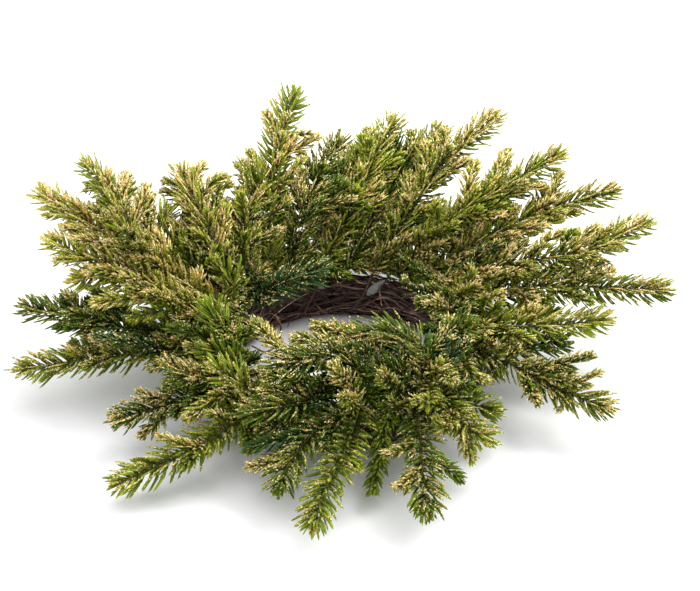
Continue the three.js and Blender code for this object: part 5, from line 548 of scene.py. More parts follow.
        ("s", 0.39, 0.38, 46.8, 122.5, 69.5, 45.2, 138.5, 85.0, 46.4, 153.3, 101.8),
        ("s", 0.34, 0.48, 48.1, 123.2, 71.5, 45.3, 126.4, 85.4, 45.6, 130.2, 99.4),
        ("s", 0.45, 0.30, 61.7, 131.3, 92.5, 60.3, 150.3, 106.1, 62.0, 167.6, 121.6),
        ("s", 0.51, 0.87, 63.0, 132.1, 94.5, 60.2, 129.8, 106.2, 60.2, 129.4, 118.5),
        ("s", 0.17, 0.60, 66.7, 134.8, 99.5, 65.0, 153.0, 111.3, 66.5, 170.5, 124.1),
        ("s", 0.45, 0.29, 78.2, 146.1, 111.8, 76.9, 167.7, 120.9, 78.8, 188.4, 131.6),
        ("s", 0.15, 1.06, 79.6, 147.5, 113.4, 76.4, 149.6, 125.9, 76.5, 153.8, 138.3),
        ("s", 0.19, 0.53, 84.5, 152.3, 118.5, 81.6, 170.1, 133.4, 82.2, 187.7, 148.8),
        ("s", 0.52, 0.96, 86.5, 154.2, 120.7, 104.1, 152.1, 132.8, 121.3, 153.2, 145.7),
        ("s", 0.36, 0.59, 95.1, 162.7, 129.9, 91.1, 181.7, 139.4, 90.6, 200.3, 150.3),
        ("s", 0.34, 0.89, 96.5, 164.1, 131.4, 100.1, 161.0, 144.1, 105.4, 161.2, 156.4),
        ("s", 0.43, 0.82, 100.8, 168.3, 136.0, 99.7, 186.0, 143.9, 101.3, 203.0, 153.1),
        ("s", 0.41, 0.57, 102.8, 170.2, 138.1, 114.9, 166.8, 148.3, 127.1, 166.1, 159.0),
        ("s", 0.68, 0.14, 60.9, 135.1, 77.1, 84.7, 134.2, 76.2, 108.3, 137.6, 74.4),
        ("s", 0.53, 0.14, 63.2, 137.7, 76.5, 62.1, 161.2, 75.6, 64.8, 184.4, 73.9),
        ("s", 0.65, 0.11, 69.3, 144.8, 74.8, 67.7, 167.5, 73.6, 69.7, 190.2, 71.6),
        ("s", 0.50, 0.22, 71.6, 147.4, 74.1, 90.6, 148.6, 75.6, 109.3, 152.9, 76.1),
        ("s", 0.66, 1.06, 73.2, 149.2, 73.7, 79.8, 161.5, 81.5, 88.0, 174.4, 86.3),
        ("s", 0.59, 0.19, 78.3, 155.1, 72.2, 97.5, 157.6, 69.9, 116.1, 163.0, 67.1),
        ("s", 0.51, 0.11, 80.5, 157.7, 71.6, 81.2, 176.8, 68.7, 84.6, 195.5, 65.6),
        ("s", 0.62, 0.27, 86.5, 165.7, 69.6, 77.6, 184.4, 66.1, 71.7, 204.1, 62.0),
        ("s", 0.42, 0.13, 87.1, 169.0, 68.5, 99.5, 177.7, 69.0, 110.6, 188.0, 68.4),
        ("s", 0.56, 0.15, 87.5, 171.4, 67.8, 90.2, 180.0, 75.3, 92.9, 190.5, 79.9),
        ("s", 0.35, 0.30, 34.2, 114.9, 49.9, 17.3, 128.9, 48.9, 4.4, 146.6, 48.1),
        ("s", 0.52, 0.62, 37.1, 116.7, 54.5, 27.4, 136.7, 47.7, 21.1, 158.9, 44.9),
        ("s", 0.47, 0.84, 35.8, 115.9, 52.3, 28.3, 128.1, 58.5, 22.7, 141.6, 64.0),
        ("s", 0.48, 1.01, 32.5, 113.9, 47.3, 13.8, 122.4, 43.5, -3.4, 133.7, 38.8),
        ("s", 0.25, 0.54, 35.7, 115.8, 52.3, 35.6, 135.1, 39.8, 37.4, 157.1, 33.1),
        ("s", 0.57, 0.94, 33.6, 114.6, 49.1, 52.3, 118.3, 43.9, 69.7, 126.1, 39.5),
        ("s", 0.48, 0.50, 37.5, 116.9, 55.0, 54.2, 125.0, 48.6, 69.8, 136.6, 45.6),
        ("s", 0.50, 0.61, 36.5, 116.3, 53.5, 50.5, 121.6, 63.2, 64.1, 129.4, 71.9),
        ("s", 0.46, 0.21, 32.9, 114.2, 47.9, 54.6, 110.7, 41.1, 76.6, 110.7, 33.6),
        ("s", 0.48, 1.06, 35.7, 115.8, 52.3, 47.1, 130.2, 41.6, 58.4, 147.4, 36.1),
    ]),
    "spray_15": (58, [
        ("m", 0.25, 0.60, 55.8, 109.6, 46.0, 98.0, 107.5, 98.0, 155.5, 130.2, 128.0, 215.5, 168.6, 146.0),
        ("s", 0.25, 0.60, 133.0, 121.3, 116.2, 151.6, 148.3, 138.0, 160.3, 169.0, 148.0),
        ("s", 0.10, 0.95, 115.5, 114.4, 107.1, 122.2, 134.9, 132.0, 128.9, 157.4, 142.0),
        ("s", 0.15, 0.90, 129.5, 119.9, 114.4, 167.4, 121.8, 126.0, 194.7, 130.2, 128.0),
        ("m", 0.70, 0.20, 108.5, 111.6, 103.5, 146.4, 128.1, 114.0, 178.8, 153.4, 118.0),
        ("s", 0.10, 0.90, 95.3, 107.6, 94.7, 130.3, 121.1, 96.0, 149.8, 141.5, 98.0),
        ("m", 0.60, 0.15, 75.6, 108.6, 70.4, 94.3, 121.0, 74.0, 124.8, 148.5, 72.0, 147.7, 194.9, 60.0),
        ("s", 0.19, 1.05, 63.4, 109.2, 55.3, 75.4, 125.0, 69.0, 88.7, 137.7, 84.5),
        ("s", 0.32, 0.91, 65.6, 109.1, 58.0, 75.1, 90.6, 68.0, 86.5, 74.9, 80.5),
        ("s", 0.19, 1.13, 71.7, 108.8, 65.6, 83.7, 90.8, 79.9, 97.2, 75.9, 96.1),
        ("s", 0.22, 1.12, 75.5, 108.6, 70.3, 71.7, 108.0, 81.8, 71.4, 107.3, 94.0),
        ("s", 0.26, 0.51, 82.3, 108.3, 78.7, 86.4, 94.4, 92.7, 92.8, 82.7, 108.0),
        ("s", 0.08, 0.25, 89.7, 107.9, 87.8, 97.6, 89.5, 101.9, 107.7, 74.0, 118.1),
        ("s", 0.12, 0.41, 93.5, 107.7, 92.4, 88.8, 109.6, 106.8, 88.5, 110.8, 122.0),
        ("s", 0.16, 0.20, 102.5, 109.3, 100.3, 117.5, 99.0, 113.0, 133.9, 92.0, 126.0),
        ("s", 0.15, 1.11, 111.2, 112.7, 104.9, 132.8, 100.6, 110.3, 155.8, 92.5, 117.3),
        ("s", 0.21, 0.49, 116.2, 114.7, 107.5, 121.5, 112.1, 121.9, 129.9, 111.9, 135.1),
        ("s", 0.27, 0.34, 124.7, 118.0, 111.9, 142.9, 107.1, 116.1, 162.4, 99.6, 121.9),
        ("s", 0.14, 0.36, 138.5, 123.5, 119.1, 141.0, 127.2, 129.8, 146.0, 131.2, 139.4),
        ("s", 0.26, 1.12, 145.7, 126.4, 122.9, 151.7, 145.2, 135.2, 161.0, 162.5, 147.7),
        ("s", 0.34, 1.08, 148.6, 127.5, 124.4, 162.3, 120.0, 132.0, 176.9, 115.2, 140.0),
        ("s", 0.73, 1.08, 119.1, 116.3, 106.4, 124.0, 135.9, 109.3, 132.3, 154.3, 113.0),
        ("s", 0.75, 0.20, 122.2, 117.6, 107.3, 134.8, 110.9, 112.3, 148.3, 106.6, 117.3),
        ("s", 0.52, 0.13, 133.1, 122.3, 110.3, 146.0, 114.2, 117.4, 160.4, 108.9, 124.3),
        ("s", 0.61, 0.97, 136.2, 123.7, 111.2, 141.2, 135.9, 115.5, 148.1, 147.2, 119.8),
        ("s", 0.65, 0.16, 138.4, 124.6, 111.8, 144.4, 128.0, 121.8, 152.3, 132.0, 130.1),
        ("s", 0.40, 0.99, 85.5, 115.1, 72.3, 90.6, 135.4, 77.7, 98.9, 154.6, 83.0),
        ("s", 0.58, 0.11, 88.3, 117.0, 72.8, 108.6, 113.7, 77.7, 129.2, 113.6, 82.5),
        ("s", 0.45, 1.13, 96.9, 123.3, 73.8, 120.9, 124.7, 73.5, 144.6, 129.5, 73.0),
        ("s", 0.51, 1.18, 99.5, 125.7, 73.7, 99.0, 142.0, 76.0, 101.4, 158.2, 77.7),
        ("s", 0.68, 0.19, 101.3, 127.3, 73.5, 103.4, 136.1, 83.3, 108.4, 146.0, 90.6),
        ("s", 0.64, 0.17, 107.4, 132.8, 73.1, 108.6, 149.5, 73.2, 112.4, 165.7, 73.0),
        ("s", 0.49, 0.17, 110.0, 135.1, 73.0, 125.6, 133.3, 71.2, 141.2, 134.1, 69.6),
        ("s", 0.40, 1.05, 58.7, 109.4, 49.6, 48.5, 122.9, 46.0, 42.0, 138.6, 42.8),
        ("s", 0.27, 0.54, 61.5, 109.3, 53.0, 56.4, 131.4, 45.5, 55.3, 155.0, 42.2),
        ("s", 0.28, 0.32, 60.8, 109.3, 52.2, 56.5, 122.3, 60.5, 54.3, 136.3, 67.9),
        ("s", 0.25, 1.17, 56.5, 109.5, 46.9, 38.2, 123.9, 40.0, 22.1, 140.9, 33.3),
        ("s", 0.20, 1.18, 61.3, 109.3, 52.8, 65.4, 127.5, 40.4, 71.9, 147.7, 33.7),
        ("s", 0.02, 0.20, 57.7, 109.5, 48.4, 76.1, 107.8, 43.9, 94.5, 110.6, 40.0),
        ("s", 0.03, 0.45, 63.0, 109.2, 54.8, 82.9, 113.8, 45.5, 102.9, 122.6, 40.5),
        ("s", 0.19, 0.26, 62.1, 109.3, 53.7, 78.5, 111.5, 60.8, 94.6, 116.2, 67.1),
        ("s", 0.09, 0.20, 57.1, 109.5, 47.6, 77.2, 98.6, 40.6, 98.9, 90.8, 33.7),
        ("s", 0.04, 1.08, 61.2, 109.3, 52.7, 74.2, 119.7, 38.5, 88.7, 133.8, 30.0),
    ]),
    "spray_16": (42, [
        ("m", 0.38, 0.75, 78.6, 96.6, 48.0, 140.5, 96.8, 92.0, 208.0, 119.7, 112.0, 266.9, 131.7, 124.0),
        ("s", 0.15, 0.85, 190.7, 113.8, 106.9, 204.0, 125.9, 126.0, 210.8, 151.6, 132.0),
        ("s", 0.30, 0.50, 167.5, 106.0, 100.0, 193.5, 112.4, 104.0, 219.5, 124.1, 102.0),
        ("s", 0.50, 0.30, 148.3, 99.4, 94.3, 157.8, 111.4, 110.0, 165.1, 122.0, 114.0),
        ("s", 0.30, 0.50, 130.2, 96.7, 84.7, 150.9, 107.5, 86.0, 188.7, 122.5, 82.0),
        ("s", 0.80, 0.20, 95.8, 96.7, 60.2, 113.2, 102.8, 60.0, 174.9, 152.1, 52.0),
        ("s", 0.70, 0.30, 90.0, 96.6, 56.1, 82.6, 58.5, 66.0, 67.8, 70.7, 72.0, 55.2, 96.9, 70.0),
        ("s", 0.10, 0.95, 104.4, 96.7, 66.4, 117.4, 102.5, 80.0, 123.3, 127.2, 86.0),
        ("s", 0.24, 1.01, 91.2, 96.6, 57.0, 100.1, 82.6, 66.9, 111.1, 71.0, 77.7),
        ("s", 0.38, 0.97, 99.1, 96.7, 62.6, 111.2, 81.3, 74.6, 125.3, 68.7, 87.6),
        ("s", 0.36, 0.94, 104.0, 96.7, 66.1, 104.0, 94.0, 79.2, 107.8, 92.0, 92.0),
        ("s", 0.35, 0.59, 113.8, 96.7, 73.0, 124.8, 80.4, 79.9, 138.0, 66.9, 88.6),
        ("s", 0.42, 0.71, 124.5, 96.7, 80.7, 135.7, 79.0, 89.9, 149.3, 64.3, 100.8),
        ("s", 0.32, 1.06, 129.4, 96.7, 84.1, 130.1, 102.0, 97.1, 134.5, 106.0, 109.7),
        ("s", 0.54, 1.20, 140.3, 96.8, 91.9, 152.9, 80.4, 99.5, 167.5, 66.9, 108.8),
        ("s", 0.18, 1.09, 152.5, 100.8, 95.6, 173.1, 90.4, 102.5, 195.1, 83.5, 109.7),
        ("s", 0.19, 0.96, 157.9, 102.7, 97.2, 160.9, 106.4, 108.0, 166.9, 110.4, 117.4),
        ("s", 0.07, 0.40, 168.4, 106.2, 100.3, 188.8, 97.8, 106.0, 210.2, 92.6, 112.1),
        ("s", 0.09, 0.57, 179.7, 110.1, 103.6, 195.5, 101.7, 111.0, 212.5, 96.1, 118.3),
        ("s", 0.29, 0.94, 182.9, 111.2, 104.6, 189.6, 128.1, 112.6, 199.4, 143.6, 120.5),
        ("s", 0.35, 1.20, 185.2, 111.9, 105.2, 191.6, 108.3, 117.2, 200.9, 107.1, 127.6),
        ("s", 0.25, 0.58, 194.6, 115.1, 108.0, 210.1, 108.2, 110.2, 226.3, 103.6, 113.1),
        ("s", 0.17, 0.39, 84.0, 96.6, 51.8, 80.4, 115.1, 47.2, 81.0, 134.1, 43.2),
        ("s", 0.27, 1.20, 88.5, 96.6, 55.1, 89.5, 115.8, 46.7, 94.4, 135.7, 42.3),
        ("s", 0.32, 0.35, 84.4, 96.6, 52.1, 83.9, 108.4, 61.1, 85.5, 120.7, 69.1),
        ("s", 0.38, 0.68, 80.6, 96.6, 49.5, 69.4, 114.5, 42.1, 61.0, 133.9, 35.0),
        ("s", 0.25, 0.95, 82.7, 96.6, 50.9, 92.0, 113.5, 35.6, 104.8, 132.5, 26.6),
        ("s", 0.44, 1.18, 83.9, 96.6, 51.8, 102.7, 88.6, 49.6, 122.9, 85.2, 47.7),
        ("s", 0.26, 0.37, 87.3, 96.6, 54.2, 104.1, 95.8, 47.6, 121.6, 98.1, 44.4),
        ("s", 0.20, 0.50, 86.3, 96.6, 53.4, 98.1, 94.9, 59.7, 110.4, 95.0, 65.3),
        ("s", 0.37, 0.48, 80.0, 96.6, 49.0, 99.2, 80.5, 39.2, 120.8, 67.5, 29.7),
        ("s", 0.47, 0.32, 82.8, 96.6, 51.0, 100.5, 104.1, 35.8, 120.7, 114.8, 27.0),
    ]),
    "spray_17": (28, [
        ("m", 0.36, 0.80, 92.8, 71.4, 54.0, 157.0, 57.5, 84.0, 221.5, 55.6, 98.0, 292.8, 95.6, 110.0),
        ("s", 0.20, 0.70, 172.8, 57.0, 87.4, 189.1, 62.0, 104.0, 211.4, 74.2, 110.0),
        ("s", 0.25, 0.40, 190.1, 56.5, 91.2, 203.7, 60.2, 90.0, 226.2, 67.1, 86.0),
        ("s", 0.90, 0.25, 112.5, 67.1, 63.2, 129.0, 62.3, 92.0, 163.1, 72.6, 98.0),
        ("s", 0.30, 0.50, 151.7, 58.6, 81.5, 161.9, 52.1, 72.0, 194.6, 69.7, 66.0),
        ("s", 0.50, 0.80, 132.1, 62.9, 72.3, 135.7, 17.9, 90.0, 153.7, 18.7, 98.0),
        ("s", 0.15, 0.97, 106.6, 68.4, 60.4, 119.7, 51.7, 65.4, 134.8, 37.2, 71.5),
        ("s", 0.61, 1.20, 117.4, 66.1, 65.5, 128.0, 48.6, 78.3, 141.7, 33.2, 91.1),
        ("s", 0.28, 1.05, 122.7, 64.9, 67.9, 126.1, 65.3, 81.9, 133.0, 64.6, 94.5),
        ("s", 0.28, 1.04, 130.7, 63.2, 71.7, 146.3, 75.7, 84.0, 164.0, 84.9, 96.3),
        ("s", 0.33, 0.71, 143.2, 60.5, 77.5, 152.5, 40.0, 84.1, 165.2, 21.8, 91.8),
        ("s", 0.41, 0.39, 146.3, 59.8, 79.0, 160.3, 69.7, 88.4, 175.8, 76.9, 98.0),
        ("s", 0.22, 1.17, 148.5, 59.3, 80.0, 153.7, 62.1, 91.8, 161.4, 63.4, 102.3),
        ("s", 0.23, 0.47, 157.7, 57.5, 84.1, 168.1, 42.4, 89.2, 180.4, 29.3, 95.1),
        ("s", 0.36, 0.62, 175.5, 56.9, 88.0, 180.1, 52.9, 100.0, 188.2, 49.7, 110.2),
        ("s", 0.34, 0.29, 204.1, 56.1, 94.2, 209.1, 60.7, 107.4, 218.0, 64.2, 118.8),
        ("s", 0.19, 1.15, 211.6, 55.9, 95.9, 225.3, 72.9, 103.0, 242.0, 86.9, 110.0),
        ("s", 0.21, 1.04, 215.0, 55.8, 96.6, 227.0, 44.8, 99.8, 240.4, 35.8, 103.2),
        ("s", 0.26, 0.62, 227.3, 58.8, 99.0, 244.1, 52.9, 104.4, 261.9, 50.1, 109.6),
        ("s", 0.25, 0.58, 230.3, 60.5, 99.5, 236.5, 77.3, 100.7, 245.1, 92.9, 102.3),
        ("s", 0.35, 0.52, 232.5, 61.7, 99.8, 241.7, 61.1, 110.6, 252.7, 62.9, 119.3),
        ("s", 0.25, 1.12, 97.8, 70.3, 56.3, 97.0, 88.6, 52.7, 100.5, 106.6, 49.6),
        ("s", 0.29, 0.47, 103.9, 69.0, 59.2, 110.3, 89.9, 49.8, 121.1, 110.5, 44.8),
        ("s", 0.30, 0.38, 99.9, 69.9, 57.3, 102.9, 84.4, 65.7, 108.3, 98.8, 73.1),
        ("s", 0.31, 1.12, 95.6, 70.8, 55.3, 81.9, 76.9, 63.6, 68.8, 85.5, 70.4),
        ("s", 0.14, 1.10, 98.8, 70.1, 56.8, 114.3, 58.1, 51.8, 132.4, 50.1, 47.5),
        ("s", 0.33, 1.05, 100.0, 69.9, 57.3, 120.8, 63.5, 52.0, 143.0, 60.8, 50.3),
        ("s", 0.14, 1.20, 98.6, 70.2, 56.7, 110.7, 65.2, 65.8, 124.1, 62.1, 74.0),
        ("s", 0.16, 1.20, 95.9, 70.7, 55.4, 94.6, 57.1, 64.7, 95.5, 42.3, 72.3),
        ("s", 0.16, 0.56, 97.7, 70.3, 56.3, 90.8, 62.9, 64.2, 83.4, 55.0, 71.3),
    ]),
    "spray_18": (12, [
        ("m", 0.50, 0.65, 99.2, 41.4, 50.0, 165.3, 35.6, 72.0, 238.1, 25.5, 78.0, 304.7, 14.9, 80.0),
        ("s", 0.65, 0.50, 210.9, 29.3, 75.8, 226.4, 26.9, 90.0, 242.2, 23.9, 96.0),
        ("s", 0.10, 0.50, 183.8, 33.0, 73.5, 203.5, 26.5, 72.0, 221.1, 26.3, 70.0),
        ("s", 0.10, 0.95, 139.2, 37.9, 63.3, 131.0, -4.3, 82.0, 147.9, -3.5, 90.0),
        ("s", 0.15, 0.90, 112.5, 40.2, 54.4, 110.3, 14.5, 76.0, 125.7, 5.5, 92.0),
        ("s", 0.20, 0.20, 159.1, 36.1, 69.9, 166.0, 35.1, 56.0, 196.0, 51.6, 46.0),
        ("s", 0.70, 0.30, 112.5, 40.2, 54.4, 81.9, 36.6, 66.0, 64.5, 20.1, 78.0, 55.4, 31.9, 86.0),
        ("m", 0.65, 0.50, 112.5, 40.2, 54.4, 97.2, 4.7, 68.0, 104.0, -39.4, 76.0, 105.5, -79.0, 80.0),
        ("s", 0.20, 0.90, 115.2, 40.0, 55.3, 118.6, 34.8, 80.0, 119.1, 50.8, 90.0),
        ("s", 0.55, 0.89, 126.8, 39.0, 59.2, 137.0, 25.0, 66.6, 149.6, 13.1, 74.1),
        ("s", 0.22, 0.29, 129.2, 38.8, 60.0, 134.1, 35.2, 69.7, 141.4, 32.2, 78.1),
        ("s", 0.30, 0.42, 142.0, 37.6, 64.3, 153.1, 50.5, 72.9, 166.6, 60.8, 81.5),
        ("s", 0.38, 0.95, 154.0, 36.6, 68.3, 166.6, 18.2, 72.2, 182.1, 2.5, 77.1),
        ("s", 0.37, 0.40, 156.4, 36.4, 69.0, 161.6, 30.2, 81.7, 170.3, 25.2, 92.7),
        ("s", 0.51, 0.25, 166.7, 35.4, 72.1, 179.5, 18.2, 73.4, 195.0, 3.4, 75.1),
        ("s", 0.41, 0.33, 179.8, 33.6, 73.2, 198.4, 49.5, 81.0, 219.7, 61.9, 88.0),
        ("s", 0.35, 0.30, 195.2, 31.4, 74.5, 210.5, 10.3, 76.8, 229.1, -7.9, 79.2),
        ("s", 0.38, 0.56, 198.6, 31.0, 74.7, 215.0, 45.7, 81.1, 233.9, 57.3, 86.8),
        ("s", 0.49, 0.85, 208.5, 29.6, 75.6, 225.8, 46.5, 80.3, 246.0, 59.8, 84.8),
        ("s", 0.49, 1.00, 214.4, 28.8, 76.0, 219.7, 23.4, 86.5, 228.1, 18.6, 94.9),
        ("s", 0.40, 1.10, 224.8, 27.3, 76.9, 238.2, 37.8, 82.1, 253.4, 46.0, 86.7),
        ("s", 0.52, 0.13, 108.0, 29.8, 58.4, 119.1, 13.5, 68.5, 126.5, -4.8, 78.8),
        ("s", 0.52, 1.09, 106.7, 26.8, 59.5, 85.7, 21.0, 63.5, 66.2, 11.7, 68.5),
        ("s", 0.52, 0.38, 103.1, 18.3, 62.8, 83.9, 12.7, 69.6, 66.1, 3.7, 76.9),
        ("s", 0.58, 0.25, 101.8, 15.3, 63.9, 112.9, -1.8, 74.3, 120.3, -20.8, 84.7),
        ("s", 0.52, 0.33, 100.8, 13.1, 64.8, 96.5, 9.5, 78.0, 91.3, 2.5, 89.6),
        ("s", 0.49, 0.35, 97.4, 5.3, 67.8, 107.9, -9.5, 76.8, 115.7, -26.0, 85.6),
        ("s", 0.51, 1.04, 97.6, 1.9, 68.5, 84.6, -3.7, 75.2, 73.0, -11.9, 81.9),
        ("s", 0.38, 1.05, 104.7, 40.9, 51.8, 109.4, 61.9, 50.4, 118.8, 81.3, 49.1),
        ("s", 0.39, 0.47, 107.6, 40.7, 52.8, 118.3, 57.0, 45.4, 132.4, 72.0, 41.8),
        ("s", 0.16, 0.30, 104.2, 41.0, 51.7, 110.1, 52.0, 61.3, 118.1, 62.6, 69.9),
        ("s", 0.18, 1.03, 103.7, 41.0, 51.5, 94.9, 51.5, 59.9, 87.0, 63.7, 66.7),
        ("s", 0.34, 0.20, 103.2, 41.0, 51.3, 114.3, 25.4, 45.5, 129.1, 12.9, 40.4),
        ("s", 0.30, 0.90, 109.4, 40.5, 53.4, 125.5, 30.0, 44.6, 144.6, 22.2, 39.9),
        ("s", 0.60, 0.84, 104.4, 40.9, 51.7, 115.6, 32.1, 59.1, 128.4, 24.8, 65.7),
        ("s", 0.28, 1.07, 102.8, 41.1, 51.2, 95.4, 26.3, 64.2, 90.3, 9.5, 74.4),
        ("s", 0.36, 0.91, 102.6, 41.1, 51.1, 90.2, 43.3, 59.8, 77.1, 45.6, 67.4),
    ]),
    "spray_19": (352, [
        ("m", 0.15, 0.50, 101.6, 8.8, 46.0, 153.7, -7.3, 56.0, 203.4, -10.2, 60.0, 249.5, -4.8, 62.0),
        ("s", 0.15, 0.50, 144.4, -4.4, 54.2, 153.6, -30.8, 60.0, 174.4, -40.7, 62.0),
        ("s", 0.10, 0.80, 123.0, 2.2, 50.1, 128.8, -20.1, 64.0, 128.6, -49.8, 72.0),
        ("m", 0.75, 0.20, 114.8, 4.7, 48.5, 135.3, -19.8, 38.0, 176.9, -12.8, 40.0, 211.6, -12.5, 42.0),
        ("s", 0.10, 0.90, 114.8, 4.7, 48.5, 93.5, 4.9, 70.0, 85.2, -11.1, 84.0),
        ("s", 0.35, 0.50, 114.8, 4.7, 48.5, 98.5, -50.7, 62.0, 90.5, -104.9, 76.0),
        ("s", 0.60, 0.40, 114.8, 4.7, 48.5, 114.0, 7.4, 62.0, 132.5, 11.5, 66.0),
        ("s", 0.05, 1.00, 128.9, 0.4, 51.2, 150.2, 9.8, 54.9, 172.6, 15.8, 58.9),
        ("s", 0.14, 0.15, 131.2, -0.3, 51.7, 137.8, 0.9, 66.0, 148.0, 0.3, 78.0),
        ("s", 0.13, 0.16, 137.5, -2.3, 52.9, 158.6, 6.6, 60.1, 180.9, 12.2, 67.0),
        ("s", 0.30, 0.85, 159.2, -7.6, 56.4, 168.5, -5.0, 67.8, 180.4, -3.3, 76.6),
        ("s", 0.00, 0.15, 166.2, -8.0, 57.0, 183.8, 4.7, 58.7, 203.0, 14.7, 60.5),
        ("s", 0.55, 0.77, 122.1, -4.0, 44.8, 118.3, -24.5, 43.1, 118.1, -45.2, 39.7),
        ("s", 0.79, 0.15, 124.2, -6.6, 43.7, 146.7, -6.6, 41.9, 168.6, -10.5, 38.8),
        ("s", 0.72, 0.83, 131.7, -15.6, 39.8, 153.0, -16.8, 38.9, 173.6, -21.4, 36.6),
        ("s", 0.67, 0.13, 135.4, -19.8, 38.0, 144.5, -19.5, 45.0, 154.8, -20.5, 49.7),
        ("s", 0.20, 0.19, 105.6, 7.6, 46.8, 116.5, 23.0, 44.2, 130.6, 35.5, 42.0),
        ("s", 0.19, 0.81, 112.8, 5.4, 48.1, 130.9, 19.0, 43.0, 151.6, 29.5, 41.7),
        ("s", 0.27, 1.00, 110.9, 6.0, 47.8, 121.0, 15.1, 56.3, 132.9, 22.9, 63.9),
        ("s", 0.17, 1.00, 106.0, 7.4, 46.8, 99.5, 20.6, 55.2, 94.7, 35.4, 62.0),
        ("s", 0.12, 0.19, 105.5, 7.6, 46.7, 110.2, -13.1, 45.2, 119.8, -31.9, 43.9),
        ("s", 0.04, 0.30, 113.8, 5.1, 48.3, 126.8, -12.3, 41.7, 143.4, -27.6, 38.9),
        ("s", 0.28, 0.12, 107.2, 7.1, 47.1, 114.7, -5.1, 56.4, 124.5, -16.5, 64.8),
        ("s", 0.31, 0.18, 106.2, 7.4, 46.9, 98.7, -4.8, 62.2, 92.2, -18.5, 72.9),
        ("s", 0.16, 0.79, 106.7, 7.3, 47.0, 96.9, 7.0, 62.5, 86.5, 6.7, 74.2),
    ]),
    "spray_20": (336, [
        ("m", 0.45, 0.60, 94.8, -22.4, 44.0, 146.4, -52.3, 46.0, 192.7, -88.4, 40.0, 239.3, -115.3, 36.0),
        ("s", 0.70, 0.50, 156.5, -60.2, 44.7, 198.4, -74.0, 58.0, 224.2, -68.7, 64.0),
        ("s", 0.50, 0.75, 174.1, -73.9, 42.4, 208.7, -96.8, 54.0, 230.0, -90.0, 60.0),
        ("s", 0.80, 0.35, 153.8, -58.0, 45.0, 174.8, -72.9, 36.0, 170.0, -83.5, 26.0),
        ("s", 0.10, 0.95, 180.9, -79.2, 41.5, 196.5, -92.7, 28.0, 190.9, -92.0, 20.0),
        ("s", 0.50, 0.70, 124.7, -39.7, 45.2, 136.5, -56.2, 40.0, 126.0, -59.0, 30.0),
        ("m", 0.60, 0.40, 106.9, -29.4, 44.5, 94.9, -50.7, 62.0, 107.1, -49.5, 76.0, 119.6, -42.0, 86.0),
        ("s", 0.30, 0.60, 109.8, -31.1, 44.6, 112.8, -86.9, 58.0, 130.2, -93.9, 50.0),
        ("s", 0.55, 0.08, 105.2, -28.4, 44.4, 126.5, -21.6, 50.7, 149.0, -18.7, 56.2),
        ("s", 0.65, 0.71, 120.2, -37.1, 45.0, 139.4, -31.7, 48.3, 159.4, -29.7, 51.1),
        ("s", 1.00, 0.67, 122.3, -38.3, 45.1, 130.6, -40.2, 55.0, 140.5, -43.8, 62.6),
        ("s", 0.60, 0.68, 146.1, -52.1, 46.0, 152.6, -52.8, 55.5, 161.2, -55.6, 62.8),
        ("s", 0.50, 0.80, 165.0, -66.8, 43.6, 167.0, -88.1, 40.5, 172.5, -108.8, 37.4),
        ("s", 0.51, 0.10, 167.7, -68.9, 43.2, 188.4, -67.4, 44.7, 209.1, -69.0, 45.5),
        ("s", 0.57, 0.68, 169.7, -70.4, 43.0, 179.0, -72.6, 51.1, 189.3, -76.9, 56.7),
        ("s", 0.81, 0.23, 102.1, -37.9, 51.5, 90.8, -39.3, 64.3, 80.1, -43.0, 76.2),
        ("s", 0.73, 0.21, 100.7, -40.4, 53.5, 104.2, -48.2, 60.6, 106.0, -56.3, 67.9),
        ("s", 0.84, 0.80, 98.7, -24.7, 44.1, 113.8, -11.0, 45.2, 131.9, -1.4, 44.7),
        ("s", 0.48, 0.19, 103.3, -27.4, 44.3, 121.0, -20.6, 41.7, 140.3, -16.9, 41.4),
        ("s", 0.62, 0.19, 100.0, -25.4, 44.2, 114.1, -18.5, 51.5, 129.4, -13.6, 57.9),
        ("s", 0.93, 0.66, 99.8, -25.3, 44.2, 94.4, -9.4, 63.4, 91.8, 7.6, 76.4),
        ("s", 0.81, 0.66, 99.5, -25.2, 44.2, 100.1, -46.8, 44.5, 105.8, -67.7, 44.1),
        ("s", 0.69, 0.33, 103.5, -27.5, 44.3, 110.5, -45.8, 44.2, 121.3, -63.4, 44.9),
        ("s", 0.53, 0.12, 102.7, -27.0, 44.3, 106.9, -41.9, 52.3, 113.5, -56.4, 59.4),
        ("s", 0.74, 0.09, 98.1, -24.3, 44.1, 84.9, -32.9, 63.6, 72.4, -43.9, 77.2),
        ("s", 0.68, 0.74, 97.9, -24.2, 44.1, 89.5, -19.8, 62.1, 80.5, -15.1, 75.2),
    ]),
    "spray_21": (316, [
        ("m", 0.30, 0.50, 78.2, -78.3, 46.0, 92.4, -119.2, 46.0, 111.5, -152.7, 42.0, 131.3, -166.2, 38.0),
        ("m", 0.52, 0.20, 86.9, -103.4, 46.0, 112.1, -110.4, 40.0, 141.2, -111.0, 32.0),
        ("s", 0.15, 0.60, 102.5, -137.0, 43.9, 107.9, -165.2, 30.0, 112.7, -174.4, 22.0),
        ("s", 0.05, 0.35, 88.7, -108.5, 46.0, 77.5, -139.9, 58.0, 59.2, -145.5, 68.0),
        ("s", 0.80, 0.20, 90.4, -113.5, 46.0, 101.0, -115.5, 56.0, 111.5, -108.7, 64.0),
        ("s", 0.10, 0.70, 97.3, -127.8, 45.0, 87.1, -161.2, 50.0, 76.7, -160.8, 60.0),
        ("s", 0.50, 0.11, 82.2, -89.7, 46.0, 102.7, -97.4, 50.4, 121.5, -108.7, 54.0),
        ("s", 0.45, 0.54, 83.3, -93.0, 46.0, 75.9, -109.7, 46.6, 71.2, -127.3, 47.1),
        ("s", 0.87, 0.05, 98.2, -106.5, 43.3, 108.1, -101.3, 41.3, 118.7, -97.6, 39.1),
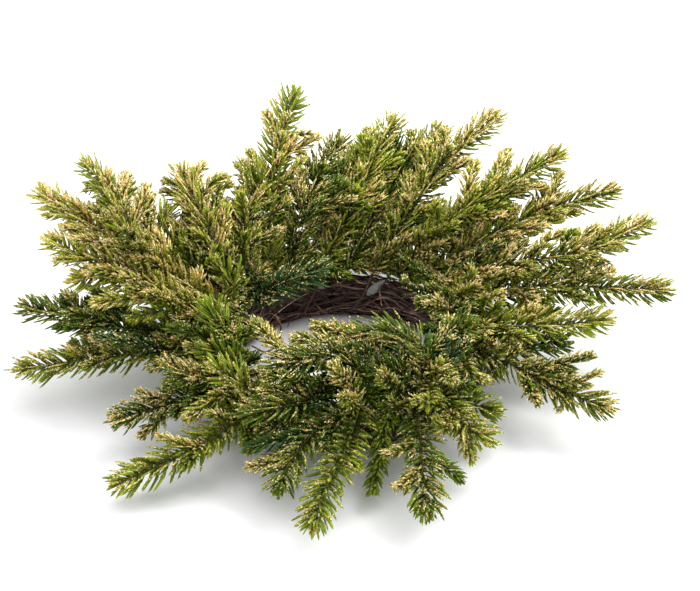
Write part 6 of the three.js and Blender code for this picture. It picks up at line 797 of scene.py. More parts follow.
        ("s", 0.84, 0.05, 101.5, -107.4, 42.5, 105.9, -116.3, 41.6, 111.8, -124.3, 40.4),
        ("s", 0.68, 0.51, 79.8, -83.0, 46.0, 96.7, -76.2, 44.9, 114.8, -73.6, 43.9),
        ("s", 0.32, 0.19, 82.2, -89.9, 46.0, 101.5, -89.5, 40.0, 121.2, -92.8, 37.5),
        ("s", 0.81, 0.56, 81.0, -86.2, 46.0, 93.4, -84.8, 54.2, 106.4, -85.5, 61.5),
        ("s", 0.67, 0.21, 79.6, -82.2, 46.0, 81.1, -68.0, 51.7, 85.0, -53.9, 56.3),
        ("s", 0.55, 0.11, 80.1, -83.6, 46.0, 72.7, -99.3, 43.1, 69.5, -116.4, 40.6),
        ("s", 0.69, 0.07, 81.3, -87.1, 46.0, 81.6, -104.4, 38.0, 85.4, -122.6, 33.6),
        ("s", 0.56, 0.14, 80.8, -85.6, 46.0, 79.7, -100.6, 54.3, 80.9, -116.0, 61.6),
        ("s", 0.56, 0.06, 80.1, -83.6, 46.0, 67.6, -88.4, 53.2, 55.2, -94.8, 59.0),
        ("s", 0.39, 0.09, 79.4, -81.6, 46.0, 73.3, -70.7, 54.8, 66.9, -59.1, 62.6),
    ]),
    "spray_22": (296, [
        ("m", 0.55, 0.38, 58.2, -100.5, 46.0, 66.9, -160.1, 42.0, 68.7, -213.4, 36.0, 70.6, -258.3, 28.0),
        ("s", 0.35, 0.95, 67.1, -166.8, 41.3, 49.4, -184.9, 42.0, 33.4, -189.2, 42.0),
        ("s", 0.40, 0.95, 68.2, -198.5, 37.7, 52.8, -221.7, 36.0, 41.9, -227.2, 36.0),
        ("s", 0.60, 0.15, 67.8, -187.4, 38.9, 89.1, -202.2, 36.0, 102.9, -212.2, 30.0),
        ("s", 0.40, 0.02, 60.2, -114.4, 45.1, 38.2, -145.3, 42.0, 32.9, -174.2, 26.0, 25.0, -208.7, 15.0),
        ("s", 0.40, 0.60, 60.5, -116.3, 44.9, 48.5, -140.0, 56.0, 39.7, -142.5, 68.0),
        ("w", 0.35, 0.75, 60.2, -114.4, 45.1, 47.1, -121.3, 62.0, 38.1, -129.8, 80.0, 31.9, -141.9, 92.0),
        ("s", 0.55, 0.15, 60.5, -116.3, 44.9, 50.7, -118.9, 50.0, 40.0, -137.4, 48.0, 33.0, -149.8, 42.0),
        ("s", 0.70, 0.40, 60.2, -114.4, 45.1, 54.3, -105.6, 64.0, 52.6, -98.6, 76.0, 54.2, -94.9, 86.0),
        ("m", 0.60, 0.10, 60.2, -114.4, 45.1, 45.6, -109.1, 58.0, 33.5, -105.8, 60.0, 17.8, -112.1, 60.0),
        ("s", 0.97, 0.57, 61.8, -125.3, 44.3, 78.3, -141.1, 46.8, 92.5, -159.1, 48.5),
        ("s", 0.71, 0.13, 59.1, -107.0, 45.6, 74.9, -109.7, 39.7, 90.0, -115.9, 34.8),
        ("s", 0.79, 0.05, 59.3, -108.0, 45.5, 50.0, -121.6, 37.9, 44.1, -137.5, 31.3),
    ]),
    "spray_23": (270, [
        ("m", 0.36, 0.30, 16.1, -119.2, 46.0, 3.2, -182.0, 42.0, -13.9, -235.3, 38.0, -23.8, -279.2, 30.0),
        ("s", 0.25, 0.20, 2.5, -184.1, 41.8, 9.1, -193.6, 38.0, 19.1, -199.5, 34.0),
        ("m", 0.60, 0.40, 13.3, -132.9, 45.1, -19.7, -161.3, 48.0, -42.8, -193.6, 38.0, -53.6, -226.1, 28.0),
        ("s", 0.90, 0.10, -14.0, -156.4, 47.5, -55.6, -178.9, 48.0, -82.3, -173.6, 36.0),
        ("s", 0.40, 0.90, -35.8, -183.8, 41.0, -61.4, -191.0, 34.0, -81.7, -189.8, 28.0),
        ("s", 0.40, 0.80, -35.8, -183.8, 41.0, -39.6, -191.1, 30.0, -33.0, -190.0, 24.0),
        ("w", 0.30, 0.80, 13.3, -132.9, 45.1, 7.4, -151.5, 70.0, 1.6, -173.6, 90.0),
        ("w", 0.40, 0.85, 13.3, -132.9, 45.1, 9.1, -124.2, 66.0, -2.8, -132.7, 86.0, -8.7, -132.5, 98.0),
        ("s", 0.70, 0.45, 12.7, -135.4, 45.0, -4.5, -155.3, 50.0, -16.3, -164.5, 44.0, -24.7, -173.5, 38.0),
        ("m", 0.60, 0.12, 13.3, -132.9, 45.1, 7.4, -121.8, 54.0, -6.5, -109.2, 57.0, -23.9, -104.3, 60.0),
        ("s", 0.60, 0.10, 13.3, -132.9, 45.1, 17.8, -115.7, 52.0, 29.9, -121.9, 52.0, 40.2, -128.0, 52.0),
        ("s", 0.73, 0.05, 4.2, -140.7, 45.9, -20.7, -139.7, 47.7, -45.5, -142.6, 49.6),
        ("s", 0.69, 0.27, -5.7, -149.2, 46.8, -9.0, -170.7, 48.3, -15.5, -191.5, 49.9),
        ("s", 0.71, 0.85, 15.2, -123.5, 45.7, 28.7, -131.1, 42.2, 40.3, -141.7, 39.2),
        ("s", 0.63, 0.14, 14.6, -126.6, 45.5, 2.2, -135.6, 39.9, -8.2, -147.2, 35.2),
    ]),
    "spray_24": (248, [
        ("l", 0.62, 0.42, -10.0, -109.8, 48.0, -30.2, -139.7, 62.0, -55.2, -154.7, 66.0, -85.9, -154.9, 60.0),
        ("s", 0.55, 0.70, -20.4, -125.1, 55.2, -48.7, -142.3, 74.0, -72.0, -151.2, 80.0),
        ("s", 0.50, 0.30, -17.3, -120.6, 53.1, -35.2, -133.0, 78.0, -50.3, -138.9, 84.0, -67.0, -145.1, 84.0),
        ("s", 0.75, 0.30, -17.3, -120.6, 53.1, -16.6, -130.1, 72.0, -23.2, -135.9, 84.0),
        ("s", 0.75, 0.40, -31.1, -140.2, 62.1, -54.0, -152.4, 48.0, -72.8, -152.7, 42.0),
        ("s", 0.65, 0.50, -25.5, -132.8, 58.8, -35.3, -146.4, 48.0, -43.7, -158.8, 40.0),
        ("s", 0.65, 0.12, -17.3, -120.6, 53.1, -13.4, -115.5, 56.0, -27.3, -108.8, 62.0, -43.0, -105.5, 66.0),
        ("s", 0.70, 0.15, -17.3, -120.6, 53.1, -20.1, -127.6, 60.0, -33.9, -124.2, 66.0, -49.2, -127.1, 70.0),
        ("s", 0.94, 0.08, -23.3, -129.5, 57.2, -20.8, -145.6, 64.3, -20.8, -161.8, 71.5),
        ("s", 1.00, 0.60, -13.7, -115.2, 50.5, -6.1, -128.1, 44.7, -1.2, -142.7, 39.8),
        ("s", 1.00, 0.18, -12.3, -113.1, 49.6, -28.6, -117.3, 43.0, -44.0, -125.0, 37.5),
    ]),
    "spray_25": (284, [
        ("l", 0.70, 0.50, 37.2, -100.5, 46.0, 17.8, -102.3, 66.0, -1.3, -98.3, 80.0, -21.9, -107.6, 88.0, -43.9, -123.3, 88.0, -67.5, -132.7, 86.0),
        ("s", 0.50, 0.85, 9.4, -100.5, 72.2, 3.1, -94.9, 84.0, -20.5, -85.0, 90.0, -45.5, -91.3, 94.0),
        ("s", 0.45, 0.65, 26.5, -101.5, 57.1, 30.1, -85.7, 76.0, 5.6, -70.4, 86.0, -27.0, -60.2, 90.0),
        ("s", 0.40, 0.70, -24.9, -109.8, 88.0, -50.8, -94.9, 84.0, -64.8, -67.2, 84.0, -79.3, -37.2, 82.0),
        ("s", 0.90, 0.35, 27.5, -101.4, 56.0, 31.8, -92.4, 72.0, 17.8, -94.9, 84.0, 5.7, -96.2, 92.0),
        ("s", 0.90, 0.12, 19.4, -102.2, 64.4, 9.1, -99.1, 66.0, -4.7, -111.7, 66.0, -20.2, -118.0, 66.0),
        ("s", 0.60, 0.50, 23.8, -101.8, 59.8, 23.1, -95.4, 76.0, 12.7, -75.3, 86.0, 3.9, -65.1, 92.0),
        ("m", 0.90, 0.08, 27.5, -101.4, 56.0, 28.3, -109.4, 54.0, 14.4, -102.8, 58.0, -1.3, -96.1, 64.0),
        ("s", 0.85, 0.10, 9.4, -100.5, 72.2, -3.0, -108.3, 72.0, -18.5, -108.1, 76.0, -35.7, -114.3, 78.0),
        ("s", 0.90, 0.10, 23.8, -101.8, 59.8, 9.1, -106.0, 58.0, 0.5, -112.3, 56.0, -9.9, -118.6, 56.0),
        ("s", 1.00, 0.02, 25.0, -107.8, 55.0, 21.0, -97.9, 59.3, 15.5, -88.8, 63.0),
        ("s", 1.00, 0.06, 31.9, -101.0, 51.4, 46.3, -108.4, 45.3, 59.2, -118.7, 40.3),
        ("s", 0.97, 0.46, 33.8, -100.8, 49.4, 22.4, -113.6, 43.1, 13.9, -128.8, 37.7),
    ]),
    "spray_26": (305, [
        ("l", 0.55, 1.10, 68.8, -95.7, 47.0, 77.0, -98.9, 70.0, 69.1, -90.0, 86.0, 46.7, -76.7, 92.0, 7.4, -70.1, 92.0),
        ("s", 0.25, 0.95, 76.2, -98.6, 67.8, 81.3, -117.4, 78.0, 86.6, -109.2, 88.0),
        ("s", 0.30, 0.70, 74.7, -98.0, 63.6, 86.2, -106.8, 70.0, 96.7, -137.5, 80.0),
        ("s", 0.80, 0.30, 73.6, -95.0, 77.0, 53.0, -79.3, 74.0, 38.0, -82.2, 80.0, 19.6, -82.0, 84.0),
        ("s", 0.50, 0.60, 71.4, -92.5, 81.5, 84.1, -85.1, 86.0, 93.0, -76.5, 95.0, 94.4, -61.3, 100.0),
        ("s", 0.50, 0.20, 73.5, -97.5, 60.1, 58.2, -90.0, 60.0, 45.9, -89.3, 70.0, 31.8, -95.4, 76.0),
        ("s", 0.05, 0.50, 73.5, -97.5, 60.1, 76.0, -130.6, 62.0, 70.5, -160.4, 76.0, 59.8, -175.1, 88.0),
        ("m", 0.75, 0.35, 73.5, -97.5, 60.1, 68.5, -89.1, 74.0, 49.5, -75.6, 82.0, 26.7, -68.6, 88.0),
        ("m", 0.70, 0.20, 73.5, -97.5, 60.1, 61.5, -99.4, 62.0, 40.4, -102.1, 70.0, 19.5, -109.9, 72.0),
        ("s", 1.00, 0.27, 72.8, -97.3, 58.2, 93.6, -89.9, 72.5, 112.6, -84.7, 89.8),
        ("s", 1.00, 0.18, 75.6, -97.3, 72.8, 85.5, -88.9, 82.6, 93.6, -81.1, 94.5),
        ("s", 1.00, 0.09, 70.0, -91.6, 69.9, 75.5, -84.4, 79.3, 79.2, -77.0, 89.4),
        ("s", 1.00, 0.13, 69.0, -89.8, 72.7, 60.0, -93.0, 81.6, 51.7, -94.1, 91.4),
        ("s", 1.00, 0.02, 61.8, -99.3, 62.0, 52.4, -92.9, 66.6, 42.1, -88.0, 71.1),
        ("s", 1.00, 0.08, 58.5, -99.8, 63.1, 51.6, -108.7, 64.5, 43.5, -116.5, 66.2),
        ("s", 1.00, 0.03, 48.9, -101.0, 66.8, 42.8, -110.5, 71.3, 35.1, -118.6, 76.1),
        ("s", 1.00, 0.05, 45.7, -101.4, 68.0, 36.6, -95.7, 71.0, 27.0, -91.3, 74.2),
        ("s", 1.00, 0.53, 70.0, -96.2, 50.2, 87.6, -91.8, 46.9, 105.8, -92.0, 44.0),
        ("s", 0.86, 0.43, 72.6, -97.2, 57.6, 91.5, -100.5, 48.4, 110.8, -107.8, 43.2),
        ("s", 0.81, 0.50, 72.1, -97.0, 56.3, 85.2, -98.1, 62.5, 98.2, -101.2, 68.0),
        ("s", 0.92, 0.46, 70.3, -96.3, 51.1, 74.6, -79.5, 59.8, 82.0, -63.0, 66.9),
        ("s", 1.00, 0.36, 70.2, -96.3, 50.9, 62.7, -111.2, 46.7, 58.7, -127.6, 43.1),
        ("s", 0.90, 0.46, 72.2, -97.0, 56.5, 69.3, -113.2, 48.8, 69.6, -130.8, 44.6),
        ("s", 0.74, 0.50, 70.5, -96.4, 51.7, 66.8, -110.0, 60.6, 65.2, -124.5, 68.6),
        ("s", 0.87, 0.26, 70.1, -96.2, 50.5, 55.8, -94.2, 56.6, 40.9, -94.7, 61.6),
        ("s", 0.79, 0.54, 70.1, -96.2, 50.6, 62.8, -90.4, 59.1, 55.0, -84.1, 66.8),
    ]),
}


# ---------------------------------------------------------------- small helpers
def unit(v):
    v = np.asarray(v, float)
    return v / np.maximum(np.linalg.norm(v, axis=-1, keepdims=True), 1e-12)


def catmull(points, n):
    """n points at equal steps of length along a centripetal spline through points."""
    p = np.asarray(points, float)
    if len(p) == 2:
        t = np.linspace(0, 1, n)[:, None]
        return p[0] * (1 - t) + p[1] * t
    ext = np.vstack([2 * p[0] - p[1], p, 2 * p[-1] - p[-2]])
    out = []
    for i in range(1, len(ext) - 2):
        p0, p1, p2, p3 = ext[i - 1 : i + 3]
        t0 = 0.0
        t1 = t0 + math.sqrt(np.linalg.norm(p1 - p0) + 1e-9)
        t2 = t1 + math.sqrt(np.linalg.norm(p2 - p1) + 1e-9)
        t3 = t2 + math.sqrt(np.linalg.norm(p3 - p2) + 1e-9)
        t = np.linspace(t1, t2, 24, endpoint=False)[:, None]
        a1 = (t1 - t) / (t1 - t0) * p0 + (t - t0) / (t1 - t0) * p1
        a2 = (t2 - t) / (t2 - t1) * p1 + (t - t1) / (t2 - t1) * p2
        a3 = (t3 - t) / (t3 - t2) * p2 + (t - t2) / (t3 - t2) * p3
        b1 = (t2 - t) / (t2 - t0) * a1 + (t - t0) / (t2 - t0) * a2
        b2 = (t3 - t) / (t3 - t1) * a2 + (t - t1) / (t3 - t1) * a3
        out.append((t2 - t) / (t2 - t1) * b1 + (t - t1) / (t2 - t1) * b2)
    q = np.vstack(out + [p[-1:]])
    d = np.r_[0, np.cumsum(np.linalg.norm(np.diff(q, axis=0), axis=1))]
    s = np.linspace(0, d[-1], n)
    return np.stack([np.interp(s, d, q[:, k]) for k in range(3)], 1)


def frames(path, first=(0, 0, 1.0)):
    """Tangent, normal and side at each point of a path, carried along without twist."""
    tan = unit(np.gradient(path, axis=0))
    n = np.asarray(first, float)
    if abs(tan[0] @ n) > 0.93:
        n = unit(np.array([path[0][0], path[0][1], 0.0]))
    normals = []
    for t in tan:
        n = unit(n - t * (n @ t))
        normals.append(n)
    normals = np.array(normals)
    return tan, normals, np.cross(tan, normals)


class Mesh:
    """Collects triangles and quads with their map places, material slots and per-vertex looks."""

    def __init__(self):
        self.v, self.loops, self.sizes, self.uv, self.mat, self.look, self.smooth = [], [], [], [], [], [], []
        self.n = 0

    def add(self, verts, faces, uv, mat, look, smooth=True):
        """verts (n,3) in mm; faces (m,k); uv (m,k,2); mat number; look (n,4)."""
        verts = np.asarray(verts, float).reshape(-1, 3)
        faces = np.asarray(faces)
        m, k = faces.shape
        self.v.append(verts)
        self.loops.append((faces + self.n).ravel())
        self.sizes.append(np.full(m, k))
        self.uv.append(np.asarray(uv, float).reshape(-1, 2))
        self.mat.append(np.full(m, mat))
        self.smooth.append(np.full(m, smooth))
        self.look.append(np.asarray(look, float).reshape(-1, 4))
        self.n += len(verts)
        assert len(self.uv[-1]) == m * k and len(self.look[-1]) == len(verts)

    def make(self, name, materials):
        v = np.vstack(self.v) / 1000.0
        loops = np.concatenate(self.loops)
        sizes = np.concatenate(self.sizes)
        me = bpy.data.meshes.new(name)
        me.vertices.add(len(v))
        me.vertices.foreach_set("co", v.astype(np.float32).ravel())
        me.loops.add(len(loops))
        me.loops.foreach_set("vertex_index", loops.astype(np.int32))
        me.polygons.add(len(sizes))
        me.polygons.foreach_set("loop_start", np.r_[0, np.cumsum(sizes)[:-1]].astype(np.int32))
        me.polygons.foreach_set("material_index", np.concatenate(self.mat).astype(np.int32))
        me.update(calc_edges=True)
        me.polygons.foreach_set("use_smooth", np.concatenate(self.smooth).astype(bool))
        layer = me.uv_layers.new(name="OFBake")
        layer.data.foreach_set("uv", np.vstack(self.uv).astype(np.float32).ravel())
        look = me.attributes.new("look", "FLOAT_COLOR", "POINT")
        look.data.foreach_set("color", np.vstack(self.look).astype(np.float32).ravel())
        me.validate()
        for m in materials:
            me.materials.append(m)
        ob = bpy.data.objects.new(name, me)
        bpy.context.scene.collection.objects.link(ob)
        return ob


def tube(mesh, path, radii, sides, box, mat, look, wobble=0.0, squash=1.0, first=(0, 0, 1.0), seed=0):
    """A closed rod along path with rounded ends; box is its place on the map."""
    n = len(path)
    tan, nor, sid = frames(path, first)
    a = np.arange(sides) * 2 * math.pi / sides
    r = np.asarray(radii, float).reshape(-1, 1) * np.ones((n, sides))
    if wobble:
        g = np.random.default_rng(seed)
        k = g.normal(0, 1, (n, sides))
        k = (k + np.roll(k, 1, 0) + np.roll(k, 1, 1)) / 1.7
        r = r * (1 + wobble * k)
    ring = path[:, None] + r[..., None] * (np.cos(a)[None, :, None] * sid[:, None] + squash * np.sin(a)[None, :, None] * nor[:, None])
    v = np.vstack([ring.reshape(-1, 3), path[:1] - tan[:1] * r[0, 0] * 0.5, path[-1:] + tan[-1:] * r[-1, 0] * 0.7])
    i, j = np.meshgrid(np.arange(n - 1), np.arange(sides), indexing="ij")
    i, j = i.ravel(), j.ravel()
    jn = (j + 1) % sides
    quads = np.stack([i * sides + j, i * sides + jn, (i + 1) * sides + jn, (i + 1) * sides + j], 1)
    x0, y0, x1, y1 = box
    d = np.r_[0, np.cumsum(np.linalg.norm(np.diff(path, axis=0), axis=1))]
    d = 0.02 + 0.96 * d / max(d[-1], 1e-9)
    ux, uy = lambda t: x0 + (x1 - x0) * t, lambda t: y0 + (y1 - y0) * (0.04 + 0.92 * t)
    uvq = np.stack([np.stack([ux(d[i]), uy(j / sides)], 1), np.stack([ux(d[i]), uy((j + 1) / sides)], 1),
                    np.stack([ux(d[i + 1]), uy((j + 1) / sides)], 1), np.stack([ux(d[i + 1]), uy(j / sides)], 1)], 1)
    c = np.arange(sides)
    cn = (c + 1) % sides
    base, top = n * sides, n * sides + 1
    t0 = np.stack([np.full(sides, base), cn, c], 1)
    t1 = np.stack([np.full(sides, top), (n - 1) * sides + c, (n - 1) * sides + cn], 1)
    e0 = np.stack([np.stack([ux(0 * c + 0.0), uy((c + 0.5) / sides)], 1), np.stack([ux(0 * c + 0.02), uy((c + 1) / sides)], 1), np.stack([ux(0 * c + 0.02), uy(c / sides)], 1)], 1)
    e1 = np.stack([np.stack([ux(0 * c + 1.0), uy((c + 0.5) / sides)], 1), np.stack([ux(0 * c + 0.98), uy(c / sides)], 1), np.stack([ux(0 * c + 0.98), uy((c + 1) / sides)], 1)], 1)
    look = np.asarray(look, float)
    if look.ndim == 1:
        lk = np.tile(look, (len(v), 1))
    else:
        lk = np.vstack([np.repeat(look, sides, 0), look[:1], look[-1:]])
    start = mesh.n
    mesh.add(v, quads, uvq, mat, lk)
    # the end fans share the rod's vertices
    for tri, uv in ((t0, e0), (t1, e1)):
        mesh.loops.append((tri + start).ravel())
        mesh.sizes.append(np.full(len(tri), 3))
        mesh.uv.append(uv.reshape(-1, 2))
        mesh.mat.append(np.full(len(tri), mat))
        mesh.smooth.append(np.full(len(tri), True))


# ---------------------------------------------------------------- materials
def new_material(name):
    m = bpy.data.materials.new(name)
    m.use_nodes = True
    nt = m.node_tree
    nt.nodes.clear()
    out = nt.nodes.new("ShaderNodeOutputMaterial")
    bsdf = nt.nodes.new("ShaderNodeBsdfPrincipled")
    nt.links.new(bsdf.outputs[0], out.inputs[0])
    return m, nt, bsdf


def node(nt, kind, inputs=None, **props):
    n = nt.nodes.new(kind)
    for k, v in props.items():
        setattr(n, k, v)
    for k, v in (inputs or {}).items():
        s = n.inputs[k]
        if isinstance(v, bpy.types.NodeSocket):
            nt.links.new(v, s)
        else:
            s.default_value = v
    return n


def math_node(nt, op, a, b=0.0, clamp=False):
    n = nt.nodes.new("ShaderNodeMath")
    n.operation = op
    n.use_clamp = clamp
    for s, v in zip(n.inputs, (a, b)):
        if isinstance(v, bpy.types.NodeSocket):
            nt.links.new(v, s)
        else:
            s.default_value = v
    return n.outputs[0]


def ramp(nt, fac, stops, mode="LINEAR"):
    n = nt.nodes.new("ShaderNodeValToRGB")
    n.color_ramp.interpolation = mode
    els = n.color_ramp.elements
    while len(els) < len(stops):
        els.new(0.5)
    for e, (at, col) in zip(els, stops):
        e.position = at
        e.color = (*col, 1) if len(col) == 3 else col
    nt.links.new(fac, n.inputs[0])
    return n.outputs[0]


def mix_color(nt, fac, a, b, mode="MIX"):
    n = nt.nodes.new("ShaderNodeMix")
    n.data_type = "RGBA"
    n.blend_type = mode
    for s, v in ((n.inputs[0], fac), (n.inputs[6], a), (n.inputs[7], b)):
        if isinstance(v, bpy.types.NodeSocket):
            nt.links.new(v, s)
        else:
            s.default_value = v if not isinstance(v, tuple) else (*v, 1)
    return n.outputs[2]


def needle_material():
    """Moulded green needles with gold glitter stuck to their upper faces."""
    m, nt, bsdf = new_material("needle_green_gold")
    look = node(nt, "ShaderNodeAttribute", attribute_name="look")
    sep = node(nt, "ShaderNodeSeparateColor", {0: look.outputs["Color"]})
    tint, along, gold = sep.outputs[0], sep.outputs[1], sep.outputs[2]
    seed = look.outputs["Alpha"]
    co = node(nt, "ShaderNodeTexCoord").outputs["Object"]
    green = ramp(nt, tint, [
        (0.0, (0.235, 0.300, 0.020)),
        (0.25, (0.142, 0.200, 0.012)),
        (0.5, (0.068, 0.118, 0.009)),
        (0.75, (0.031, 0.078, 0.012)),
        (1.0, (0.020, 0.066, 0.028)),
    ])
    # painted shade: each needle darker towards its root, where the needles crowd round the twig, and lighter towards
    # the tip, with a paler keel, and each needle a little different
    painted_root_shade = ramp(nt, along, [(0.0, (0.55, 0.55, 0.55)), (0.5, (0.95, 0.95, 0.95)), (1.0, (1.45, 1.42, 1.2))])
    green = mix_color(nt, 1.0, green, painted_root_shade, "MULTIPLY")
    each = ramp(nt, seed, [(0.0, (0.62, 0.66, 0.7)), (0.5, (1.0, 1.0, 1.0)), (1.0, (1.4, 1.34, 1.15))])
    green = mix_color(nt, 1.0, green, each, "MULTIPLY")
    mottle = node(nt, "ShaderNodeTexNoise", {"Vector": co, "Scale": 420.0, "Detail": 2.0, "Roughness": 0.6})
    mott = ramp(nt, mottle.outputs["Fac"], [(0.3, (0.82, 0.84, 0.86)), (0.7, (1.2, 1.18, 1.1))])
    green = mix_color(nt, 1.0, green, mott, "MULTIPLY")
    # glitter: grains of half a millimetre, thick where the gold was sprayed
    grain = node(nt, "ShaderNodeTexVoronoi", {"Vector": co, "Scale": 950.0, "Randomness": 1.0}, feature="F1")
    cell = node(nt, "ShaderNodeSeparateColor", {0: grain.outputs["Color"]})
    drift = node(nt, "ShaderNodeTexNoise", {"Vector": co, "Scale": 120.0, "Detail": 2.0, "Roughness": 0.5})
    want = math_node(nt, "ADD", math_node(nt, "MULTIPLY", gold, 0.60), math_node(nt, "MULTIPLY", math_node(nt, "SUBTRACT", drift.outputs["Fac"], 0.53), 0.9))
    mask = math_node(nt, "LESS_THAN", cell.outputs[0], want)
    # gold of the grains in random shades; the palest, near-white stops are painted glints of the sparkle
    gold_and_glint_col = ramp(nt, cell.outputs[1], [
        (0.0, (0.44, 0.235, 0.042)),
        (0.3, (0.88, 0.530, 0.140)),
        (0.6, (1.0, 0.760, 0.290)),
        (1.0, (1.0, 0.90, 0.60)),
    ])
    base = mix_color(nt, mask, green, gold_and_glint_col)
    nt.links.new(base, bsdf.inputs["Base Color"])
    nt.links.new(math_node(nt, "MULTIPLY", mask, 0.25), bsdf.inputs["Metallic"])
    rough = math_node(nt, "SUBTRACT", 0.52, math_node(nt, "MULTIPLY", mask, 0.2))
    nt.links.new(rough, bsdf.inputs["Roughness"])
    height = math_node(nt, "MULTIPLY", math_node(nt, "ADD", cell.outputs[2], 0.4), mask)
    bump = node(nt, "ShaderNodeBump", {"Height": height, "Strength": 0.9, "Distance": 0.0005})
    nt.links.new(bump.outputs[0], bsdf.inputs["Normal"])
    bsdf.inputs["Specular IOR Level"].default_value = 0.3
    bsdf.inputs["Specular Tint"].default_value = (0.9, 1.0, 0.3, 1)
    return m


def glitter_material():
    """The loose grains of gold glitter; the palest, near-white ones are painted glints."""
    m, nt, bsdf = new_material("gold_glitter")
    look = node(nt, "ShaderNodeAttribute", attribute_name="look")
    seed = look.outputs["Alpha"]
    co = node(nt, "ShaderNodeTexCoord").outputs["Object"]
    noise = node(nt, "ShaderNodeTexNoise", {"Vector": co, "Scale": 900.0, "Detail": 1.0})
    f = math_node(nt, "ADD", math_node(nt, "MULTIPLY", seed, 0.75), math_node(nt, "MULTIPLY", noise.outputs["Fac"], 0.3))
    # deep gold to near white, with little metal: the pale grains are painted glints
    col = ramp(nt, f, [
        (0.0, (0.66, 0.400, 0.100)),
        (0.35, (1.0, 0.73, 0.30)),
        (0.7, (1.0, 0.88, 0.56)),
        (1.0, (1.0, 0.95, 0.80)),
    ])
    nt.links.new(col, bsdf.inputs["Base Color"])
    nt.links.new(math_node(nt, "ADD", 0.22, math_node(nt, "MULTIPLY", noise.outputs["Fac"], 0.2)), bsdf.inputs["Roughness"])
    bsdf.inputs["Metallic"].default_value = 0.2
    return m


def bark_material(name, dark, mid, pale, pale_at, stretch=(1.0, 1.0, 1.0)):
    """Bark that runs along the twig: fine fibres and paler patches, which on the vines partly paint highlights."""
    m, nt, bsdf = new_material(name)
    look = node(nt, "ShaderNodeAttribute", attribute_name="look")
    sep = node(nt, "ShaderNodeSeparateColor", {0: look.outputs["Color"]})
    along, tone = sep.outputs[1], sep.outputs[0]
    seed = look.outputs["Alpha"]
    co = node(nt, "ShaderNodeTexCoord").outputs["Object"]
    coarse = node(nt, "ShaderNodeTexNoise", {"Vector": co, "Scale": 130.0, "Detail": 4.0, "Roughness": 0.65})
    fine = node(nt, "ShaderNodeTexNoise", {"Vector": co, "Scale": 1100.0, "Detail": 3.0, "Roughness": 0.7})
    f = math_node(nt, "ADD", math_node(nt, "MULTIPLY", coarse.outputs["Fac"], 0.55), math_node(nt, "MULTIPLY", fine.outputs["Fac"], 0.45))
    f = math_node(nt, "ADD", f, math_node(nt, "MULTIPLY", math_node(nt, "SUBTRACT", tone, 0.5), 0.35))
    col = ramp(nt, f, [(0.3, dark), (0.52, mid), (pale_at, pale)])
    each = ramp(nt, seed, [(0.0, (0.30, 0.28, 0.27)), (0.55, (0.95, 0.95, 0.95)), (1.0, (2.5, 2.25, 2.0))])
    col = mix_color(nt, 1.0, col, each, "MULTIPLY")
    nt.links.new(col, bsdf.inputs["Base Color"])
    nt.links.new(math_node(nt, "ADD", 0.5, math_node(nt, "MULTIPLY", fine.outputs["Fac"], 0.4)), bsdf.inputs["Roughness"])
    bump = node(nt, "ShaderNodeBump", {"Height": fine.outputs["Fac"], "Strength": 0.6, "Distance": 0.0006})
    nt.links.new(bump.outputs[0], bsdf.inputs["Normal"])
    return m


def glue_material():
    """Cloudy clear glue."""
    m, nt, bsdf = new_material("cloudy_glue")
    co = node(nt, "ShaderNodeTexCoord").outputs["Object"]
    cloud = node(nt, "ShaderNodeTexNoise", {"Vector": co, "Scale": 160.0, "Detail": 3.0, "Roughness": 0.6})
    col = ramp(nt, cloud.outputs["Fac"], [(0.3, (0.17, 0.18, 0.155)), (0.7, (0.36, 0.37, 0.33))])
    nt.links.new(col, bsdf.inputs["Base Color"])
    nt.links.new(math_node(nt, "ADD", 0.14, math_node(nt, "MULTIPLY", cloud.outputs["Fac"], 0.25)), bsdf.inputs["Roughness"])
    bsdf.inputs["Transmission Weight"].default_value = 0.35
    bsdf.inputs["IOR"].default_value = 1.48
    bump = node(nt, "ShaderNodeBump", {"Height": cloud.outputs["Fac"], "Strength": 0.3, "Distance": 0.001})
    nt.links.new(bump.outputs[0], bsdf.inputs["Normal"])
    return m


NEEDLE = needle_material()
GLITTER = glitter_material()
TWIG = bark_material("green_twig", (0.040, 0.050, 0.010), (0.090, 0.105, 0.020), (0.19, 0.18, 0.045), 0.75)
BARK = bark_material("stem_bark", (0.014, 0.008, 0.006), (0.035, 0.020, 0.013), (0.095, 0.055, 0.034), 0.8)
# the vines' pale stop partly paints highlights on them
VINE = bark_material("vine_bark", (0.019, 0.0085, 0.0060), (0.105, 0.051, 0.037), (0.50, 0.33, 0.24), 0.76)
GLUE = glue_material()


# ---------------------------------------------------------------- needles
# A needle is a closed spindle: rings of corners at these places along it, with these widths, then a point.
# The long ones have four sides, the short ones three: the two edges, and the keel on top.
SHAPES = {
    "long": dict(sides=4, rings=np.array([0.0, 0.45, 0.88]), wide=np.array([0.66, 1.0, 0.66])),
    "short": dict(sides=3, rings=np.array([0.0, 0.62]), wide=np.array([0.7, 1.0])),
}


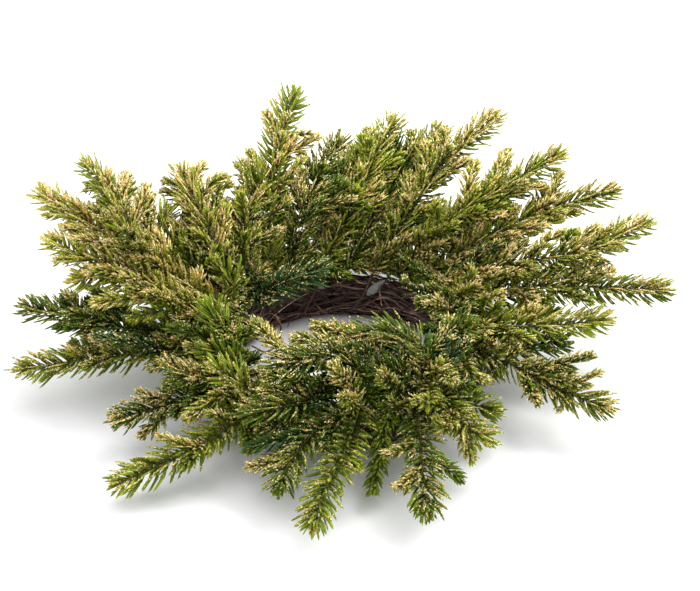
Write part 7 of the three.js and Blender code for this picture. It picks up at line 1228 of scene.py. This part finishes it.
def add_needles(mesh, shape, base, direction, up, bend, length, width, thick, looks, cells, mat=0):
    """base (n,3), direction (n,3) unit at the root, up (n,3) face normal, bend (n,3) where the tip bends to, all sizes (n,), looks (n,3) = tint, gold, seed, cells (n,4) map boxes."""
    S, t_ring, wide = SHAPES[shape]["sides"], SHAPES[shape]["rings"], SHAPES[shape]["wide"]
    R = len(t_ring)
    n = len(base)
    side = unit(np.cross(direction, up))
    up = unit(np.cross(side, direction))
    t = np.r_[t_ring, 1.0]
    # the centre line: straight at the root, bending more towards the tip
    mid = base[:, None] + length[:, None, None] * (t[None, :, None] * direction[:, None] + (t**2)[None, :, None] * bend[:, None])
    v = np.zeros((n, R * S + 1, 3))
    for r in range(R):
        w = (width * wide[r] / 2)[:, None]
        h = (thick * wide[r] / 2)[:, None]
        c = mid[:, r]
        v[:, r * S + 0] = c + side * w
        v[:, r * S + 1] = c + up * h
        v[:, r * S + 2] = c - side * w
        if S == 4:
            v[:, r * S + 3] = c - up * h * 0.8
    v[:, -1] = mid[:, -1]
    off = (np.arange(n) * (R * S + 1))[:, None, None]
    quads = np.array([(r * S + k, r * S + (k + 1) % S, (r + 1) * S + (k + 1) % S, (r + 1) * S + k) for r in range(R - 1) for k in range(S)])
    tips = np.array([((R - 1) * S + k, (R - 1) * S + (k + 1) % S, R * S) for k in range(S)])
    cap = np.array([tuple(range(S))[::-1]])
    x0, y0, x1, y1 = cells.T
    X = lambda a: x0 + (x1 - x0) * a
    Y = lambda a: y0 + (y1 - y0) * a
    col = 0.04 + 0.92 * np.arange(S + 1) / S
    row = np.r_[0.06 + 0.92 * t_ring, 0.985]
    uq = np.zeros((n, len(quads), 4, 2))
    for q in range(len(quads)):
        r, k = divmod(q, S)
        for c, (cc, rr) in enumerate(((k, r), (k + 1, r), (k + 1, r + 1), (k, r + 1))):
            uq[:, q, c, 0], uq[:, q, c, 1] = X(col[cc]), Y(row[rr])
    ut = np.zeros((n, S, 3, 2))
    for k in range(S):
        for c, (a, b) in enumerate(((col[k], row[R - 1]), (col[k + 1], row[R - 1]), ((col[k] + col[k + 1]) / 2, row[R]))):
            ut[:, k, c, 0], ut[:, k, c, 1] = X(a), Y(b)
    uc = np.zeros((n, 1, S, 2))
    for c, (a, b) in enumerate(((0.1, 0.045), (0.35, 0.045), (0.35, 0.01), (0.1, 0.01))[:S]):
        uc[:, 0, c, 0], uc[:, 0, c, 1] = X(a), Y(b)
    tint, gold, seed = looks.T
    lk = np.zeros((n, R * S + 1, 4))
    lk[:, :, 0] = tint[:, None]
    lk[:, :, 1] = np.r_[np.repeat(t_ring, S), 1.0][None]
    # gold sits on the upper faces and thickens to the tip
    updown = np.tile([0.8, 1.2, 0.8, 0.25][:S], R)
    lk[:, :, 2] = gold[:, None] * np.r_[updown, 1.1][None] * (0.60 + 0.58 * lk[:, :, 1])
    lk[:, :, 3] = seed[:, None]
    s0 = mesh.n
    mesh.add(v.reshape(-1, 3), (quads[None] + off).reshape(-1, 4), uq.reshape(-1, 4, 2), mat, lk.reshape(-1, 4))
    for f, u, k in (((tips[None] + off).reshape(-1, 3), ut, 3), ((cap[None] + off).reshape(-1, S), uc, S)):
        mesh.loops.append((f + s0).ravel())
        mesh.sizes.append(np.full(len(f), k))
        mesh.uv.append(u.reshape(-1, 2))
        mesh.mat.append(np.full(len(f), mat))
        mesh.smooth.append(np.full(len(f), True))
    return v, up


def spots_on(v, up, shape, t, face, s, g):
    """Points and normals on the two upper faces of needles: t along, s from the edge to the keel."""
    S, t_ring = SHAPES[shape]["sides"], SHAPES[shape]["rings"]
    R, idx = len(t_ring), np.arange(len(t))
    k = np.clip(np.searchsorted(t_ring, t, side="right") - 1, 0, R - 1)
    nxt = np.r_[t_ring[1:], 1.0]
    f = np.clip((t - t_ring[k]) / (nxt[k] - t_ring[k]), 0, 0.92)[:, None]
    ks = np.where(face == 0, 0, 2)
    last = k == R - 1
    edge_to = np.where(last, R * S, (k + 1) * S + ks)
    keel_to = np.where(last, R * S, (k + 1) * S + 1)
    edge = v[idx, k * S + ks] * (1 - f) + v[idx, edge_to] * f
    keel = v[idx, k * S + 1] * (1 - f) + v[idx, keel_to] * f
    nrm = unit(np.cross(v[idx, -1] - v[idx, 0], keel - edge))
    nrm[np.sum(nrm * up, 1) < 0] *= -1
    return edge * (1 - s)[:, None] + keel * s[:, None], unit(nrm + g.normal(0, 0.25, (len(t), 3)))


def add_grains(mesh, at, normal, along, size, seed, cells, mat):
    """Small four-faced flakes, longer along the needle than across, sunk a little into it."""
    n = len(at)
    a = unit(along - normal * np.sum(along * normal, 1)[:, None] + rng.normal(0, 0.15, (n, 3)))
    b = np.cross(normal, a)
    v = np.zeros((n, 4, 3))
    for k in range(3):
        ang = 2 * math.pi * k / 3
        v[:, k] = at + size[:, None] * (0.95 * math.cos(ang) * a + 0.5 * math.sin(ang) * b - 0.12 * normal)
    v[:, 3] = at + size[:, None] * (0.42 * normal + 0.2 * rng.normal(size=(n, 1)) * a)
    f = np.array([(0, 1, 3), (1, 2, 3), (2, 0, 3), (2, 1, 0)])
    faces = (f[None] + (np.arange(n) * 4)[:, None, None]).reshape(-1, 3)
    x0, y0, x1, y1 = cells.T
    cx, cy = (x0 + x1) / 2, (y0 + y1) / 2
    corner = [np.stack([x0 + 0.15 * (x1 - x0), y0 + 0.15 * (y1 - y0)], 1), np.stack([x1 - 0.15 * (x1 - x0), y0 + 0.15 * (y1 - y0)], 1), np.stack([cx, y1 - 0.15 * (y1 - y0)], 1)]
    mid = np.stack([cx, cy], 1)
    uv = np.zeros((n, 4, 3, 2))
    for k, (p, q_, r_) in enumerate(((0, 1, 3), (1, 2, 3), (2, 0, 3))):
        uv[:, k, 0], uv[:, k, 1], uv[:, k, 2] = corner[p], corner[q_], mid
    uv[:, 3, 0] = corner[0] + (corner[0] - mid) * 0.2
    uv[:, 3, 1] = uv[:, 3, 0] + (corner[1] - corner[0]) * 0.08
    uv[:, 3, 2] = uv[:, 3, 0] + (corner[2] - corner[0]) * 0.08
    lk = np.zeros((n, 4, 4))
    lk[:, :, 1] = 0.5
    lk[:, :, 2] = 1.0
    lk[:, :, 3] = seed[:, None]
    mesh.add(v.reshape(-1, 3), faces, uv.reshape(-1, 3, 2), mat, lk.reshape(-1, 4), smooth=False)


# What each kind of branch carries: step between whorls, needle length, width and thickness, angle to the axis at the root and at the tip of the branch, how much a needle curls forward,
# the places round the axis of the needles of two whorls in turn (0 and 180 at the sides, 90 on top), twig radius, how far the tuft reaches past the twig.
KINDS = {
    "l": dict(shape="long", step=3.9, length=25.5, width=3.3, thick=2.1, open0=82, open1=46, curl=0.36, twig=1.25, trim=12.0, tuft=12,
              whorls=([2, 178, 52, 128, -28, -152], [26, 154, 86, -70])),
    "m": dict(shape="long", step=3.8, length=24.5, width=3.2, thick=2.1, open0=78, open1=56, curl=0.30, twig=1.15, trim=13.0, tuft=12,
              whorls=([4, 176, 60, -40, -140], [20, 160, 100, -78])),
    "s": dict(shape="short", step=3.8, length=14.0, width=3.1, thick=2.0, open0=62, open1=40, curl=0.24, twig=1.0, trim=6.0, tuft=6,
              whorls=([8, 172, 60, 120], [-6, 186, 34, 146, 90], [14, 166, 72, -90])),
    "w": dict(shape="short", step=3.2, length=14.5, width=2.6, thick=1.8, open0=66, open1=36, curl=0.2, twig=1.1, trim=6.0, tuft=8,
              whorls=([0, 60, 120, 180, 240, 300], [30, 90, 150, 210, 270, 330])),
}


def cut_end(points, length):
    """The polyline without its last bit, which the tuft of needles covers."""
    p = [np.array(q) for q in points]
    left = min(length, 0.45 * sum(np.linalg.norm(b - a) for a, b in zip(p[:-1], p[1:])))
    while len(p) > 2 and np.linalg.norm(p[-1] - p[-2]) <= left:
        left -= np.linalg.norm(p[-1] - p[-2])
        p.pop()
    d = p[-2] - p[-1]
    p[-1] = p[-1] + d * min(0.9, left / np.linalg.norm(d))
    return np.array(p)


def branch_needles(kind, hue_with_light_and_shade, gold, points, first, g):
    """The needles of one branch as arrays, its axis and its twig radius."""
    k = KINDS[kind]
    points = cut_end(np.asarray(points), k["trim"])
    rough = np.linalg.norm(np.diff(points, axis=0), axis=1).sum()
    n = max(10, int(rough / 2.0))
    path = catmull(points, n)
    tan, nor, sid = frames(path)
    length = np.linalg.norm(np.diff(path, axis=0), axis=1).sum()
    s = np.arange(3.0 if first else 5.0, length + 0.1, k["step"])
    rows = []
    for i, si in enumerate(s):
        for a in k["whorls"][i % len(k["whorls"])]:
            rows.append((si + g.uniform(-0.5, 0.5) * k["step"], a + g.normal(0, 8)))
    # the tuft at the tip
    for j in range(k["tuft"]):
        rows.append((length - g.uniform(0, 2.5), j * 360 / k["tuft"] * 2 + g.normal(0, 15)))
    rows = np.array(rows)
    tuft = np.zeros(len(rows), bool)
    tuft[-k["tuft"]:] = True
    at = np.clip(rows[:, 0] / length, 0, 1)
    f = at * (n - 1)
    i0 = np.minimum(f.astype(int), n - 2)
    w = (f - i0)[:, None]
    lerp = lambda a: a[i0] * (1 - w) + a[i0 + 1] * w
    base, t, no, si = lerp(path), unit(lerp(tan)), unit(lerp(nor)), unit(lerp(sid))
    az = np.radians(rows[:, 1])
    radial = unit(np.cos(az)[:, None] * si + np.sin(az)[:, None] * no)
    open_ = k["open0"] + (k["open1"] - k["open0"]) * at**2.4
    open_ = open_ * (1 - 0.15 * np.abs(np.sin(az)) * (np.sin(az) > 0)) + g.normal(0, 5, len(rows))
    open_[tuft] = np.where(np.arange(tuft.sum()) % 2, g.uniform(4, 18, tuft.sum()), g.uniform(22, 42, tuft.sum()))
    o = np.radians(open_)[:, None]
    d = unit(np.cos(o) * t + np.sin(o) * radial)
    ln = k["length"] * (0.74 + 0.26 * np.minimum(1, rows[:, 0] / 14)) * g.normal(1, 0.09, len(rows))
    ln *= 1 - 0.38 * np.clip((at * length - (length - 18)) / 18, 0, 1) ** 1.6
    ln *= np.where(np.sin(az) > 0.6, 0.85, 1.0) * np.where(np.sin(az) < -0.3, 0.9, 1.0)
    if length < 40:
        ln *= 0.92
    ln = np.clip(ln, 5, 29)
    # they bend forward along the branch, and a little up
    bend = k["curl"] * t - 0.5 * k["curl"] * radial + np.array([0, 0, 0.03]) + g.normal(0, 0.045, (len(rows), 3))
    bend[tuft] *= 0.35
    up = unit(no + 0.5 * t * np.sin(az)[:, None] + g.normal(0, 0.25, (len(rows), 3)))
    wd = k["width"] * g.normal(1, 0.1, len(rows))
    th = k["thick"] * g.normal(1, 0.08, len(rows))
    base = base + radial * (k["twig"] * 0.35)
    # the branch's hue carries its needles' own colour, and also painted shade on the inner branches and painted light
    # on the upper-left ones
    tint = np.clip(hue_with_light_and_shade + g.normal(0, 0.07, len(rows)) - 0.10 * at, 0, 1)
    # gold: the ends of the branches, the upper needles, some needles wholly
    over = np.where(np.sin(az) > 0.3, 1.25, np.where(np.sin(az) < -0.2, 0.3, 0.85)) if k["shape"] == "long" else np.where(np.sin(az) > 0.3, 1.2, np.where(np.sin(az) < -0.2, 0.5, 0.95))
    gl = gold * (0.80 + 0.20 * at) * g.uniform(0.3, 1.5, len(rows)) * over
    seed = g.uniform(0, 1, len(rows))
    return dict(base=base, d=d, up=up, bend=bend, ln=ln, wd=wd, th=th, look=np.stack([tint, gl, seed], 1), path=path, twig=k["twig"], shape=k["shape"], gold=gold)


def spray_piece(name, branches, seed):
    g = np.random.default_rng(seed)
    mesh = Mesh()
    parts = []
    for i, b in enumerate(branches):
        pts = np.array(b[3:], float).reshape(-1, 3) + SHIFT
        parts.append(branch_needles(b[0], b[1], b[2], pts, i == 0, g))
    count = {k: sum(len(p["base"]) for p in parts if p["shape"] == k) for k in SHAPES}
    # map: needles fill the lower part, long ones in cells of twice the height, then one strip for each twig, then the grains
    H = 0.80
    area = {"long": 2.6 * count["long"], "short": 1.0 * count["short"]}
    spots = []
    y_from = 0.0
    for shape in SHAPES:
        N = count[shape]
        if not N:
            continue
        h = H * area[shape] / sum(area.values())
        # cells about 3.6 times as high as wide
        cols = max(1, int(math.ceil(math.sqrt(3.6 * N / h))))
        rows = int(math.ceil(N / cols))
        ids = np.arange(N)
        cw, ch = 1.0 / cols, h / rows
        x, y = (ids % cols) * cw, y_from + (ids // cols) * ch
        y_from += h
        cells = np.stack([x + 0.04 * cw, y + 0.01 * ch, x + 0.96 * cw, y + 0.99 * ch], 1)
        some = [p for p in parts if p["shape"] == shape]
        cat = lambda k: np.concatenate([p[k] for p in some])
        look = cat("look")
        v, up = add_needles(mesh, shape, cat("base"), cat("d"), cat("up"), cat("bend"), cat("ln"), cat("wd"), cat("th"), look, cells)
        # grains of glitter on the upper faces
        who = np.repeat(np.arange(N), g.poisson(np.clip(look[:, 1], 0, 1.3) * GRAINS_PER_NEEDLE[shape]))
        n = len(who)
        if n:
            at, nrm = spots_on(v[who], up[who], shape, g.uniform(0.12, 0.97, n) ** 0.8, g.choice([0, 1], n), g.uniform(0.1, 0.9, n), g)
            spots.append((at, nrm, cat("d")[who]))
    # twigs
    strip = 0.07 / len(parts)
    for i, p in enumerate(parts):
        q = p["path"]
        m = len(q)
        small = p["shape"] == "short"
        keep = np.unique(np.round(np.linspace(0, m - 1, 5 if small else 13)).astype(int))
        q = q[keep]
        m = len(q)
        r = p["twig"] * np.linspace(1.15, 0.55, m)
        if i == 0:
            r = r + 0.7 * np.exp(-np.arange(m) / m * 9)
        lk = np.stack([np.full(m, 0.5), np.linspace(0, 1, m), np.zeros(m), np.full(m, g.uniform(0.3, 0.9))], 1)
        tube(mesh, q, r, 4 if small else 5, (0.005, H + 0.005 + i * strip, 0.995, H + 0.005 + (i + 0.94) * strip), 1, lk, wobble=0.08, seed=seed + i)
    n = 0
    if spots:
        at, nrm, run = (np.vstack([s[k] for s in spots]) for k in range(3))
        n = len(at)
        y0 = H + 0.085
        side = math.sqrt((1 - y0) / n)
        cc = int(1 / side)
        rr = int(math.ceil(n / cc))
        sw, sh = 1.0 / cc, (1 - y0) / rr
        gid = np.arange(n)
        gx, gy = (gid % cc) * sw, y0 + (gid // cc) * sh
        add_grains(mesh, at, nrm, run, g.uniform(0.8, 1.55, n), g.uniform(0, 1, n), np.stack([gx, gy, gx + sw, gy + sh], 1), 2)
    ob = mesh.make(name, [NEEDLE, TWIG, GLITTER])
    return ob, sum(count.values()), n


GRAINS_PER_NEEDLE = {"long": 5.8, "short": 3.0}

totals = [0, 0, 0]
most = 0
for number, (name, (root, branches)) in enumerate(SPRAYS.items()):
    ob, a, b = spray_piece(name + "_foliage", branches, 100 + number)
    totals[0] += a
    totals[1] += b
    tri = sum(len(p.vertices) - 2 for p in ob.data.polygons)
    totals[2] += tri
    most = max(most, tri)
    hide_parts(name + "_needles")
    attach(ob, "root")
print("needles", totals[0], "grains", totals[1], "foliage triangles", totals[2], "most in a piece", most)


# ---------------------------------------------------------------- stems
def on_ring(degrees, distance, section):
    a, s = math.radians(degrees), math.radians(section)
    r = RING_RADIUS + distance * math.cos(s)
    return np.array([r * math.cos(a), r * math.sin(a), RING_HEIGHT + distance * math.sin(s)])


def start_of(points, length):
    out, left = [points[0]], length
    for a, b in zip(points[:-1], points[1:]):
        d = np.linalg.norm(b - a)
        if d > left:
            return out + [a + (b - a) * left / d]
        out.append(b)
        left -= d
    return out


# Two stems come up the inner face of the ring before they go over its top: (angle, distance, section angle) of the points of that part.
TAILS = {
    "spray_12": [(115.5, 13, 214), (114.5, 22.2, 196), (110.5, 22.2, 165), (105, 22.2, 133), (103, 22.2, 100)],
    "spray_14": [(86.5, 13, 214), (85.5, 22.2, 196), (80.5, 22.2, 170), (77, 22.2, 144), (75.5, 22.2, 104)],
}

for number, (name, (root, branches)) in enumerate(SPRAYS.items()):
    pts = np.array(branches[0][3:], float).reshape(-1, 3)
    low = [on_ring(*q) for q in TAILS.get(name, [(root, 10.5, 70)])]
    n = 26 if len(low) == 1 else 40
    path = catmull(low + start_of(list(pts), STEM_ALONG_LEADER), n) + SHIFT
    m = Mesh()
    t = np.linspace(0, 1, n)
    g = np.random.default_rng(500 + number)
    r = 1.75 - 0.25 * t + 0.28 * np.exp(-((t - g.uniform(0.3, 0.7)) / 0.05) ** 2) + 0.25 * np.exp(-((t - 0.97) / 0.06) ** 2)
    if len(low) > 1:
        r = r - 0.5 * (t < 0.55)
    lk = np.stack([g.uniform(0.3, 0.7, n), t, 0 * t, np.full(n, g.uniform(0.2, 0.8))], 1)
    tube(m, path, r, 10, (0.0, 0.0, 1.0, 1.0), 0, lk, wobble=0.05, seed=number)
    ob = m.make(name + "_woody_stem", [BARK])
    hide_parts(name + "_stem")
    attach(ob, "root")


# ---------------------------------------------------------------- vine ring
def wander(g, n, size, smooth):
    """A smooth random walk round zero."""
    k = g.normal(0, 1, n + 8 * smooth)
    w = np.hanning(2 * smooth + 1)
    k = np.convolve(k, w / w.sum(), "same")[4 * smooth : 4 * smooth + n]
    return size * k / max(k.std(), 1e-6)


def vine_path(g, start, sweep, section, depth, turn, loose, step=4.0):
    """Polar path in the ring: angle start to start + sweep, section angle and depth in the section drifting as it goes."""
    n = max(7, int(abs(sweep) / step))
    a = start + np.linspace(0, sweep, n)
    sec = section + turn * np.radians(a - start) + wander(g, n, 0.20, 4)
    d = np.clip(depth + wander(g, n, loose, 3), 1.0, 20.0)
    return a, sec, d


def place(a, sec, d, r):
    rad = np.radians(a)
    across = RING_RADIUS + d * np.cos(sec)
    z = np.maximum(RING_HEIGHT + d * np.sin(sec), r + 0.15)
    return np.stack([across * np.cos(rad), across * np.sin(rad), z], 1)


# Each bundle: a few thick vines inside, thin ones laid over them with the ring, short ones that cross, and ends that have sprung out.
CORE, LAID, CROSSING = 5, 32, 56
for bundle in range(4):
    g = np.random.default_rng(900 + bundle)
    m = Mesh()
    total = CORE + LAID + CROSSING
    for i in range(total):
        start = g.uniform(0, 360)
        lay = BUNDLE_TWISTS * math.radians(start) + 2 * math.pi * bundle / 4
        sprung = 0.0
        if i < CORE:
            a, sec, d = vine_path(g, start, 345, lay + g.uniform(-0.7, 0.7), 4 + 9 * i / CORE, BUNDLE_TWISTS, 1.0, 4.6)
            r0, sides = g.uniform(2.6, 3.8), 6
        elif i < CORE + LAID:
            turn = g.choice([g.normal(0.1, 0.5), g.normal(1.5, 0.8), g.normal(-1.1, 0.6)], p=[0.6, 0.22, 0.18])
            a, sec, d = vine_path(g, start, g.uniform(60, 250), lay + g.uniform(-0.95, 0.95), g.uniform(15.2, 19.0), turn, 0.8)
            r0, sides = g.choice([g.uniform(0.5, 0.8), g.uniform(0.8, 1.25)], p=[0.7, 0.3]), 5
            sprung = g.uniform(0, 5) if g.random() < 0.3 else 0.0
        else:
            turn = g.choice([-1, 1]) * g.uniform(2.0, 5.5)
            a, sec, d = vine_path(g, start, g.uniform(14, 52), lay + g.uniform(-1.3, 1.3), g.uniform(18.0, 19.7), turn, 0.6, 2.8)
            r0, sides = g.uniform(0.35, 0.75), 5
            sprung = g.uniform(1, 6) if g.random() < 0.5 else 0.0
        n = len(a)
        t = np.linspace(0, 1, n)
        d = d + sprung * np.clip((t - 0.82) / 0.18, 0, 1) ** 1.5
        r = np.clip(r0 * (1 + 0.10 * wander(g, n, 1, 2)) * (1 - 0.35 * t**3), 0.35, 4.5)
        p = place(a, sec, d, r)
        y0 = i / total
        # the core vines get the seed 0.1, which darkens them: painted shade in the gaps between the outer vines
        lk = np.stack([np.clip(0.5 + wander(g, n, 0.2, 3), 0, 1), t, 0 * t, np.full(n, g.uniform(0, 1) ** 1.3 if i >= CORE else 0.1)], 1)
        tube(m, p + SHIFT, r, sides, (0, y0, 1, y0 + 0.97 / total), 0, lk, wobble=0.07, seed=1000 * bundle + i)
    ob = m.make("vine_strands_%d" % (bundle + 1), [VINE])
    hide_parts("vine_bundle_%d" % (bundle + 1))
    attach(ob, "root")

TENDRILS = [
    [-80.9, 39.4, 38.0, -69.7, 33.8, 26.0, -62.2, 28.2, 14.0, -71.4, 20.5, 10.0, -84.5, 21.5, 16.0],
    [-62.7, 52.4, 30.0, -58.0, 47.0, 20.0, -61.7, 38.0, 10.0, -74.1, 41.1, 8.0, -88.8, 36.3, 20.0],
]
for i, flat in enumerate(TENDRILS):
    p = catmull(np.array(flat, float).reshape(-1, 3), 48) + SHIFT
    m = Mesh()
    t = np.linspace(0, 1, 48)
    g = np.random.default_rng(70 + i)
    r = 1.15 - 0.35 * t + 0.1 * wander(g, 48, 1, 2)
    lk = np.stack([0.6 + 0 * t, t, 0 * t, 0.6 + 0 * t], 1)
    tube(m, p, np.clip(r, 0.5, 2), 8, (0, 0, 1, 1), 0, lk, wobble=0.06, seed=40 + i)
    ob = m.make("loose_vine_%d" % (i + 1), [VINE])
    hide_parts("vine_tendril_%d" % (i + 1))
    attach(ob, "root")


# ---------------------------------------------------------------- glue
def blob(name, node_name, centre, size, along, away, seed):
    """A drop of glue that has run a little before it set: long axis along, thin axis away from the vines."""
    g = np.random.default_rng(seed)
    nu, nv = 32, 18
    u = np.linspace(0, 2 * math.pi, nu, endpoint=False)
    w = np.linspace(0, math.pi, nv)
    x = unit(along)
    z = unit(np.asarray(away) - x * (x @ np.asarray(away)))
    y = np.cross(z, x)
    verts = []
    for b in w[1:-1]:
        for a in u:
            d = np.array([math.sin(b) * math.cos(a), math.sin(b) * math.sin(a), math.cos(b)])
            lump = 1 + 0.06 * math.sin(3 * a + seed) * math.sin(b) + 0.04 * math.sin(5 * a - 2 * b)
            narrow = 1 - 0.55 * max(0, d[0]) ** 1.5 - 0.12 * max(0, -d[0])
            verts.append(d * np.array(size) * lump * np.array([1, narrow, narrow]))
    verts += [np.array([0, 0, size[2]]), np.array([0, 0, -size[2]])]
    verts = np.array(verts)
    verts = verts[:, :1] * x + verts[:, 1:2] * y + verts[:, 2:] * z + centre
    m = Mesh()
    rows = nv - 2
    i, j = np.meshgrid(np.arange(rows - 1), np.arange(nu), indexing="ij")
    i, j = i.ravel(), j.ravel()
    jn = (j + 1) % nu
    q = np.stack([i * nu + j, (i + 1) * nu + j, (i + 1) * nu + jn, i * nu + jn], 1)
    U = lambda jj, ii: np.stack([0.02 + 0.96 * jj / nu, 0.05 + 0.9 * (ii + 1) / (nv - 1)], 1)
    m.add(verts, q, np.stack([U(j, i), U(j, i + 1), U(j + 1, i + 1), U(j + 1, i)], 1), 0, np.tile([0.5, 0.5, 0, 0.5], (len(verts), 1)))
    j = np.arange(nu)
    jn = (j + 1) % nu
    top, bot = rows * nu, rows * nu + 1
    for tri, uv in (
        (np.stack([np.full(nu, top), j, jn], 1), np.stack([U(j + 0.5, 0 * j - 1), U(j, 0 * j), U(j + 1, 0 * j)], 1)),
        (np.stack([np.full(nu, bot), (rows - 1) * nu + jn, (rows - 1) * nu + j], 1), np.stack([U(j + 0.5, 0 * j + rows), U(j + 1, 0 * j + rows - 1), U(j, 0 * j + rows - 1)], 1)),
    ):
        m.loops.append(tri.ravel())
        m.sizes.append(np.full(nu, 3))
        m.uv.append(uv.reshape(-1, 2))
        m.mat.append(np.full(nu, 0))
        m.smooth.append(np.full(nu, True))
    ob = m.make(name, [GLUE])
    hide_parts(node_name)
    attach(ob, "root")


# place on the ring (angle, distance, section angle), half sizes, long axis
DABS = [
    ((71.5, 20.6, 125.0), (12.0, 4.6, 3.6), (0.78, 0.38, 0.5)),
    ((103.0, 20.6, 122.0), (6.0, 4.2, 3.2), (0.9, -0.15, -0.3)),
]
for i, (at, size, along) in enumerate(DABS):
    a, sec = math.radians(at[0]), math.radians(at[2])
    away = np.array([math.cos(sec) * math.cos(a), math.cos(sec) * math.sin(a), math.sin(sec)])
    blob("glue_drop_%d" % (i + 1), "glue_dab_%d" % (i + 1), on_ring(*at) + SHIFT, size, np.array(along), away, i + 1)

# ---------------------------------------------------------------- floor, light, camera
me = bpy.data.meshes.new("floor")
S = 6.0
me.from_pydata([(-S, -S, 0), (S, -S, 0), (S, S, 0), (-S, S, 0)], [], [(0, 1, 2, 3)])
floor = bpy.data.objects.new("floor", me)
bpy.context.scene.collection.objects.link(floor)
fm, fnt, fb = new_material("floor_white")
fb.inputs["Base Color"].default_value = (0.92, 0.92, 0.925, 1)
fb.inputs["Roughness"].default_value = 0.6
fb.inputs["Specular IOR Level"].default_value = 0.2
me.materials.append(fm)
floor.location.z = -0.0002

world = bpy.data.worlds.new("studio")
world.use_nodes = True
world.node_tree.nodes["Background"].inputs[0].default_value = (0.975, 0.985, 1.0, 1)
world.node_tree.nodes["Background"].inputs[1].default_value = 0.9
bpy.context.scene.world = world


def area(name, place, aim, size, watts, colour=(1, 1, 1)):
    li = bpy.data.lights.new(name, "AREA")
    li.shape = "RECTANGLE"
    li.size, li.size_y = size
    li.energy = watts
    li.color = colour
    ob = bpy.data.objects.new(name, li)
    bpy.context.scene.collection.objects.link(ob)
    ob.location = place
    ob.rotation_euler = (Vector(aim) - Vector(place)).to_track_quat("-Z", "Y").to_euler()


area("key", (0.95, 0.98, 1.5), (0, 0, 0.05), (1.4, 1.4), 50, (1.0, 0.99, 0.97))
area("left", (-1.5, -0.55, 0.6), (-0.15, 0.05, 0.12), (0.9, 0.7), 7, (1.0, 1.0, 1.0))
area("right", (1.6, -0.3, 0.6), (0.15, 0.05, 0.1), (0.9, 0.7), 5, (1.0, 1.0, 1.0))
area("top", (-0.75, 0.0, 1.7), (0, 0, 0.05), (1.4, 1.4), 7, (1.0, 1.0, 1.0))
area("fill", (1.1, -1.4, 1.2), (0, 0, 0.05), (1.8, 1.4), 3, (1.0, 1.0, 1.0))

# camera: the photograph's view, a long lens 31 degrees above the horizon
cam = bpy.data.cameras.new("camera")
cam.sensor_width = 36.0
cam.lens = 36.0 * 1942.0 / 700.0
E = math.radians(31.0)
up = Vector((0, math.sin(E), math.cos(E)))
target = Vector((0.0074, 0, 0.020)) + 0.055 * up + Vector(SHIFT) / 1000.0
fwd = Vector((0, math.cos(E), -math.sin(E)))
co = bpy.data.objects.new("camera", cam)
co.location = target - 1.8 * fwd
co.rotation_euler = fwd.to_track_quat("-Z", "Y").to_euler()
bpy.context.scene.collection.objects.link(co)
bpy.context.scene.camera = co

sc = bpy.context.scene
sc.view_settings.view_transform = "Standard"
sc.view_settings.look = "None"
sc.view_settings.exposure = 0.0
